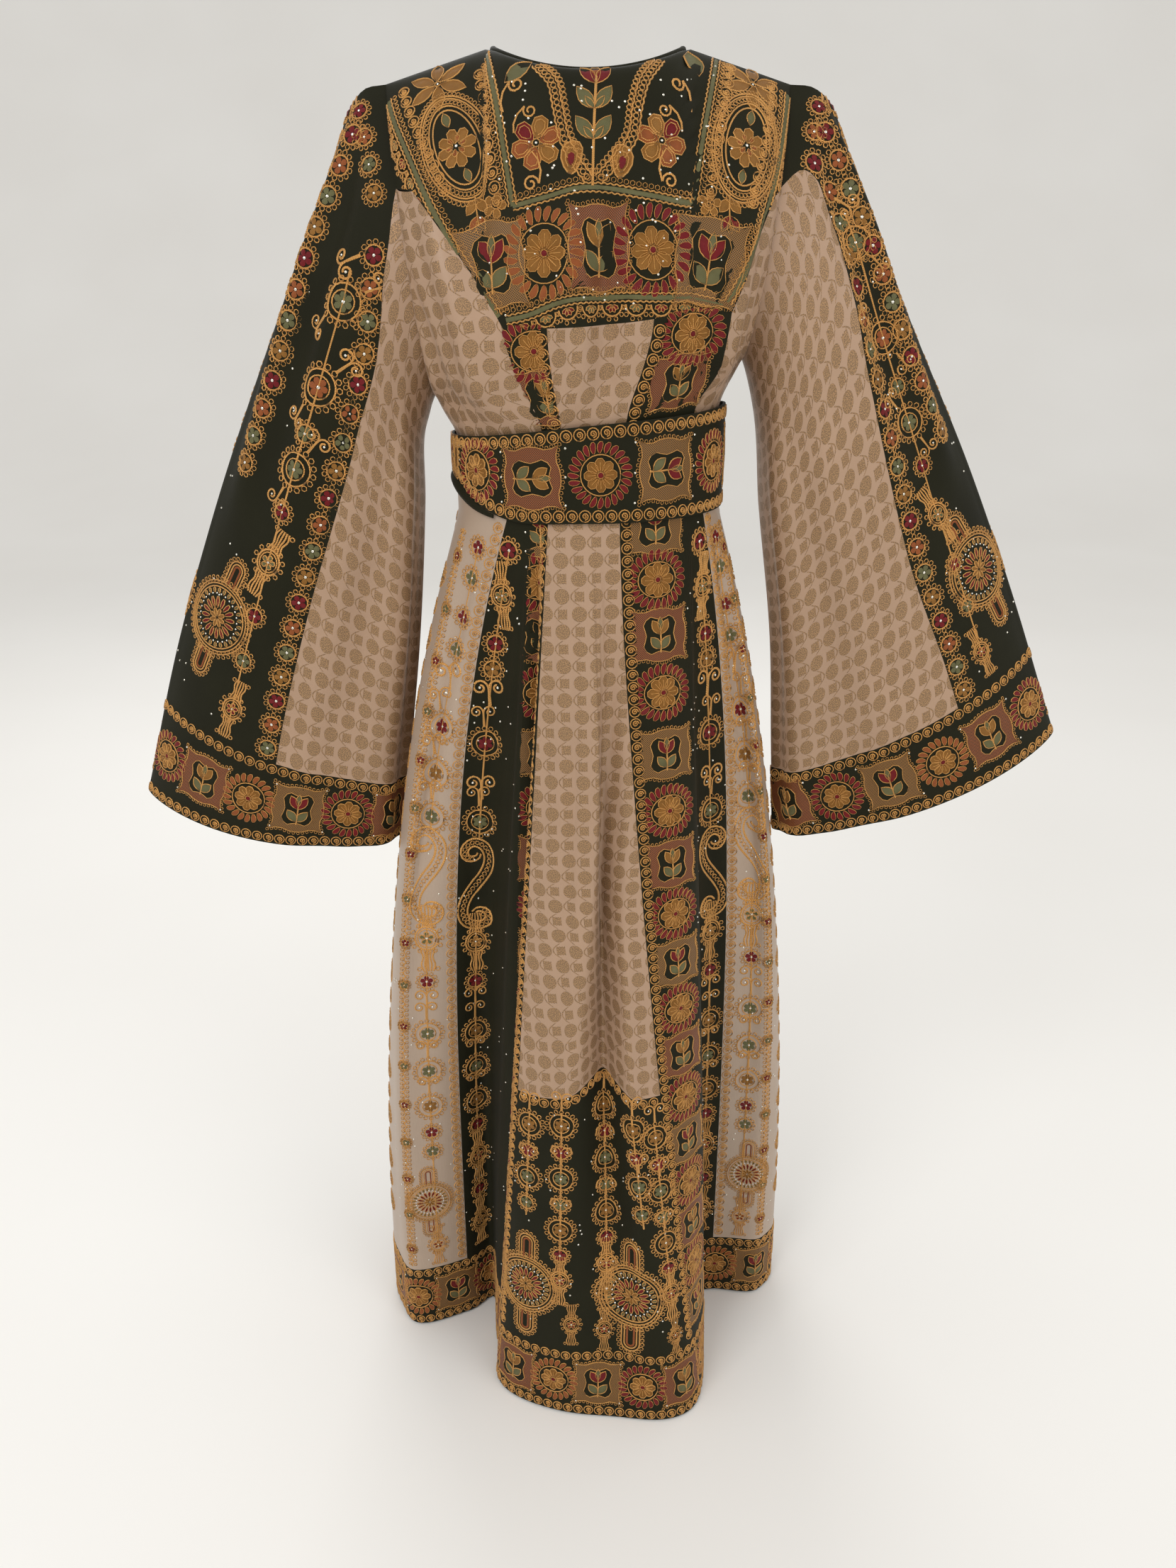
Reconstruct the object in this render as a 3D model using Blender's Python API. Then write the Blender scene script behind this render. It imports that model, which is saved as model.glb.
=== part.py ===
"""Women's floor-length thobe with bell sleeves, a wide belt and a short train, as it hangs when worn.

Metres, +Z up. The wearer faces +Y, so the back of the garment faces -Y and +X is the wearer's right.
The origin lies midway between the shoulders, at the height of the shoulder points.
Heights named "level" are measured up from the lowest point of the train.
Left and right are as seen from behind, so left is -X.
"""

import bpy
import numpy as np

# Driving sizes, in metres.
SHOULDER_LEVEL = 1.395      # shoulder point above the lowest hem
UNDERARM_LEVEL = 1.150      # bottom of the armhole
CHEST_LEVEL = 1.197         # lower edge of the yokes
BELT_TOP_LEVEL = 1.114      # top edge of the belt at centre back
WAIST_SEAM_LEVEL = 1.070    # where the skirt gores join the bodice, under the belt
WAIST_LOW_LEVEL = 1.028     # bottom edge of the belt, where the skirt starts to flare
HEM_BAND = 0.088            # height of the embroidered bands at hem, cuffs and belt
CLOTH = 0.0016              # thickness of a cloth wall
BELT_CLOTH = 0.0026         # the belt is stiffened
SEAM_GAP = 0.0006           # between pieces that meet
BELT_CLEARANCE = 0.0012     # between the gathered cloth and the belt
TILT_TOP = 0.12             # the cloth at the belt's top rises towards +X, metres per metre
TILT_LOW = 0.02             # the same at the belt's lower edge
TILT_END_LEVEL = 1.300      # above this the cloth is level again

# Waist and chest, half sizes of the ring of cloth at each level.
RING_COLUMNS = ("level", "half_width", "back_depth", "front_depth")
RINGS = (
    (1.000, 0.1300, 0.1120, 0.1000),
    (1.058, 0.1300, 0.1120, 0.1000),
    (1.116, 0.1300, 0.1120, 0.1000),
    (1.134, 0.1400, 0.1195, 0.1080),
    (1.150, 0.1480, 0.1230, 0.1160),
    (1.395, 0.1820, 0.1260, 0.1240),
)

# Lines down the garment, from centre back round to centre front and back again on the other side.
# cloth: distance along the hem. chest, gather, waist: degrees from centre back at the yoke's lower
# edge, above the belt and below it. hem_x, hem_y: the line's place at the hem. ease: how soon the
# line leaves the waist for that place, where 1 is a straight line and less than 1 is late.
STATION_COLUMNS = ("name", "cloth", "chest", "gather", "waist", "hem_x", "hem_y", "ease")
STATIONS = (
    ("front_seam_left", -0.660, -150.0, -150.0, -150.0, -0.130, 0.192, 1.5),
    ("front_turn_left", -0.560, -125.0, -123.0, -122.0, -0.220, 0.140, 1.7),
    ("side_left", -0.460, -92.0, -90.0, -88.0, -0.254, 0.048, 1.7),
    ("corner_left", -0.375, -80.0, -72.0, -66.0, -0.224, -0.064, 3.0),
    ("ivory_left", -0.305, -62.0, -48.0, -36.0, -0.154, -0.046, 4.0),
    ("valley_left", -0.245, -50.0, -36.0, -30.0, -0.122, -0.026, 1.8),
    ("column_left", -0.195, -28.3, -18.8, -24.0, -0.116, -0.098, 1.1),
    ("centre_left", -0.120, -13.2, -10.9, -16.5, -0.104, -0.160, 1.0),
    ("centre_back", 0.000, 4.0, 2.0, -1.0, 0.016, -0.206, 0.9),
    ("centre_right", 0.122, 21.5, 15.5, 13.0, 0.126, -0.190, 0.7),
    ("column_right", 0.197, 52.0, 50.2, 43.0, 0.143, -0.120, 1.3),
    ("valley_right", 0.287, 64.0, 60.0, 50.0, 0.136, -0.020, 2.2),
    ("ivory_right", 0.337, 70.0, 66.0, 58.0, 0.163, -0.010, 4.0),
    ("corner_right", 0.405, 82.0, 79.0, 76.0, 0.226, -0.010, 2.8),
    ("side_right", 0.470, 92.0, 90.0, 90.0, 0.245, 0.056, 1.8),
    ("front_turn_right", 0.560, 125.0, 123.0, 122.0, 0.214, 0.144, 1.6),
    ("front_seam_right", 0.660, 150.0, 150.0, 150.0, 0.130, 0.192, 1.5),
    ("front_centre", 0.795, 180.0, 180.0, 180.0, 0.000, 0.212, 1.4),
)
CLOTH_ROUND_HEM = 1.590
STATION_WRAP = 5            # stations repeated past each end of the table, where the tube closes
HEM_OVERRUN = 1.02          # the fall of the skirt is defined a little past the hem

# Folds of the skirt. They push the cloth in (negative depth) or out, along its own normal.
# cloth_top, half_top: middle and half width of the fold at the waist, cloth_low, half_low: at the hem.
# top, middle, hem: its depth at three heights.
SKIRT_FOLD_COLUMNS = ("cloth_top", "cloth_low", "half_top", "half_low", "top", "middle", "hem")
SKIRT_FOLDS = (
    (0.100, 0.016, 0.045, 0.066, -0.006, -0.040, -0.004),
    (-0.158, -0.180, 0.036, 0.040, -0.009, -0.016, -0.004),
    (-0.345, -0.350, 0.030, 0.030, -0.007, -0.006, 0.000),
    (-0.420, -0.425, 0.028, 0.030, 0.005, 0.006, 0.006),
    (0.372, 0.372, 0.026, 0.028, -0.007, -0.006, 0.000),
    (0.437, 0.437, 0.026, 0.030, 0.004, 0.006, 0.006),
    (0.530, 0.515, 0.036, 0.040, -0.006, -0.014, -0.020),
    (0.610, 0.610, 0.036, 0.044, 0.003, 0.010, 0.014),
    (0.705, 0.720, 0.036, 0.048, -0.005, -0.016, -0.024),
    (-0.530, -0.515, 0.036, 0.040, -0.006, -0.014, -0.020),
    (-0.610, -0.610, 0.036, 0.044, 0.003, 0.010, 0.014),
    (-0.705, -0.720, 0.036, 0.048, -0.005, -0.016, -0.024),
)
SKIRT_FOLD_SHARES = (0.0, 0.10, 0.55, 1.0)      # waist, top, middle and hem, as shares of the fall
SKIRT_FOLD_DRIFT = 1.6      # how soon a fold reaches its place at the hem

# Folds of the bodice, as lines from one place to another. Angles in degrees from centre back.
BODICE_FOLD_COLUMNS = ("angle_high", "level_high", "angle_low", "level_low", "half_angle", "depth")
BODICE_FOLDS = (
    (-3.0, 1.330, -5.0, 1.110, 8.0, 0.0080),
    (6.0, 1.330, 7.0, 1.110, 7.0, -0.0080),
    (-62.0, 1.330, -33.0, 1.105, 13.0, 0.0110),
    (60.0, 1.320, 53.0, 1.105, 11.0, 0.0100),
    (-84.0, 1.260, -58.0, 1.110, 12.0, -0.0070),
    (84.0, 1.260, 78.0, 1.110, 11.0, -0.0070),
    (150.0, 1.230, 160.0, 1.110, 9.0, -0.0060),
    (-150.0, 1.230, -160.0, 1.110, 9.0, -0.0060),
    (120.0, 1.230, 128.0, 1.110, 11.0, -0.0060),
    (-120.0, 1.230, -128.0, 1.110, 11.0, -0.0060),
)
BODICE_FOLD_START = 2.2     # how soon a fold reaches its full depth below its top end
BODICE_FOLD_FADE = 0.040    # height above the belt over which the folds flatten
ARMHOLE_CALM_ANGLE = 16.0   # the folds also flatten within this many degrees of the side
ARMHOLE_CALM_LEVEL = 1.125  # and above this level
ARMHOLE_CALM_RISE = 0.020

# The belt's edges, as levels, by degrees round from centre back. It rises towards +X, and its lower
# edge turns up on the wearer's left, where the plain green corner under it shows.
BELT_COLUMNS = ("angle", "low", "top", "tail_low")
BELT_ROWS = (
    (-180.0, 1.0360, 1.1080, 1.0360),
    (-140.0, 1.0380, 1.1020, 1.0340),
    (-110.0, 1.0560, 1.0990, 1.0430),
    (-85.0, 1.0640, 1.0985, 1.0500),
    (-68.0, 1.0560, 1.0990, 1.0420),
    (-52.0, 1.0400, 1.1010, 1.0320),
    (-38.0, 1.0300, 1.1040, 1.0270),
    (0.0, 1.0280, 1.1140, 1.0280),
    (45.0, 1.0290, 1.1215, 1.0290),
    (90.0, 1.0310, 1.1260, 1.0310),
    (180.0, 1.0360, 1.1080, 1.0360),
)
TAIL_ANGLES = (-136.0, -42.0)
TAIL_SWELL = 0.0035         # how far the plain corner bulges
TAIL_GAP = 0.0006
TAIL_CLOTH = 0.0016
TAIL_SWELL_HEIGHT = 0.020   # the corner bulges fully where it is this tall

# Neck and shoulders.
NECK_HALF_WIDTH = 0.088
NECK_SIDE_LEVEL = 1.422
NECK_BACK_DROP = 0.026
NECK_FRONT_DROP = 0.080
NECK_BACK_CURVE = 1.6       # how late the neckline drops from the shoulder seam
NECK_FRONT_CURVE = 2.3
NECK_CELLS = 12             # points along each half of the neckline
SHOULDER_CELLS = 3
SHOULDER_ROUND = 1.6        # how late the bodice rounds over to the shoulder seam
NECK_BACK_DEPTH = 0.072
NECK_FRONT_DEPTH = 0.082
SHOULDER_HALF_WIDTH = 0.180
FRONT_STEP = 1e-4           # degrees past the side, where the front begins
ARMHOLE_HALF_DEPTH = 0.074
BINDING_RADIUS = 0.0028
BINDING_GAP = 0.0008
NECK_EDGE = 0.001           # the yokes' lean at the neckline is taken this far below their edge

# Levels of the rows of triangles in the bodice. Those above the underarm also set out the sleeves.
BODICE_LEVELS = (
    1.070, 1.096, 1.108, 1.122, 1.136, 1.150, 1.154, 1.165, 1.197, 1.222, 1.260, 1.306, 1.336, 1.362,
    1.380, 1.391, 1.395,
)

# Edges of the yokes.
YOKE_APEX_LEVEL = 1.306
YOKE_TURN_LEVEL = 1.362     # the columns inside the yoke reach the armhole more gently, at this level
SIDE_TOP_LEVEL = 1.299      # the narrow top end of each side panel, just under the apex
APEX_REACH = {"left": 0.90, "right": 0.975}     # how far out to the armhole the top corners lie

# Sleeves: the outer and inner edges as seen from behind, for each share of the sleeve's length.
# seam: degrees from the outer edge round to the brocade under panel.
SLEEVE_COLUMNS = (
    "share", "outer_x", "outer_level", "inner_x", "inner_level", "half_depth", "forward", "seam"
)
SLEEVES = {
    "left": (
        (0.00, -0.1800, 1.3950, -0.1480, 1.1500, 0.0740, 0.000, 83.0),
        (0.03, -0.1990, 1.3915, -0.1525, 1.1390, 0.0735, 0.000, 90.0),
        (0.06, -0.2135, 1.3760, -0.1560, 1.1260, 0.0730, 0.000, 96.0),
        (0.10, -0.2270, 1.3450, -0.1600, 1.1100, 0.0720, 0.001, 102.0),
        (0.30, -0.2930, 1.2070, -0.1650, 1.0250, 0.0680, 0.005, 101.0),
        (0.60, -0.3835, 1.0105, -0.1800, 0.8740, 0.0620, 0.014, 92.0),
        (0.80, -0.4430, 0.8640, -0.1960, 0.7575, 0.0590, 0.020, 89.0),
        (1.00, -0.4970, 0.7060, -0.2095, 0.6520, 0.0560, 0.026, 89.0),
    ),
    "right": (
        (0.00, 0.1800, 1.3950, 0.1480, 1.1500, 0.0740, 0.000, 70.0),
        (0.03, 0.2000, 1.3930, 0.1525, 1.1390, 0.0735, 0.000, 64.0),
        (0.06, 0.2165, 1.3810, 0.1570, 1.1260, 0.0730, 0.000, 61.0),
        (0.10, 0.2320, 1.3510, 0.1620, 1.1100, 0.0720, 0.001, 61.0),
        (0.30, 0.2970, 1.2200, 0.1730, 1.0250, 0.0680, 0.005, 70.0),
        (0.60, 0.3885, 1.0500, 0.1945, 0.8760, 0.0620, 0.014, 75.0),
        (0.80, 0.4525, 0.9180, 0.2025, 0.7675, 0.0590, 0.020, 69.0),
        (1.00, 0.5160, 0.7755, 0.2105, 0.6580, 0.0560, 0.026, 66.0),
    ),
}
SLEEVE_HEAD_SHARE = 0.22            # over this share the sleeve takes up the armhole's own shape
CUFF_SHARE = 0.860                  # where the cuff band starts, as a share of the sleeve
CUFF_SAG = 0.014                    # how far the middle of the cuff hangs below its ends
CUFF_SAG_START = 0.3                # share where the sag begins
SLEEVE_POINT = 0.45                 # how much sharper the outer edge of the sleeve is at the cuff
SLEEVE_FOLD_FADE = 0.12             # share over which the folds grow from the armhole
SLEEVE_HEAD_SHARES = (0.0, 0.03, 0.06)
SLEEVE_BODY_SHARE = 0.10
SLEEVE_FOLD_COLUMNS = ("angle_high", "angle_low", "half_angle", "depth", "share_start", "share_end")
SLEEVE_FOLDS = (
    (28.0, 38.0, 15.0, 0.0080, -0.10, 0.60),
    (50.0, 56.0, 14.0, -0.0070, -0.10, 0.60),
    (118.0, 112.0, 18.0, -0.0050, 0.10, 1.30),
    (140.0, 148.0, 15.0, 0.0060, 0.05, 1.30),
    (160.0, 168.0, 13.0, -0.0050, 0.15, 1.30),
    (-45.0, -55.0, 20.0, -0.0070, -0.10, 0.80),
    (-120.0, -128.0, 20.0, -0.0060, 0.15, 1.30),
)

# The seam between the brocade and the green panel at the foot of the train.
SCALLOP_LEVEL = 0.418
SCALLOP_RISE = 0.022
SCALLOP_FADE = 0.20         # the rows next to the seam straighten out over this height
SCALLOP_MIDDLE = 0.012      # cloth coordinate of the arch's middle
SCALLOP_HALF = 0.0756

# Rows of triangles in the skirt.
ROWS_BELOW_SCALLOP = 6
ROWS_ABOVE_SCALLOP = 11
SKIRT_TOP_ROW = 0.014       # height of the last row, under the belt
SKIRT_ROW_CLEARANCE = 0.008
BODICE_ROW_CLEARANCE = 0.002
SHARP_ANGLE = 50.0

# Cloths: linear colour and roughness.
CLOTHS = {
    "green_crepe": ((0.014, 0.022, 0.014), 0.62),
    "cream_brocade": ((0.48, 0.34, 0.22), 0.50),
    "ivory_satin": ((0.62, 0.48, 0.38), 0.45),
}


def column(rows, names, name):
    """One named column of a table, as an array."""
    return np.array([row[names.index(name)] for row in rows], float)


def curve_through(knots, values, at):
    """A smooth curve through the knots, flat enough between them not to overshoot."""
    step = np.diff(knots)
    slope = np.diff(values) / step
    inner = (slope[:-1] * step[1:] + slope[1:] * step[:-1]) / (step[:-1] + step[1:])
    tangent = np.concatenate([[slope[0]], inner, [slope[-1]]])
    i = np.clip(np.searchsorted(knots, at, side="right") - 1, 0, len(knots) - 2)
    width = step[i]
    t = (at - knots[i]) / width
    return (
        (2 * t**3 - 3 * t**2 + 1) * values[i]
        + (t**3 - 2 * t**2 + t) * width * tangent[i]
        + (3 * t**2 - 2 * t**3) * values[i + 1]
        + (t**3 - t**2) * width * tangent[i + 1]
    )


def smooth(t):
    """0 to 1 with level ends."""
    t = np.clip(t, 0.0, 1.0)
    return t * t * (3 - 2 * t)


def bump(t):
    """1 at the middle of a fold, 0 at its edges."""
    return 0.5 + 0.5 * np.cos(np.pi * np.clip(t, -1.0, 1.0))


def station(name):
    """The cloth coordinate of a named line down the garment."""
    return next(row[1] for row in STATIONS if row[0] == name)


def station_value(name, cloth):
    """A station column interpolated round the garment, which closes at centre front."""
    knots = column(STATIONS, STATION_COLUMNS, "cloth")
    values = column(STATIONS, STATION_COLUMNS, name)
    turn = 360.0 if name in ("chest", "gather", "waist") else 0.0
    last, first = slice(-STATION_WRAP, None), slice(0, STATION_WRAP)
    knots = np.concatenate([knots[last] - CLOTH_ROUND_HEM, knots, knots[first] + CLOTH_ROUND_HEM])
    values = np.concatenate([values[last] - turn, values, values[first] + turn])
    return curve_through(knots, values, cloth)


def ring_value(name, level):
    """A size of the bodice ring at a level."""
    return curve_through(
        column(RINGS, RING_COLUMNS, "level"), column(RINGS, RING_COLUMNS, name), level
    )


def tilt(level):
    """How far the cloth rises towards +X at a level: most at the belt's top, none at hem and shoulders."""
    above = 1 - smooth((level - BELT_TOP_LEVEL) / (TILT_END_LEVEL - BELT_TOP_LEVEL))
    under_belt = smooth((level - WAIST_LOW_LEVEL) / (BELT_TOP_LEVEL - WAIST_LOW_LEVEL))
    below = smooth(level / WAIST_LOW_LEVEL)
    return (TILT_LOW + (TILT_TOP - TILT_LOW) * under_belt) * above * below


def outward(points_of, a, b):
    """The unit normal of a surface function, by small steps, pointing out of the garment."""
    step = 1e-4
    across = points_of(a + step, b) - points_of(a - step, b)
    up = points_of(a, b + step) - points_of(a, b - step)
    normal = np.cross(across, up)
    length = np.linalg.norm(normal, axis=-1, keepdims=True)
    return normal / np.maximum(length, 1e-12)


def bodice_smooth(angle, level):
    """Bodice without folds: rings up to the underarm, then back and front rising to the shoulders."""
    turn = np.radians(angle)
    half_width = ring_value("half_width", np.minimum(level, UNDERARM_LEVEL))
    x_low = half_width * np.sin(turn)
    back = np.cos(turn) > 0
    deep = np.where(back, ring_value("back_depth", level), ring_value("front_depth", level))
    rise = np.clip((level - UNDERARM_LEVEL) / (SHOULDER_LEVEL - UNDERARM_LEVEL), 0.0, 1.0)
    widened = ring_value("half_width", np.full_like(level, UNDERARM_LEVEL))
    x = x_low + (SHOULDER_HALF_WIDTH - widened) * rise * np.sin(turn)
    edge = ARMHOLE_HALF_DEPTH * np.sqrt(np.maximum(1 - (2 * rise - 1) ** 2, 0.0))
    facing = np.abs(np.cos(turn))
    depth_low = edge + (deep - edge) * facing
    # Top edge: shoulder seam outside the neck, neckline inside it.
    share = np.clip(np.abs(x) / NECK_HALF_WIDTH, 0.0, 1.0)
    arc = np.sqrt(1 - share**2)
    neck_depth = np.where(back, NECK_BACK_DEPTH, NECK_FRONT_DEPTH) * arc
    drop_back = NECK_BACK_DROP * arc**NECK_BACK_CURVE
    drop = np.where(back, drop_back, NECK_FRONT_DROP * arc**NECK_FRONT_CURVE)
    slope = np.clip((np.abs(x) - NECK_HALF_WIDTH) / (SHOULDER_HALF_WIDTH - NECK_HALF_WIDTH), 0.0, 1.0)
    top_level = NECK_SIDE_LEVEL + (SHOULDER_LEVEL - NECK_SIDE_LEVEL) * slope - drop
    over = 1 - np.sqrt(np.maximum(1 - rise**SHOULDER_ROUND, 0.0))
    depth = depth_low * (1 - over) + neck_depth * over
    height = level + (top_level - SHOULDER_LEVEL) * rise + tilt(level) * x
    y = np.where(back, -depth, depth)
    return np.stack([x, y, height - SHOULDER_LEVEL], axis=-1)


def bodice(angle, level):
    """Bodice with its folds, as points for arrays of angles (degrees from centre back) and levels."""
    angle, level = np.broadcast_arrays(np.asarray(angle, float), np.asarray(level, float))
    base = bodice_smooth(angle, level)
    push = np.zeros_like(level)
    for high, level_high, low, level_low, half, depth in BODICE_FOLDS:
        t = np.clip((level_high - level) / (level_high - level_low), 0.0, 1.0)
        line = high + (low - high) * t
        fade = smooth(t * BODICE_FOLD_START) * smooth((level - BELT_TOP_LEVEL) / BODICE_FOLD_FADE)
        push = push + depth * fade * bump((angle - line) / half)
    from_side = np.abs((angle + 180) % 360 - 180) - 90.0
    calm = bump(from_side / ARMHOLE_CALM_ANGLE)
    push = push * (1 - calm * smooth((level - ARMHOLE_CALM_LEVEL) / ARMHOLE_CALM_RISE))
    return base + push[..., None] * outward(bodice_smooth, angle, level)


def skirt_smooth(cloth, level):
    """Skirt without folds: each line runs from the waist ring to its place at the hem."""
    angle = np.radians(station_value("waist", cloth))
    back = np.cos(angle) > 0
    low = np.full_like(level, WAIST_LOW_LEVEL)
    waist_x = ring_value("half_width", low) * np.sin(angle)
    deep = np.where(back, ring_value("back_depth", low), ring_value("front_depth", low))
    waist_y = -deep * np.cos(angle)
    t = np.clip((WAIST_LOW_LEVEL - level) / WAIST_LOW_LEVEL, 0.0, HEM_OVERRUN)
    ease = station_value("ease", cloth)
    early = 1 - np.maximum(1 - t, 0.0) ** np.maximum(ease, 1.0)
    fall = np.where(ease > 1, early, t ** np.maximum(2 - ease, 1.0))
    x = waist_x + (station_value("hem_x", cloth) - waist_x) * fall
    y = waist_y + (station_value("hem_y", cloth) - waist_y) * fall
    return np.stack([x, y, level + tilt(level) * x - SHOULDER_LEVEL], axis=-1)


def skirt(cloth, level):
    """Skirt with its folds, as points for arrays of cloth coordinates and levels."""
    cloth, level = np.broadcast_arrays(np.asarray(cloth, float), np.asarray(level, float))
    base = skirt_smooth(cloth, level)
    t = np.clip((WAIST_LOW_LEVEL - level) / WAIST_LOW_LEVEL, 0.0, 1.0)
    push = np.zeros_like(level)
    for top, low, half_top, half_low, at_top, at_middle, at_hem in SKIRT_FOLDS:
        line = top + (low - top) * smooth(t * SKIRT_FOLD_DRIFT)
        half = half_top + (half_low - half_top) * t
        depths = np.array([0.0, at_top, at_middle, at_hem])
        depth = curve_through(np.array(SKIRT_FOLD_SHARES), depths, t)
        away = (cloth - line + CLOTH_ROUND_HEM / 2) % CLOTH_ROUND_HEM - CLOTH_ROUND_HEM / 2
        push = push + depth * bump(away / half)
    return base + push[..., None] * outward(skirt_smooth, cloth, level)


def line_angle(cloth, level):
    """Degrees from centre back of a line down the garment, at a level above the skirt."""
    chest, gather, waist = (station_value(name, cloth) for name in ("chest", "gather", "waist"))
    to_gather = smooth((level - WAIST_LOW_LEVEL) / (BELT_TOP_LEVEL - WAIST_LOW_LEVEL))
    to_chest = smooth((level - BELT_TOP_LEVEL) / (CHEST_LEVEL - BELT_TOP_LEVEL))
    return waist + (gather - waist) * to_gather + (chest - gather) * to_chest


def body(cloth, level):
    """The whole tube by cloth coordinate: skirt below the belt, bodice above it."""
    cloth, level = np.broadcast_arrays(np.asarray(cloth, float), np.asarray(level, float))
    above = bodice(line_angle(cloth, level), np.maximum(level, WAIST_LOW_LEVEL))
    below = skirt(cloth, np.minimum(level, WAIST_LOW_LEVEL))
    return np.where((level > WAIST_LOW_LEVEL)[..., None], above, below)


def sleeve_smooth(side):
    """The points of a sleeve without folds, for arrays of angle and share of its length."""
    rows = SLEEVES[side]
    shares = column(rows, SLEEVE_COLUMNS, "share")

    def size(name, share):
        return curve_through(shares, column(rows, SLEEVE_COLUMNS, name), share)

    def points(angle, share):
        turn = np.radians(angle)
        outer = np.stack([size("outer_x", share), size("outer_level", share)], axis=-1)
        inner = np.stack([size("inner_x", share), size("inner_level", share)], axis=-1)
        flat = (outer + inner) / 2 + np.cos(turn)[..., None] * (outer - inner) / 2
        point_end = 1 + SLEEVE_POINT * share * np.cos(turn / 2) ** 2
        swing = np.sign(np.sin(turn)) * np.abs(np.sin(turn)) ** point_end
        y = size("forward", share) - size("half_depth", share) * swing
        sag = CUFF_SAG * smooth((share - CUFF_SAG_START) / (1 - CUFF_SAG_START)) * np.sin(turn) ** 2
        return np.stack([flat[..., 0], y, flat[..., 1] - sag - SHOULDER_LEVEL], axis=-1)

    return points


def armhole(side, angle):
    """The edge of the bodice that a sleeve joins, by degrees round the sleeve."""
    turn = np.radians(angle)
    level = UNDERARM_LEVEL + (SHOULDER_LEVEL - UNDERARM_LEVEL) * (1 + np.cos(turn)) / 2
    at = 90.0 + np.where(np.sin(turn) < 0, FRONT_STEP, -FRONT_STEP)
    return bodice(at if side == "right" else -at, level)


def sleeve(side):
    """The points of a sleeve with its folds. Angle 0 is the outer edge, 90 the back, 180 the underarm."""
    smooth_points = sleeve_smooth(side)
    facing = 1.0 if side == "right" else -1.0

    def points(angle, share):
        angle, share = np.broadcast_arrays(np.asarray(angle, float), np.asarray(share, float))
        push = np.zeros_like(share)
        for high, low, half, depth, start, end in SLEEVE_FOLDS:
            t = np.clip((share - start) / (end - start), 0.0, 1.0)
            line = high + (low - high) * t
            away = (angle - line + 180.0) % 360.0 - 180.0
            fade = np.sin(np.pi * t) * smooth(share / SLEEVE_FOLD_FADE)
            push = push + depth * fade * bump(away / half)
        normal = outward(smooth_points, angle, share) * facing
        joined = armhole(side, angle) - smooth_points(angle, np.zeros_like(share))
        fade = 1 - smooth(share / SLEEVE_HEAD_SHARE)
        return smooth_points(angle, share) + push[..., None] * normal + joined * fade[..., None]

    return points


def wall(name, points_of, a, b, thickness, cloth, flip=False, butt=(1, 1, 1, 1)):
    """A closed wall over the grid a (across, last axis) by b (up), its outer face on the surface.

    butt says which edges, low a, high a, low b and high b, meet a neighbour and stand back from it.
    """
    normal = outward(points_of, a, b) * (-1.0 if flip else 1.0)
    surface = points_of(a, b)
    skins = []
    for offset in (-thickness, 0.0):
        skin = surface + normal * offset
        pull = skin.copy()
        for axis, ends in ((1, butt[:2]), (0, butt[2:])):
            for end, wanted in zip((0, -1), ends):
                if not wanted:
                    continue
                first = np.take(skin, end, axis=axis)
                second = np.take(skin, 1 if end == 0 else -2, axis=axis)
                step = second - first
                step /= np.maximum(np.linalg.norm(step, axis=-1, keepdims=True), 1e-12)
                index = [slice(None), slice(None)]
                index[axis] = end
                pull[tuple(index)] += step * SEAM_GAP / 2
        skins.append(pull)
    rows, columns = skins[0].shape[:2]
    count = rows * columns
    number = np.arange(count).reshape(rows, columns)
    low_left, low_right = number[:-1, :-1].ravel(), number[:-1, 1:].ravel()
    high_left, high_right = number[1:, :-1].ravel(), number[1:, 1:].ravel()
    face = np.concatenate(
        [np.stack([low_left, low_right, high_right], 1), np.stack([low_left, high_right, high_left], 1)]
    )
    # The end faces of neighbours are split along the same diagonal, so that they stay parallel.
    sides = []
    for edge in (number[0], number[:, -1]):
        start, end = edge[:-1], edge[1:]
        sides.append(np.stack([start, end, end + count], 1))
        sides.append(np.stack([start, end + count, start + count], 1))
    for edge in (number[-1], number[:, 0]):
        start, end = edge[:-1], edge[1:]
        sides.append(np.stack([end, start, end + count], 1))
        sides.append(np.stack([start, start + count, end + count], 1))
    faces = np.concatenate([face[:, ::-1], face + count] + sides)
    if flip:
        faces = faces[:, ::-1]
    vertices = np.concatenate([skins[0].reshape(-1, 3), skins[1].reshape(-1, 3)])
    piece(name, vertices, faces, cloth)


def piece(name, vertices, faces, cloth):
    """A named object from points and triangles, in the garment's collection."""
    mesh = bpy.data.meshes.new(name)
    mesh.from_pydata(vertices.tolist(), [], faces.tolist())
    mesh.validate()
    mesh.shade_smooth()
    mesh.set_sharp_from_angle(angle=np.radians(SHARP_ANGLE))
    mesh.materials.append(cloth)
    garment.objects.link(bpy.data.objects.new(name, mesh))


def grid(across, up):
    """Two arrays, one row for each height and one column for each place across."""
    return np.meshgrid(np.asarray(across, float), np.asarray(up, float))


def between(start, end, cells):
    """Evenly spaced values from start to end, one more than the cells between them."""
    return np.linspace(start, end, cells + 1)


def lines_over(*panels):
    """Cloth coordinates across neighbouring panels, each given as its two lines and its cells."""
    runs = [between(station(start), station(end), cells) for start, end, cells in panels]
    return np.concatenate([runs[0]] + [run[1:] for run in runs[1:]])


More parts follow.
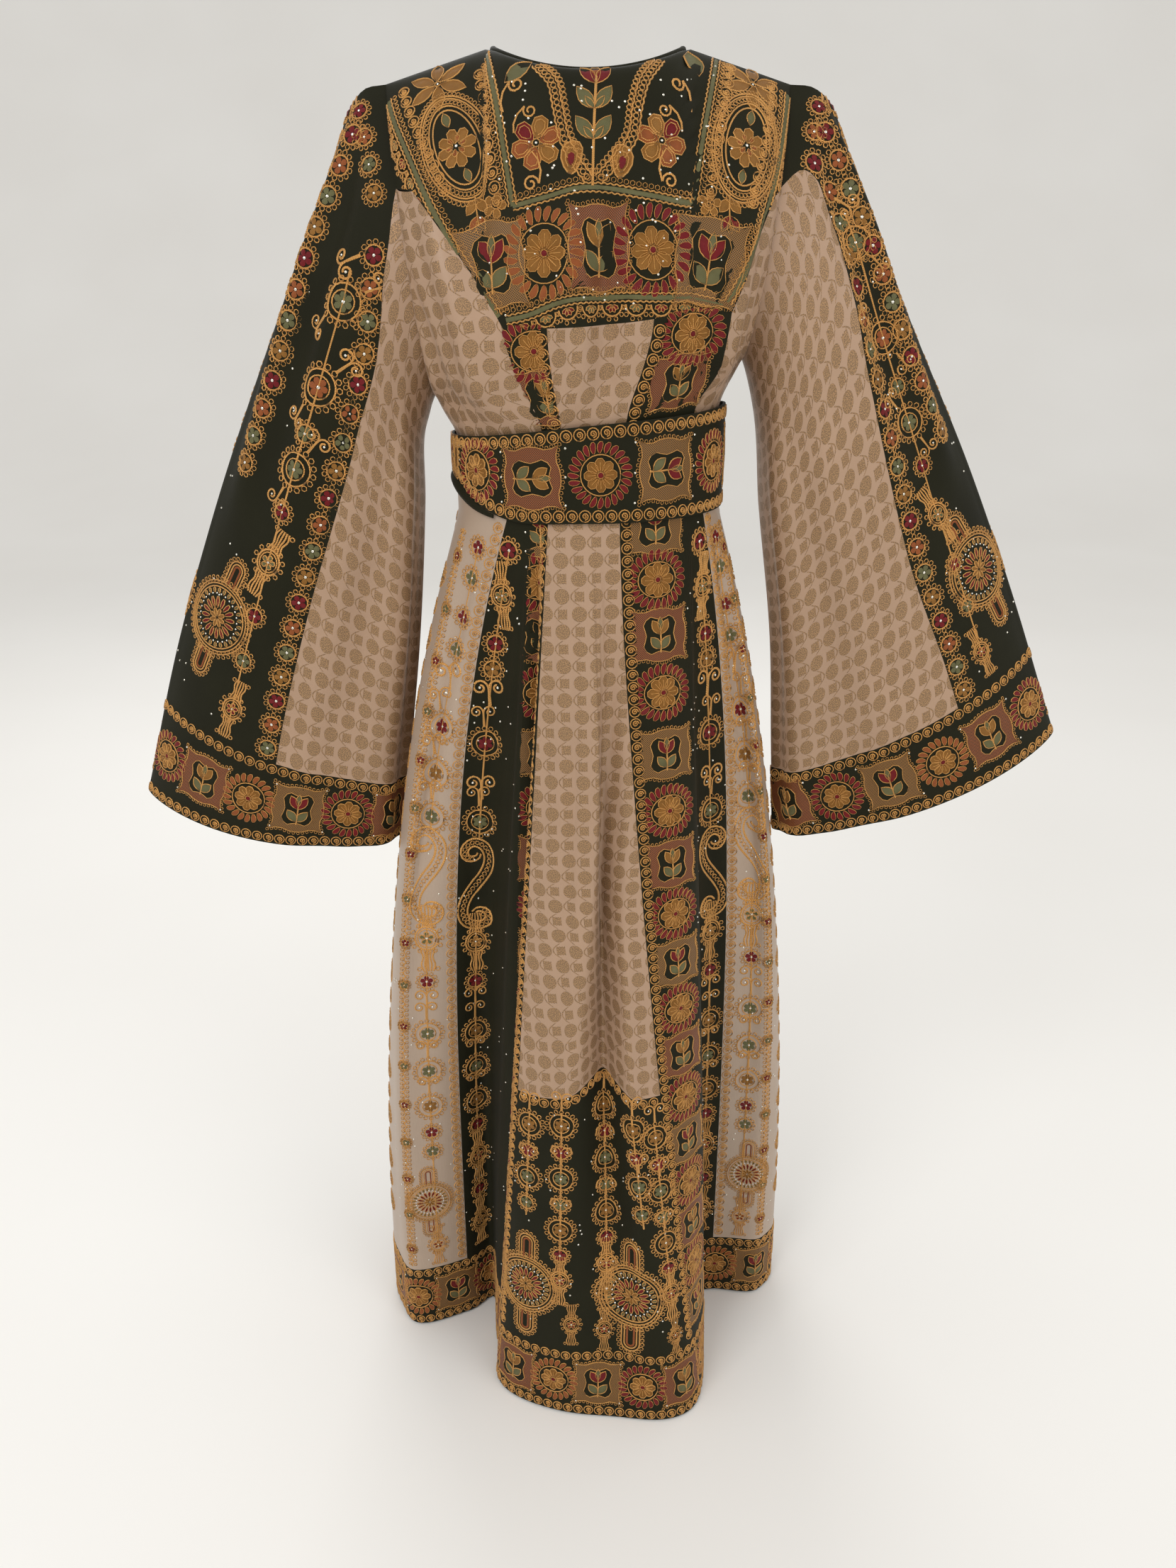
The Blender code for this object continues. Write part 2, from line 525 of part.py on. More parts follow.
def skirt_levels(low, high):
    """Levels for the rows of a skirt piece: the shared rows between its two ends."""
    below = between(HEM_BAND, SCALLOP_LEVEL, ROWS_BELOW_SCALLOP)
    above = between(SCALLOP_LEVEL, WAIST_LOW_LEVEL - SKIRT_TOP_ROW, ROWS_ABOVE_SCALLOP)
    shared = np.concatenate([below, above[1:], [WAIST_LOW_LEVEL]])
    kept = shared[(shared > low + SKIRT_ROW_CLEARANCE) & (shared < high - SKIRT_ROW_CLEARANCE)]
    return np.concatenate([[low], kept, [high]])


def bodice_levels(low, high):
    """Levels for the rows of a bodice piece, closer over the turn above the belt and at the shoulder."""
    shared = np.array(BODICE_LEVELS)
    kept = shared[(shared > low + BODICE_ROW_CLEARANCE) & (shared < high - BODICE_ROW_CLEARANCE)]
    return np.concatenate([[low], kept, [high]])


def material(name):
    """A Principled material with a cloth's colour and roughness."""
    colour, roughness = CLOTHS[name]
    made = bpy.data.materials.new(name)
    made.use_nodes = True
    shader = made.node_tree.nodes["Principled BSDF"]
    shader.inputs["Base Color"].default_value = (*colour, 1.0)
    shader.inputs["Roughness"].default_value = roughness
    return made


def scallop_level(cloth):
    """The seam at the foot of the brocade: an arch in the middle of the panel."""
    return SCALLOP_LEVEL + SCALLOP_RISE * bump((cloth - SCALLOP_MIDDLE) / SCALLOP_HALF)


def yoke_edges(level, turn_level):
    """The yoke's straight slanted side edges, in degrees: lower corners, top corners, then armholes.

    turn_level is where they have reached the armhole.
    """
    share = np.clip((level - CHEST_LEVEL) / (SIDE_TOP_LEVEL - CHEST_LEVEL), 0.0, 1.0)
    reach = np.clip((level - SIDE_TOP_LEVEL) / (turn_level - SIDE_TOP_LEVEL), 0.0, 1.0)
    edges = []
    for side, sign in (("left", -1.0), ("right", 1.0)):
        low = np.sin(np.radians(station_value("chest", np.array(station("column_" + side)))))
        across = low + (sign * APEX_REACH[side] - low) * share
        across = across + (sign - across) * reach
        edges.append(np.degrees(np.arcsin(np.clip(across, -1.0, 1.0))))
    return edges


def make_skirt(green, brocade, ivory):
    """Panels, gores and hem bands of the skirt. The back ones run up to the yoke."""
    centre = between(station("centre_left"), station("centre_right"), 12)
    left_column = between(station("column_left"), station("centre_left"), 3)
    right_column = between(station("centre_right"), station("column_right"), 3)
    upper = bodice_levels(WAIST_LOW_LEVEL, CHEST_LEVEL)[1:]

    rows = np.concatenate([skirt_levels(SCALLOP_LEVEL, WAIST_LOW_LEVEL), upper])
    a, level = grid(centre, rows)
    bent = 1 - smooth((level - SCALLOP_LEVEL) / SCALLOP_FADE)
    b = level + (scallop_level(a) - SCALLOP_LEVEL) * bent
    wall("back_centre_panel", body, a, b, CLOTH, brocade)

    a, level = grid(centre, skirt_levels(HEM_BAND, SCALLOP_LEVEL))
    bent = 1 - smooth((SCALLOP_LEVEL - level) / SCALLOP_FADE)
    b = level + (scallop_level(a) - SCALLOP_LEVEL) * bent
    wall("back_lower_panel", body, a, b, CLOTH, green)

    full = np.concatenate([skirt_levels(HEM_BAND, WAIST_LOW_LEVEL), upper])
    wall("back_column_left", body, *grid(left_column, full), CLOTH, green)
    wall("back_column_right", body, *grid(right_column, full), CLOTH, green)

    gored = np.concatenate([skirt_levels(HEM_BAND, WAIST_LOW_LEVEL), [WAIST_SEAM_LEVEL]])
    panels = (
        ("back_gore_left", "ivory_left", "column_left", 5, green),
        ("back_gore_right", "column_right", "ivory_right", 5, green),
        ("ivory_panel_left", "side_left", "ivory_left", 6, ivory),
        ("ivory_panel_right", "ivory_right", "side_right", 6, ivory),
        ("front_gore_left", "front_seam_left", "side_left", 6, green),
        ("front_gore_right", "side_right", "front_seam_right", 6, green),
    )
    for name, start, end, cells, cloth in panels:
        lines = between(station(start), station(end), cells)
        wall(name, body, *grid(lines, gored), CLOTH, cloth)
    front = between(station("front_seam_right"), station("front_seam_left") + CLOTH_ROUND_HEM, 8)
    wall("front_skirt_panel", body, *grid(front, gored), CLOTH, brocade)

    around = lines_over(("side_right", "front_seam_right", 6))
    around = np.concatenate([around, front[1:]])
    last = lines_over(("front_seam_left", "side_left", 6))[1:] + CLOTH_ROUND_HEM
    bands = (
        ("hem_band_train", np.concatenate([left_column, centre[1:], right_column[1:]])),
        ("hem_band_left", lines_over(("side_left", "ivory_left", 6), ("ivory_left", "column_left", 5))),
        ("hem_band_right", lines_over(("column_right", "ivory_right", 5), ("ivory_right", "side_right", 6))),
        ("hem_band_front", np.concatenate([around, last])),
    )
    band = between(0.0, HEM_BAND, 2)
    for name, lines in bands:
        wall(name, body, *grid(lines, band), CLOTH, green, butt=(1, 1, 0, 1))


def neck_angles():
    """Degrees from centre back of the points set evenly round half of the neckline."""
    x = NECK_HALF_WIDTH * np.sin(np.radians(between(-90, 90, NECK_CELLS)))
    return np.degrees(np.arcsin(x / SHOULDER_HALF_WIDTH))


def make_bodice(green, brocade):
    """Yokes, back side panels and the front of the bodice."""
    neck = neck_angles()
    left_shoulder = between(-90, neck[0], SHOULDER_CELLS)
    right_shoulder = between(neck[-1], 90, SHOULDER_CELLS)
    top = np.concatenate([left_shoulder, neck[1:], right_shoulder[1:]])
    below = lines_over(
        ("column_left", "centre_left", SHOULDER_CELLS),
        ("centre_left", "centre_right", NECK_CELLS),
        ("centre_right", "column_right", SHOULDER_CELLS),
    )
    low = station_value("chest", below)
    rows = bodice_levels(CHEST_LEVEL, SHOULDER_LEVEL)
    rows = np.sort(np.append(rows, SIDE_TOP_LEVEL))
    column_number = np.arange(len(top))
    share_low = (low - low[0]) / (low[-1] - low[0])
    share_top = (top + 90.0) / 180.0
    k, b = grid(column_number, rows)
    k = k.astype(int)
    rise = smooth((b - CHEST_LEVEL) / (SHOULDER_LEVEL - CHEST_LEVEL))
    share = share_low[k] * (1 - rise) + share_top[k] * rise
    left_edge, right_edge = yoke_edges(b, YOKE_TURN_LEVEL)
    angle = left_edge + (right_edge - left_edge) * share
    true_left, true_right = yoke_edges(b[:, 0], YOKE_APEX_LEVEL)
    angle[:, 0], angle[:, -1] = true_left, true_right
    wall("back_yoke", bodice, angle, b, CLOTH, green)

    for name, sign in (("left", -1), ("right", 1)):
        rows = np.append(bodice_levels(WAIST_SEAM_LEVEL, 1.260), SIDE_TOP_LEVEL)
        t, b = grid(between(0.0, 1.0, 6), rows)
        line = np.full_like(b, station("column_" + name))
        edge = yoke_edges(b, YOKE_APEX_LEVEL)[0 if sign < 0 else 1]
        seam = np.where(b > CHEST_LEVEL, edge, line_angle(line, b))
        angle = seam + (90.0 * sign - seam) * t
        b = b + (YOKE_APEX_LEVEL - SIDE_TOP_LEVEL) * t * (b == SIDE_TOP_LEVEL)
        if sign < 0:
            angle, b = angle[:, ::-1], b[:, ::-1]
        wall("back_side_" + name, bodice, angle, b, CLOTH, brocade)

    front = np.clip(180 + top, 90 + FRONT_STEP, 270 - FRONT_STEP)
    rows = bodice_levels(WAIST_SEAM_LEVEL, CHEST_LEVEL)
    wall("front_bodice", bodice, *grid(front, rows), CLOTH, brocade)
    rows = bodice_levels(CHEST_LEVEL, SHOULDER_LEVEL)
    wall("front_yoke", bodice, *grid(front, rows), CLOTH, green)


def make_sleeves(green, brocade):
    """Outer and under panels of each sleeve, and its cuff in two halves."""
    levels = np.array([level for level in BODICE_LEVELS if level >= UNDERARM_LEVEL])[::-1]
    rise = (levels - UNDERARM_LEVEL) / (SHOULDER_LEVEL - UNDERARM_LEVEL)
    start = np.degrees(np.arccos(2 * rise - 1))
    seam_number = int(np.argmin(np.abs(levels - YOKE_APEX_LEVEL)))
    outer_part = start[: seam_number + 1] / start[seam_number]
    under_part = (180.0 - start[seam_number:]) / (180.0 - start[seam_number])
    for side in ("left", "right"):
        points_of = sleeve(side)
        flip = side == "left"
        rows = SLEEVES[side]
        shares = column(rows, SLEEVE_COLUMNS, "share")
        seams = column(rows, SLEEVE_COLUMNS, "seam")
        seams[0] = start[seam_number]

        def outer(share):
            """Degrees round the sleeve across its green panel, at each share."""
            part = np.concatenate([-outer_part[:0:-1], outer_part])
            return part * curve_through(shares, seams, share)

        def under(share):
            """Degrees round the sleeve across its brocade panel, at each share."""
            part = np.concatenate([under_part, -under_part[-2::-1]])
            return 180.0 - part * (180.0 - curve_through(shares, seams, share))

        down = np.concatenate([SLEEVE_HEAD_SHARES, between(SLEEVE_BODY_SHARE, CUFF_SHARE, 11)])[:, None]
        angles = outer(down)
        wall("sleeve_outer_" + side, points_of, angles, down + 0 * angles, CLOTH, green, flip)
        angles = under(down)
        wall("sleeve_under_" + side, points_of, angles, down + 0 * angles, CLOTH, brocade, flip)

        last = np.array([CUFF_SHARE])
        half_ring = np.concatenate([outer(last)[len(outer_part) - 1:], under(last)[1 : len(under_part)]])
        for half, angles in (("back", half_ring), ("front", 360.0 - half_ring[::-1])):
            band = grid(angles, between(CUFF_SHARE, 1.0, 2))
            name = "cuff_" + side + "_" + half
            wall(name, points_of, *band, CLOTH, green, flip, butt=(1, 1, 1, 0))


def belt_edge(name, angle):
    """The level of one edge of the belt, by degrees round from centre back."""
    knots = column(BELT_ROWS, BELT_COLUMNS, "angle")
    return curve_through(knots, column(BELT_ROWS, BELT_COLUMNS, name), angle)


def belt_face(angle, level, out):
    """Points on an oval tube about the waist, a distance out from the gathered cloth."""
    turn = np.radians(angle)
    waist = np.full_like(level, WAIST_LOW_LEVEL)
    x = (ring_value("half_width", waist) + out) * np.sin(turn)
    deep = np.where(np.cos(turn) > 0, ring_value("back_depth", waist), ring_value("front_depth", waist))
    return np.stack([x, -(deep + out) * np.cos(turn), level - SHOULDER_LEVEL], axis=-1)


def belt(angle, share):
    """The belt's outer face: degrees round, and share of the height from its lower edge to its top."""
    angle, share = np.broadcast_arrays(np.asarray(angle, float), np.asarray(share, float))
    angle_in_table = (angle + 180.0) % 360.0 - 180.0
    low, top = belt_edge("low", angle_in_table), belt_edge("top", angle_in_table)
    return belt_face(angle, low + (top - low) * share, BELT_CLEARANCE + BELT_CLOTH)


def belt_tail(angle, share):
    """The plain green corner of the belt that shows under its turned-up lower edge on the left."""
    angle, share = np.broadcast_arrays(np.asarray(angle, float), np.asarray(share, float))
    low, high = belt_edge("tail_low", angle), belt_edge("low", angle) - TAIL_GAP
    full = smooth((high - low) / TAIL_SWELL_HEIGHT)
    swell = TAIL_SWELL * np.sin(np.pi * np.clip(share, 0.0, 1.0)) * full
    out = BELT_CLEARANCE + BELT_CLOTH + swell
    return belt_face(angle, low + (high - low) * share, out)


def make_belt(green):
    """The belt in two halves, and its plain corner."""
    rows = between(0.0, 1.0, 2)
    halves = (("belt_back", -90.0), ("belt_front", 90.0))
    for name, start in halves:
        lines = between(start, start + 180.0, 24)
        wall(name, belt, *grid(lines, rows), BELT_CLOTH, green, butt=(1, 1, 0, 0))
    corner = grid(between(*TAIL_ANGLES, 12), between(0.0, 1.0, 4))
    wall("belt_tail", belt_tail, *corner, TAIL_CLOTH, green, butt=(0, 0, 0, 0))


def make_binding(green):
    """A round binding along the neckline, just inside the edge of the yokes."""
    across = neck_angles()
    around = np.concatenate([across, 180 + across[1:-1]])
    edge = bodice_smooth(around, np.full_like(around, SHOULDER_LEVEL))
    inward = edge * (-1.0, -1.0, 0.0)
    inward /= np.linalg.norm(inward, axis=-1, keepdims=True)
    normal = outward(bodice_smooth, around, np.full_like(around, SHOULDER_LEVEL - NECK_EDGE))
    lean = np.abs(np.sum(normal * inward, axis=-1, keepdims=True))
    path = edge - normal * CLOTH / 2 + inward * (BINDING_RADIUS + BINDING_GAP + lean * CLOTH / 2)
    curve = bpy.data.curves.new("neck_binding", "CURVE")
    curve.dimensions = "3D"
    curve.bevel_depth = BINDING_RADIUS
    curve.bevel_resolution = 1
    spline = curve.splines.new("POLY")
    spline.points.add(len(path) - 1)
    for point, place in zip(spline.points, path):
        point.co = (*place, 1.0)
    spline.use_cyclic_u = True
    made = bpy.data.objects.new("neck_binding", curve)
    curve.materials.append(green)
    garment.objects.link(made)


for old in list(bpy.data.objects):
    bpy.data.objects.remove(old)
garment = bpy.data.collections.new("thobe")
bpy.context.scene.collection.children.link(garment)

green_crepe = material("green_crepe")
cream_brocade = material("cream_brocade")
ivory_satin = material("ivory_satin")

make_skirt(green_crepe, cream_brocade, ivory_satin)
make_bodice(green_crepe, cream_brocade)
make_sleeves(green_crepe, cream_brocade)
make_belt(green_crepe)
make_binding(green_crepe)
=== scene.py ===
"""Looks of the thobe: creased cloth, couched cord embroidery, satin fills, net tiles and spangles.

Metres in the object's own frame. The garment's surfaces are the functions that the solids are made
from, so each piece here lies on its solid. Embroidery is laid out in millimetres on the flat and
carried onto the cloth.
"""

import math

import bpy
import numpy as np
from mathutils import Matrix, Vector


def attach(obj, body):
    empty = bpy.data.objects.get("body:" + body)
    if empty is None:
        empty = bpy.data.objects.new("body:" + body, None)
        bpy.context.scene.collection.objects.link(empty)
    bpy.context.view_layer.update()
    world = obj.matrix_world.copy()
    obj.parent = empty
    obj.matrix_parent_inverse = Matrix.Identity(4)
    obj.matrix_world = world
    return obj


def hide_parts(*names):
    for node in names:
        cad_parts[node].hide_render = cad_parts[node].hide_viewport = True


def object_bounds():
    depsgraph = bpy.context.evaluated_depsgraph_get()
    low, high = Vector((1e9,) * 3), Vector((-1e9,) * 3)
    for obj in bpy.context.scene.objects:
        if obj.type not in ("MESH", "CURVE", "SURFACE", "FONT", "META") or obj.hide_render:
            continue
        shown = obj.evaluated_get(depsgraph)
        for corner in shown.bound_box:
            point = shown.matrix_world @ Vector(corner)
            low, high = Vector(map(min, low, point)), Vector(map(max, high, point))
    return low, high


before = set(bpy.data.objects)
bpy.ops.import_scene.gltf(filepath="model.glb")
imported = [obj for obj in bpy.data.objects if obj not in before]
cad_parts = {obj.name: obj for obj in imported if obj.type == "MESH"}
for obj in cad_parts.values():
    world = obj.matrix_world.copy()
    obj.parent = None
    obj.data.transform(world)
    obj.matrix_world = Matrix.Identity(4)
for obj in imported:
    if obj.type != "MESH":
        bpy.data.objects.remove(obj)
CAD_BOX = [list(corner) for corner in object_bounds()]

bl_info = {
    "name": "Thobe",
    "version": (1, 0, 0),
    "blender": (4, 5, 0),
    "location": "3D View > Sidebar > Thobe",
    "description": "Cloth, embroidery and studio of an embroidered thobe",
    "category": "Object",
}

SIDES = (("left", -1.0), ("right", 1.0))
TINY = 1e-12
SMALL_STEP = 1e-4           # to find a surface's slope

# Driving sizes, in metres.
SHOULDER_LEVEL = 1.395      # shoulder point above the lowest hem
UNDERARM_LEVEL = 1.150      # bottom of the armhole
CHEST_LEVEL = 1.197         # lower edge of the yokes
BELT_TOP_LEVEL = 1.114      # top edge of the belt at centre back
WAIST_SEAM_LEVEL = 1.070    # where the skirt gores join the bodice, under the belt
WAIST_LOW_LEVEL = 1.028     # bottom edge of the belt, where the skirt starts to flare
HEM_BAND = 0.088            # height of the embroidered bands at hem, cuffs and belt
CLOTH = 0.0016              # thickness of a cloth wall
BELT_CLOTH = 0.0026         # the belt is stiffened
BELT_CLEARANCE = 0.0012     # between the gathered cloth and the belt
TILT_TOP = 0.12             # the cloth at the belt's top rises towards +X, metres per metre
TILT_LOW = 0.02             # the same at the belt's lower edge
TILT_END_LEVEL = 1.300      # above this the cloth is level again

# Waist and chest, half sizes of the ring of cloth at each level.
RING_COLUMNS = ("level", "half_width", "back_depth", "front_depth")
RINGS = (
    (1.000, 0.1300, 0.1120, 0.1000),
    (1.058, 0.1300, 0.1120, 0.1000),
    (1.116, 0.1300, 0.1120, 0.1000),
    (1.134, 0.1400, 0.1195, 0.1080),
    (1.150, 0.1480, 0.1230, 0.1160),
    (1.395, 0.1820, 0.1260, 0.1240),
)

# Lines down the garment, from centre back round to centre front and back again on the other side.
# cloth: distance along the hem. chest, gather, waist: degrees from centre back at the yoke's lower
# edge, above the belt and below it. hem_x, hem_y: the line's place at the hem. ease: how soon the
# line leaves the waist for that place, where 1 is a straight line and less than 1 is late.
STATION_COLUMNS = ("name", "cloth", "chest", "gather", "waist", "hem_x", "hem_y", "ease")
STATIONS = (
    ("front_seam_left", -0.660, -150.0, -150.0, -150.0, -0.130, 0.192, 1.5),
    ("front_turn_left", -0.560, -125.0, -123.0, -122.0, -0.220, 0.140, 1.7),
    ("side_left", -0.460, -92.0, -90.0, -88.0, -0.254, 0.048, 1.7),
    ("corner_left", -0.375, -80.0, -72.0, -66.0, -0.224, -0.064, 3.0),
    ("ivory_left", -0.305, -62.0, -48.0, -36.0, -0.154, -0.046, 4.0),
    ("valley_left", -0.245, -50.0, -36.0, -30.0, -0.122, -0.026, 1.8),
    ("column_left", -0.195, -28.3, -18.8, -24.0, -0.116, -0.098, 1.1),
    ("centre_left", -0.120, -13.2, -10.9, -16.5, -0.104, -0.160, 1.0),
    ("centre_back", 0.000, 4.0, 2.0, -1.0, 0.016, -0.206, 0.9),
    ("centre_right", 0.122, 21.5, 15.5, 13.0, 0.126, -0.190, 0.7),
    ("column_right", 0.197, 52.0, 50.2, 43.0, 0.143, -0.120, 1.3),
    ("valley_right", 0.287, 64.0, 60.0, 50.0, 0.136, -0.020, 2.2),
    ("ivory_right", 0.337, 70.0, 66.0, 58.0, 0.163, -0.010, 4.0),
    ("corner_right", 0.405, 82.0, 79.0, 76.0, 0.226, -0.010, 2.8),
    ("side_right", 0.470, 92.0, 90.0, 90.0, 0.245, 0.056, 1.8),
    ("front_turn_right", 0.560, 125.0, 123.0, 122.0, 0.214, 0.144, 1.6),
    ("front_seam_right", 0.660, 150.0, 150.0, 150.0, 0.130, 0.192, 1.5),
    ("front_centre", 0.795, 180.0, 180.0, 180.0, 0.000, 0.212, 1.4),
)
CLOTH_ROUND_HEM = 1.590     # the cloth coordinate of one whole turn
STATION_WRAP = 5            # stations repeated past each end of the table, where the tube closes
HEM_OVERRUN = 1.02          # the fall of the skirt is defined a little past the hem

# Folds of the skirt. They push the cloth in (negative depth) or out, along its own normal.
# Each row: the fold's middle at the waist and at the hem, its half width at the waist and at the
# hem, and its depth near the waist, at mid height and at the hem.
SKIRT_FOLDS = (
    (0.100, 0.016, 0.045, 0.066, -0.006, -0.040, -0.004),
    (-0.158, -0.180, 0.036, 0.040, -0.009, -0.016, -0.004),
    (-0.345, -0.350, 0.030, 0.030, -0.007, -0.006, 0.000),
    (-0.420, -0.425, 0.028, 0.030, 0.005, 0.006, 0.006),
    (0.372, 0.372, 0.026, 0.028, -0.007, -0.006, 0.000),
    (0.437, 0.437, 0.026, 0.030, 0.004, 0.006, 0.006),
    (0.530, 0.515, 0.036, 0.040, -0.006, -0.014, -0.020),
    (0.610, 0.610, 0.036, 0.044, 0.003, 0.010, 0.014),
    (0.705, 0.720, 0.036, 0.048, -0.005, -0.016, -0.024),
    (-0.530, -0.515, 0.036, 0.040, -0.006, -0.014, -0.020),
    (-0.610, -0.610, 0.036, 0.044, 0.003, 0.010, 0.014),
    (-0.705, -0.720, 0.036, 0.048, -0.005, -0.016, -0.024),
)
SKIRT_FOLD_SHARES = (0.0, 0.10, 0.55, 1.0)      # waist, top, middle and hem, as shares of the fall
SKIRT_FOLD_DRIFT = 1.6      # how soon a fold reaches its place at the hem

# Folds of the bodice, as lines from one place to another, in degrees from centre back.
# Each row: angle and level of the high end, angle and level of the low end, half width and depth.
BODICE_FOLDS = (
    (-3.0, 1.330, -5.0, 1.110, 8.0, 0.0080),
    (6.0, 1.330, 7.0, 1.110, 7.0, -0.0080),
    (-62.0, 1.330, -33.0, 1.105, 13.0, 0.0110),
    (60.0, 1.320, 53.0, 1.105, 11.0, 0.0100),
    (-84.0, 1.260, -58.0, 1.110, 12.0, -0.0070),
    (84.0, 1.260, 78.0, 1.110, 11.0, -0.0070),
    (150.0, 1.230, 160.0, 1.110, 9.0, -0.0060),
    (-150.0, 1.230, -160.0, 1.110, 9.0, -0.0060),
    (120.0, 1.230, 128.0, 1.110, 11.0, -0.0060),
    (-120.0, 1.230, -128.0, 1.110, 11.0, -0.0060),
)
BODICE_FOLD_START = 2.2     # how soon a fold reaches its full depth below its top end
BODICE_FOLD_FADE = 0.040    # height above the belt over which the folds flatten
ARMHOLE_CALM_ANGLE = 16.0   # the folds also flatten within this many degrees of the side
ARMHOLE_CALM_LEVEL = 1.125  # and above this level
ARMHOLE_CALM_RISE = 0.020

# The belt's edges, as levels, by degrees round from centre back. It rises towards +X, and its lower
# edge turns up on the wearer's left, where the plain green corner under it shows.
BELT_COLUMNS = ("angle", "low", "top", "tail_low")
BELT_ROWS = (
    (-180.0, 1.0360, 1.1080, 1.0360),
    (-140.0, 1.0380, 1.1020, 1.0340),
    (-110.0, 1.0560, 1.0990, 1.0430),
    (-85.0, 1.0640, 1.0985, 1.0500),
    (-68.0, 1.0560, 1.0990, 1.0420),
    (-52.0, 1.0400, 1.1010, 1.0320),
    (-38.0, 1.0300, 1.1040, 1.0270),
    (0.0, 1.0280, 1.1140, 1.0280),
    (45.0, 1.0290, 1.1215, 1.0290),
    (90.0, 1.0310, 1.1260, 1.0310),
    (180.0, 1.0360, 1.1080, 1.0360),
)
TAIL_ANGLES = (-136.0, -42.0)   # where the plain corner starts and ends
TAIL_SWELL = 0.0035         # how far the plain corner bulges
TAIL_GAP = 0.0006           # between the corner and the belt above it
TAIL_CLOTH = 0.0016
TAIL_SWELL_HEIGHT = 0.020   # the corner bulges fully where it is this tall

# Neck and shoulders.
NECK_HALF_WIDTH = 0.088
NECK_SIDE_LEVEL = 1.422     # where the shoulder seam meets the neckline
NECK_BACK_DROP = 0.026      # how far the neckline dips at centre back
NECK_FRONT_DROP = 0.080
NECK_BACK_CURVE = 1.6       # how late the neckline drops from the shoulder seam
NECK_FRONT_CURVE = 2.3
SHOULDER_ROUND = 1.6        # how late the bodice rounds over to the shoulder seam
NECK_BACK_DEPTH = 0.072     # from the shoulder seam back to the neckline
NECK_FRONT_DEPTH = 0.082
SHOULDER_HALF_WIDTH = 0.180
FRONT_STEP = 1e-4           # degrees past the side, where the front begins
ARMHOLE_HALF_DEPTH = 0.074
BINDING_RADIUS = 0.0028     # of the round binding of the neckline
BINDING_GAP = 0.0008        # between the binding and the yokes
BINDING_SIDES = 10
NECK_EDGE = 0.001           # the yokes' lean at the neckline is taken this far below their edge

# Edges of the yokes.
YOKE_APEX_LEVEL = 1.306
YOKE_TURN_LEVEL = 1.362     # the columns inside the yoke reach the armhole more gently, at this level
SIDE_TOP_LEVEL = 1.299      # the narrow top end of each side panel, just under the apex
SIDE_ROWS_TOP = 1.285       # and the highest of its even rows
APEX_REACH = {"left": 0.90, "right": 0.975}     # how far out to the armhole the top corners lie

# Sleeves: the outer and inner edges as seen from behind, for each share of the sleeve's length.
# seam: degrees from the outer edge round to the brocade under panel.
SLEEVE_COLUMNS = (
    "share", "outer_x", "outer_level", "inner_x", "inner_level", "half_depth", "forward", "seam"
)
SLEEVES = {
    "left": (
        (0.00, -0.1800, 1.3950, -0.1480, 1.1500, 0.0740, 0.000, 83.0),
        (0.03, -0.1990, 1.3915, -0.1525, 1.1390, 0.0735, 0.000, 90.0),
        (0.06, -0.2135, 1.3760, -0.1560, 1.1260, 0.0730, 0.000, 96.0),
        (0.10, -0.2270, 1.3450, -0.1600, 1.1100, 0.0720, 0.001, 102.0),
        (0.30, -0.2930, 1.2070, -0.1650, 1.0250, 0.0680, 0.005, 101.0),
        (0.60, -0.3835, 1.0105, -0.1800, 0.8740, 0.0620, 0.014, 92.0),
        (0.80, -0.4430, 0.8640, -0.1960, 0.7575, 0.0590, 0.020, 89.0),
        (1.00, -0.4970, 0.7060, -0.2095, 0.6520, 0.0560, 0.026, 89.0),
    ),
    "right": (
        (0.00, 0.1800, 1.3950, 0.1480, 1.1500, 0.0740, 0.000, 70.0),
        (0.03, 0.2000, 1.3930, 0.1525, 1.1390, 0.0735, 0.000, 64.0),
        (0.06, 0.2165, 1.3810, 0.1570, 1.1260, 0.0730, 0.000, 61.0),
        (0.10, 0.2320, 1.3510, 0.1620, 1.1100, 0.0720, 0.001, 61.0),
        (0.30, 0.2970, 1.2200, 0.1730, 1.0250, 0.0680, 0.005, 70.0),
        (0.60, 0.3885, 1.0500, 0.1945, 0.8760, 0.0620, 0.014, 75.0),
        (0.80, 0.4525, 0.9180, 0.2025, 0.7675, 0.0590, 0.020, 69.0),
        (1.00, 0.5160, 0.7755, 0.2105, 0.6580, 0.0560, 0.026, 66.0),
    ),
}
SLEEVE_HEAD_SHARE = 0.22            # over this share the sleeve takes up the armhole's own shape
CUFF_SHARE = 0.860                  # where the cuff band starts, as a share of the sleeve
CUFF_SAG = 0.014                    # how far the middle of the cuff hangs below its ends
CUFF_SAG_START = 0.3                # share where the sag begins
SLEEVE_POINT = 0.45                 # how much sharper the outer edge of the sleeve is at the cuff
SLEEVE_FOLD_FADE = 0.12             # share over which the folds grow from the armhole
# Each row: the fold's angle at its upper and lower end, its half width and depth, and the shares of
# the sleeve's length where it starts and ends.
SLEEVE_FOLDS = (
    (28.0, 38.0, 15.0, 0.0080, -0.10, 0.60),
    (50.0, 56.0, 14.0, -0.0070, -0.10, 0.60),
    (118.0, 112.0, 18.0, -0.0050, 0.10, 1.30),
    (140.0, 148.0, 15.0, 0.0060, 0.05, 1.30),
    (160.0, 168.0, 13.0, -0.0050, 0.15, 1.30),
    (-45.0, -55.0, 20.0, -0.0070, -0.10, 0.80),
    (-120.0, -128.0, 20.0, -0.0060, 0.15, 1.30),
)

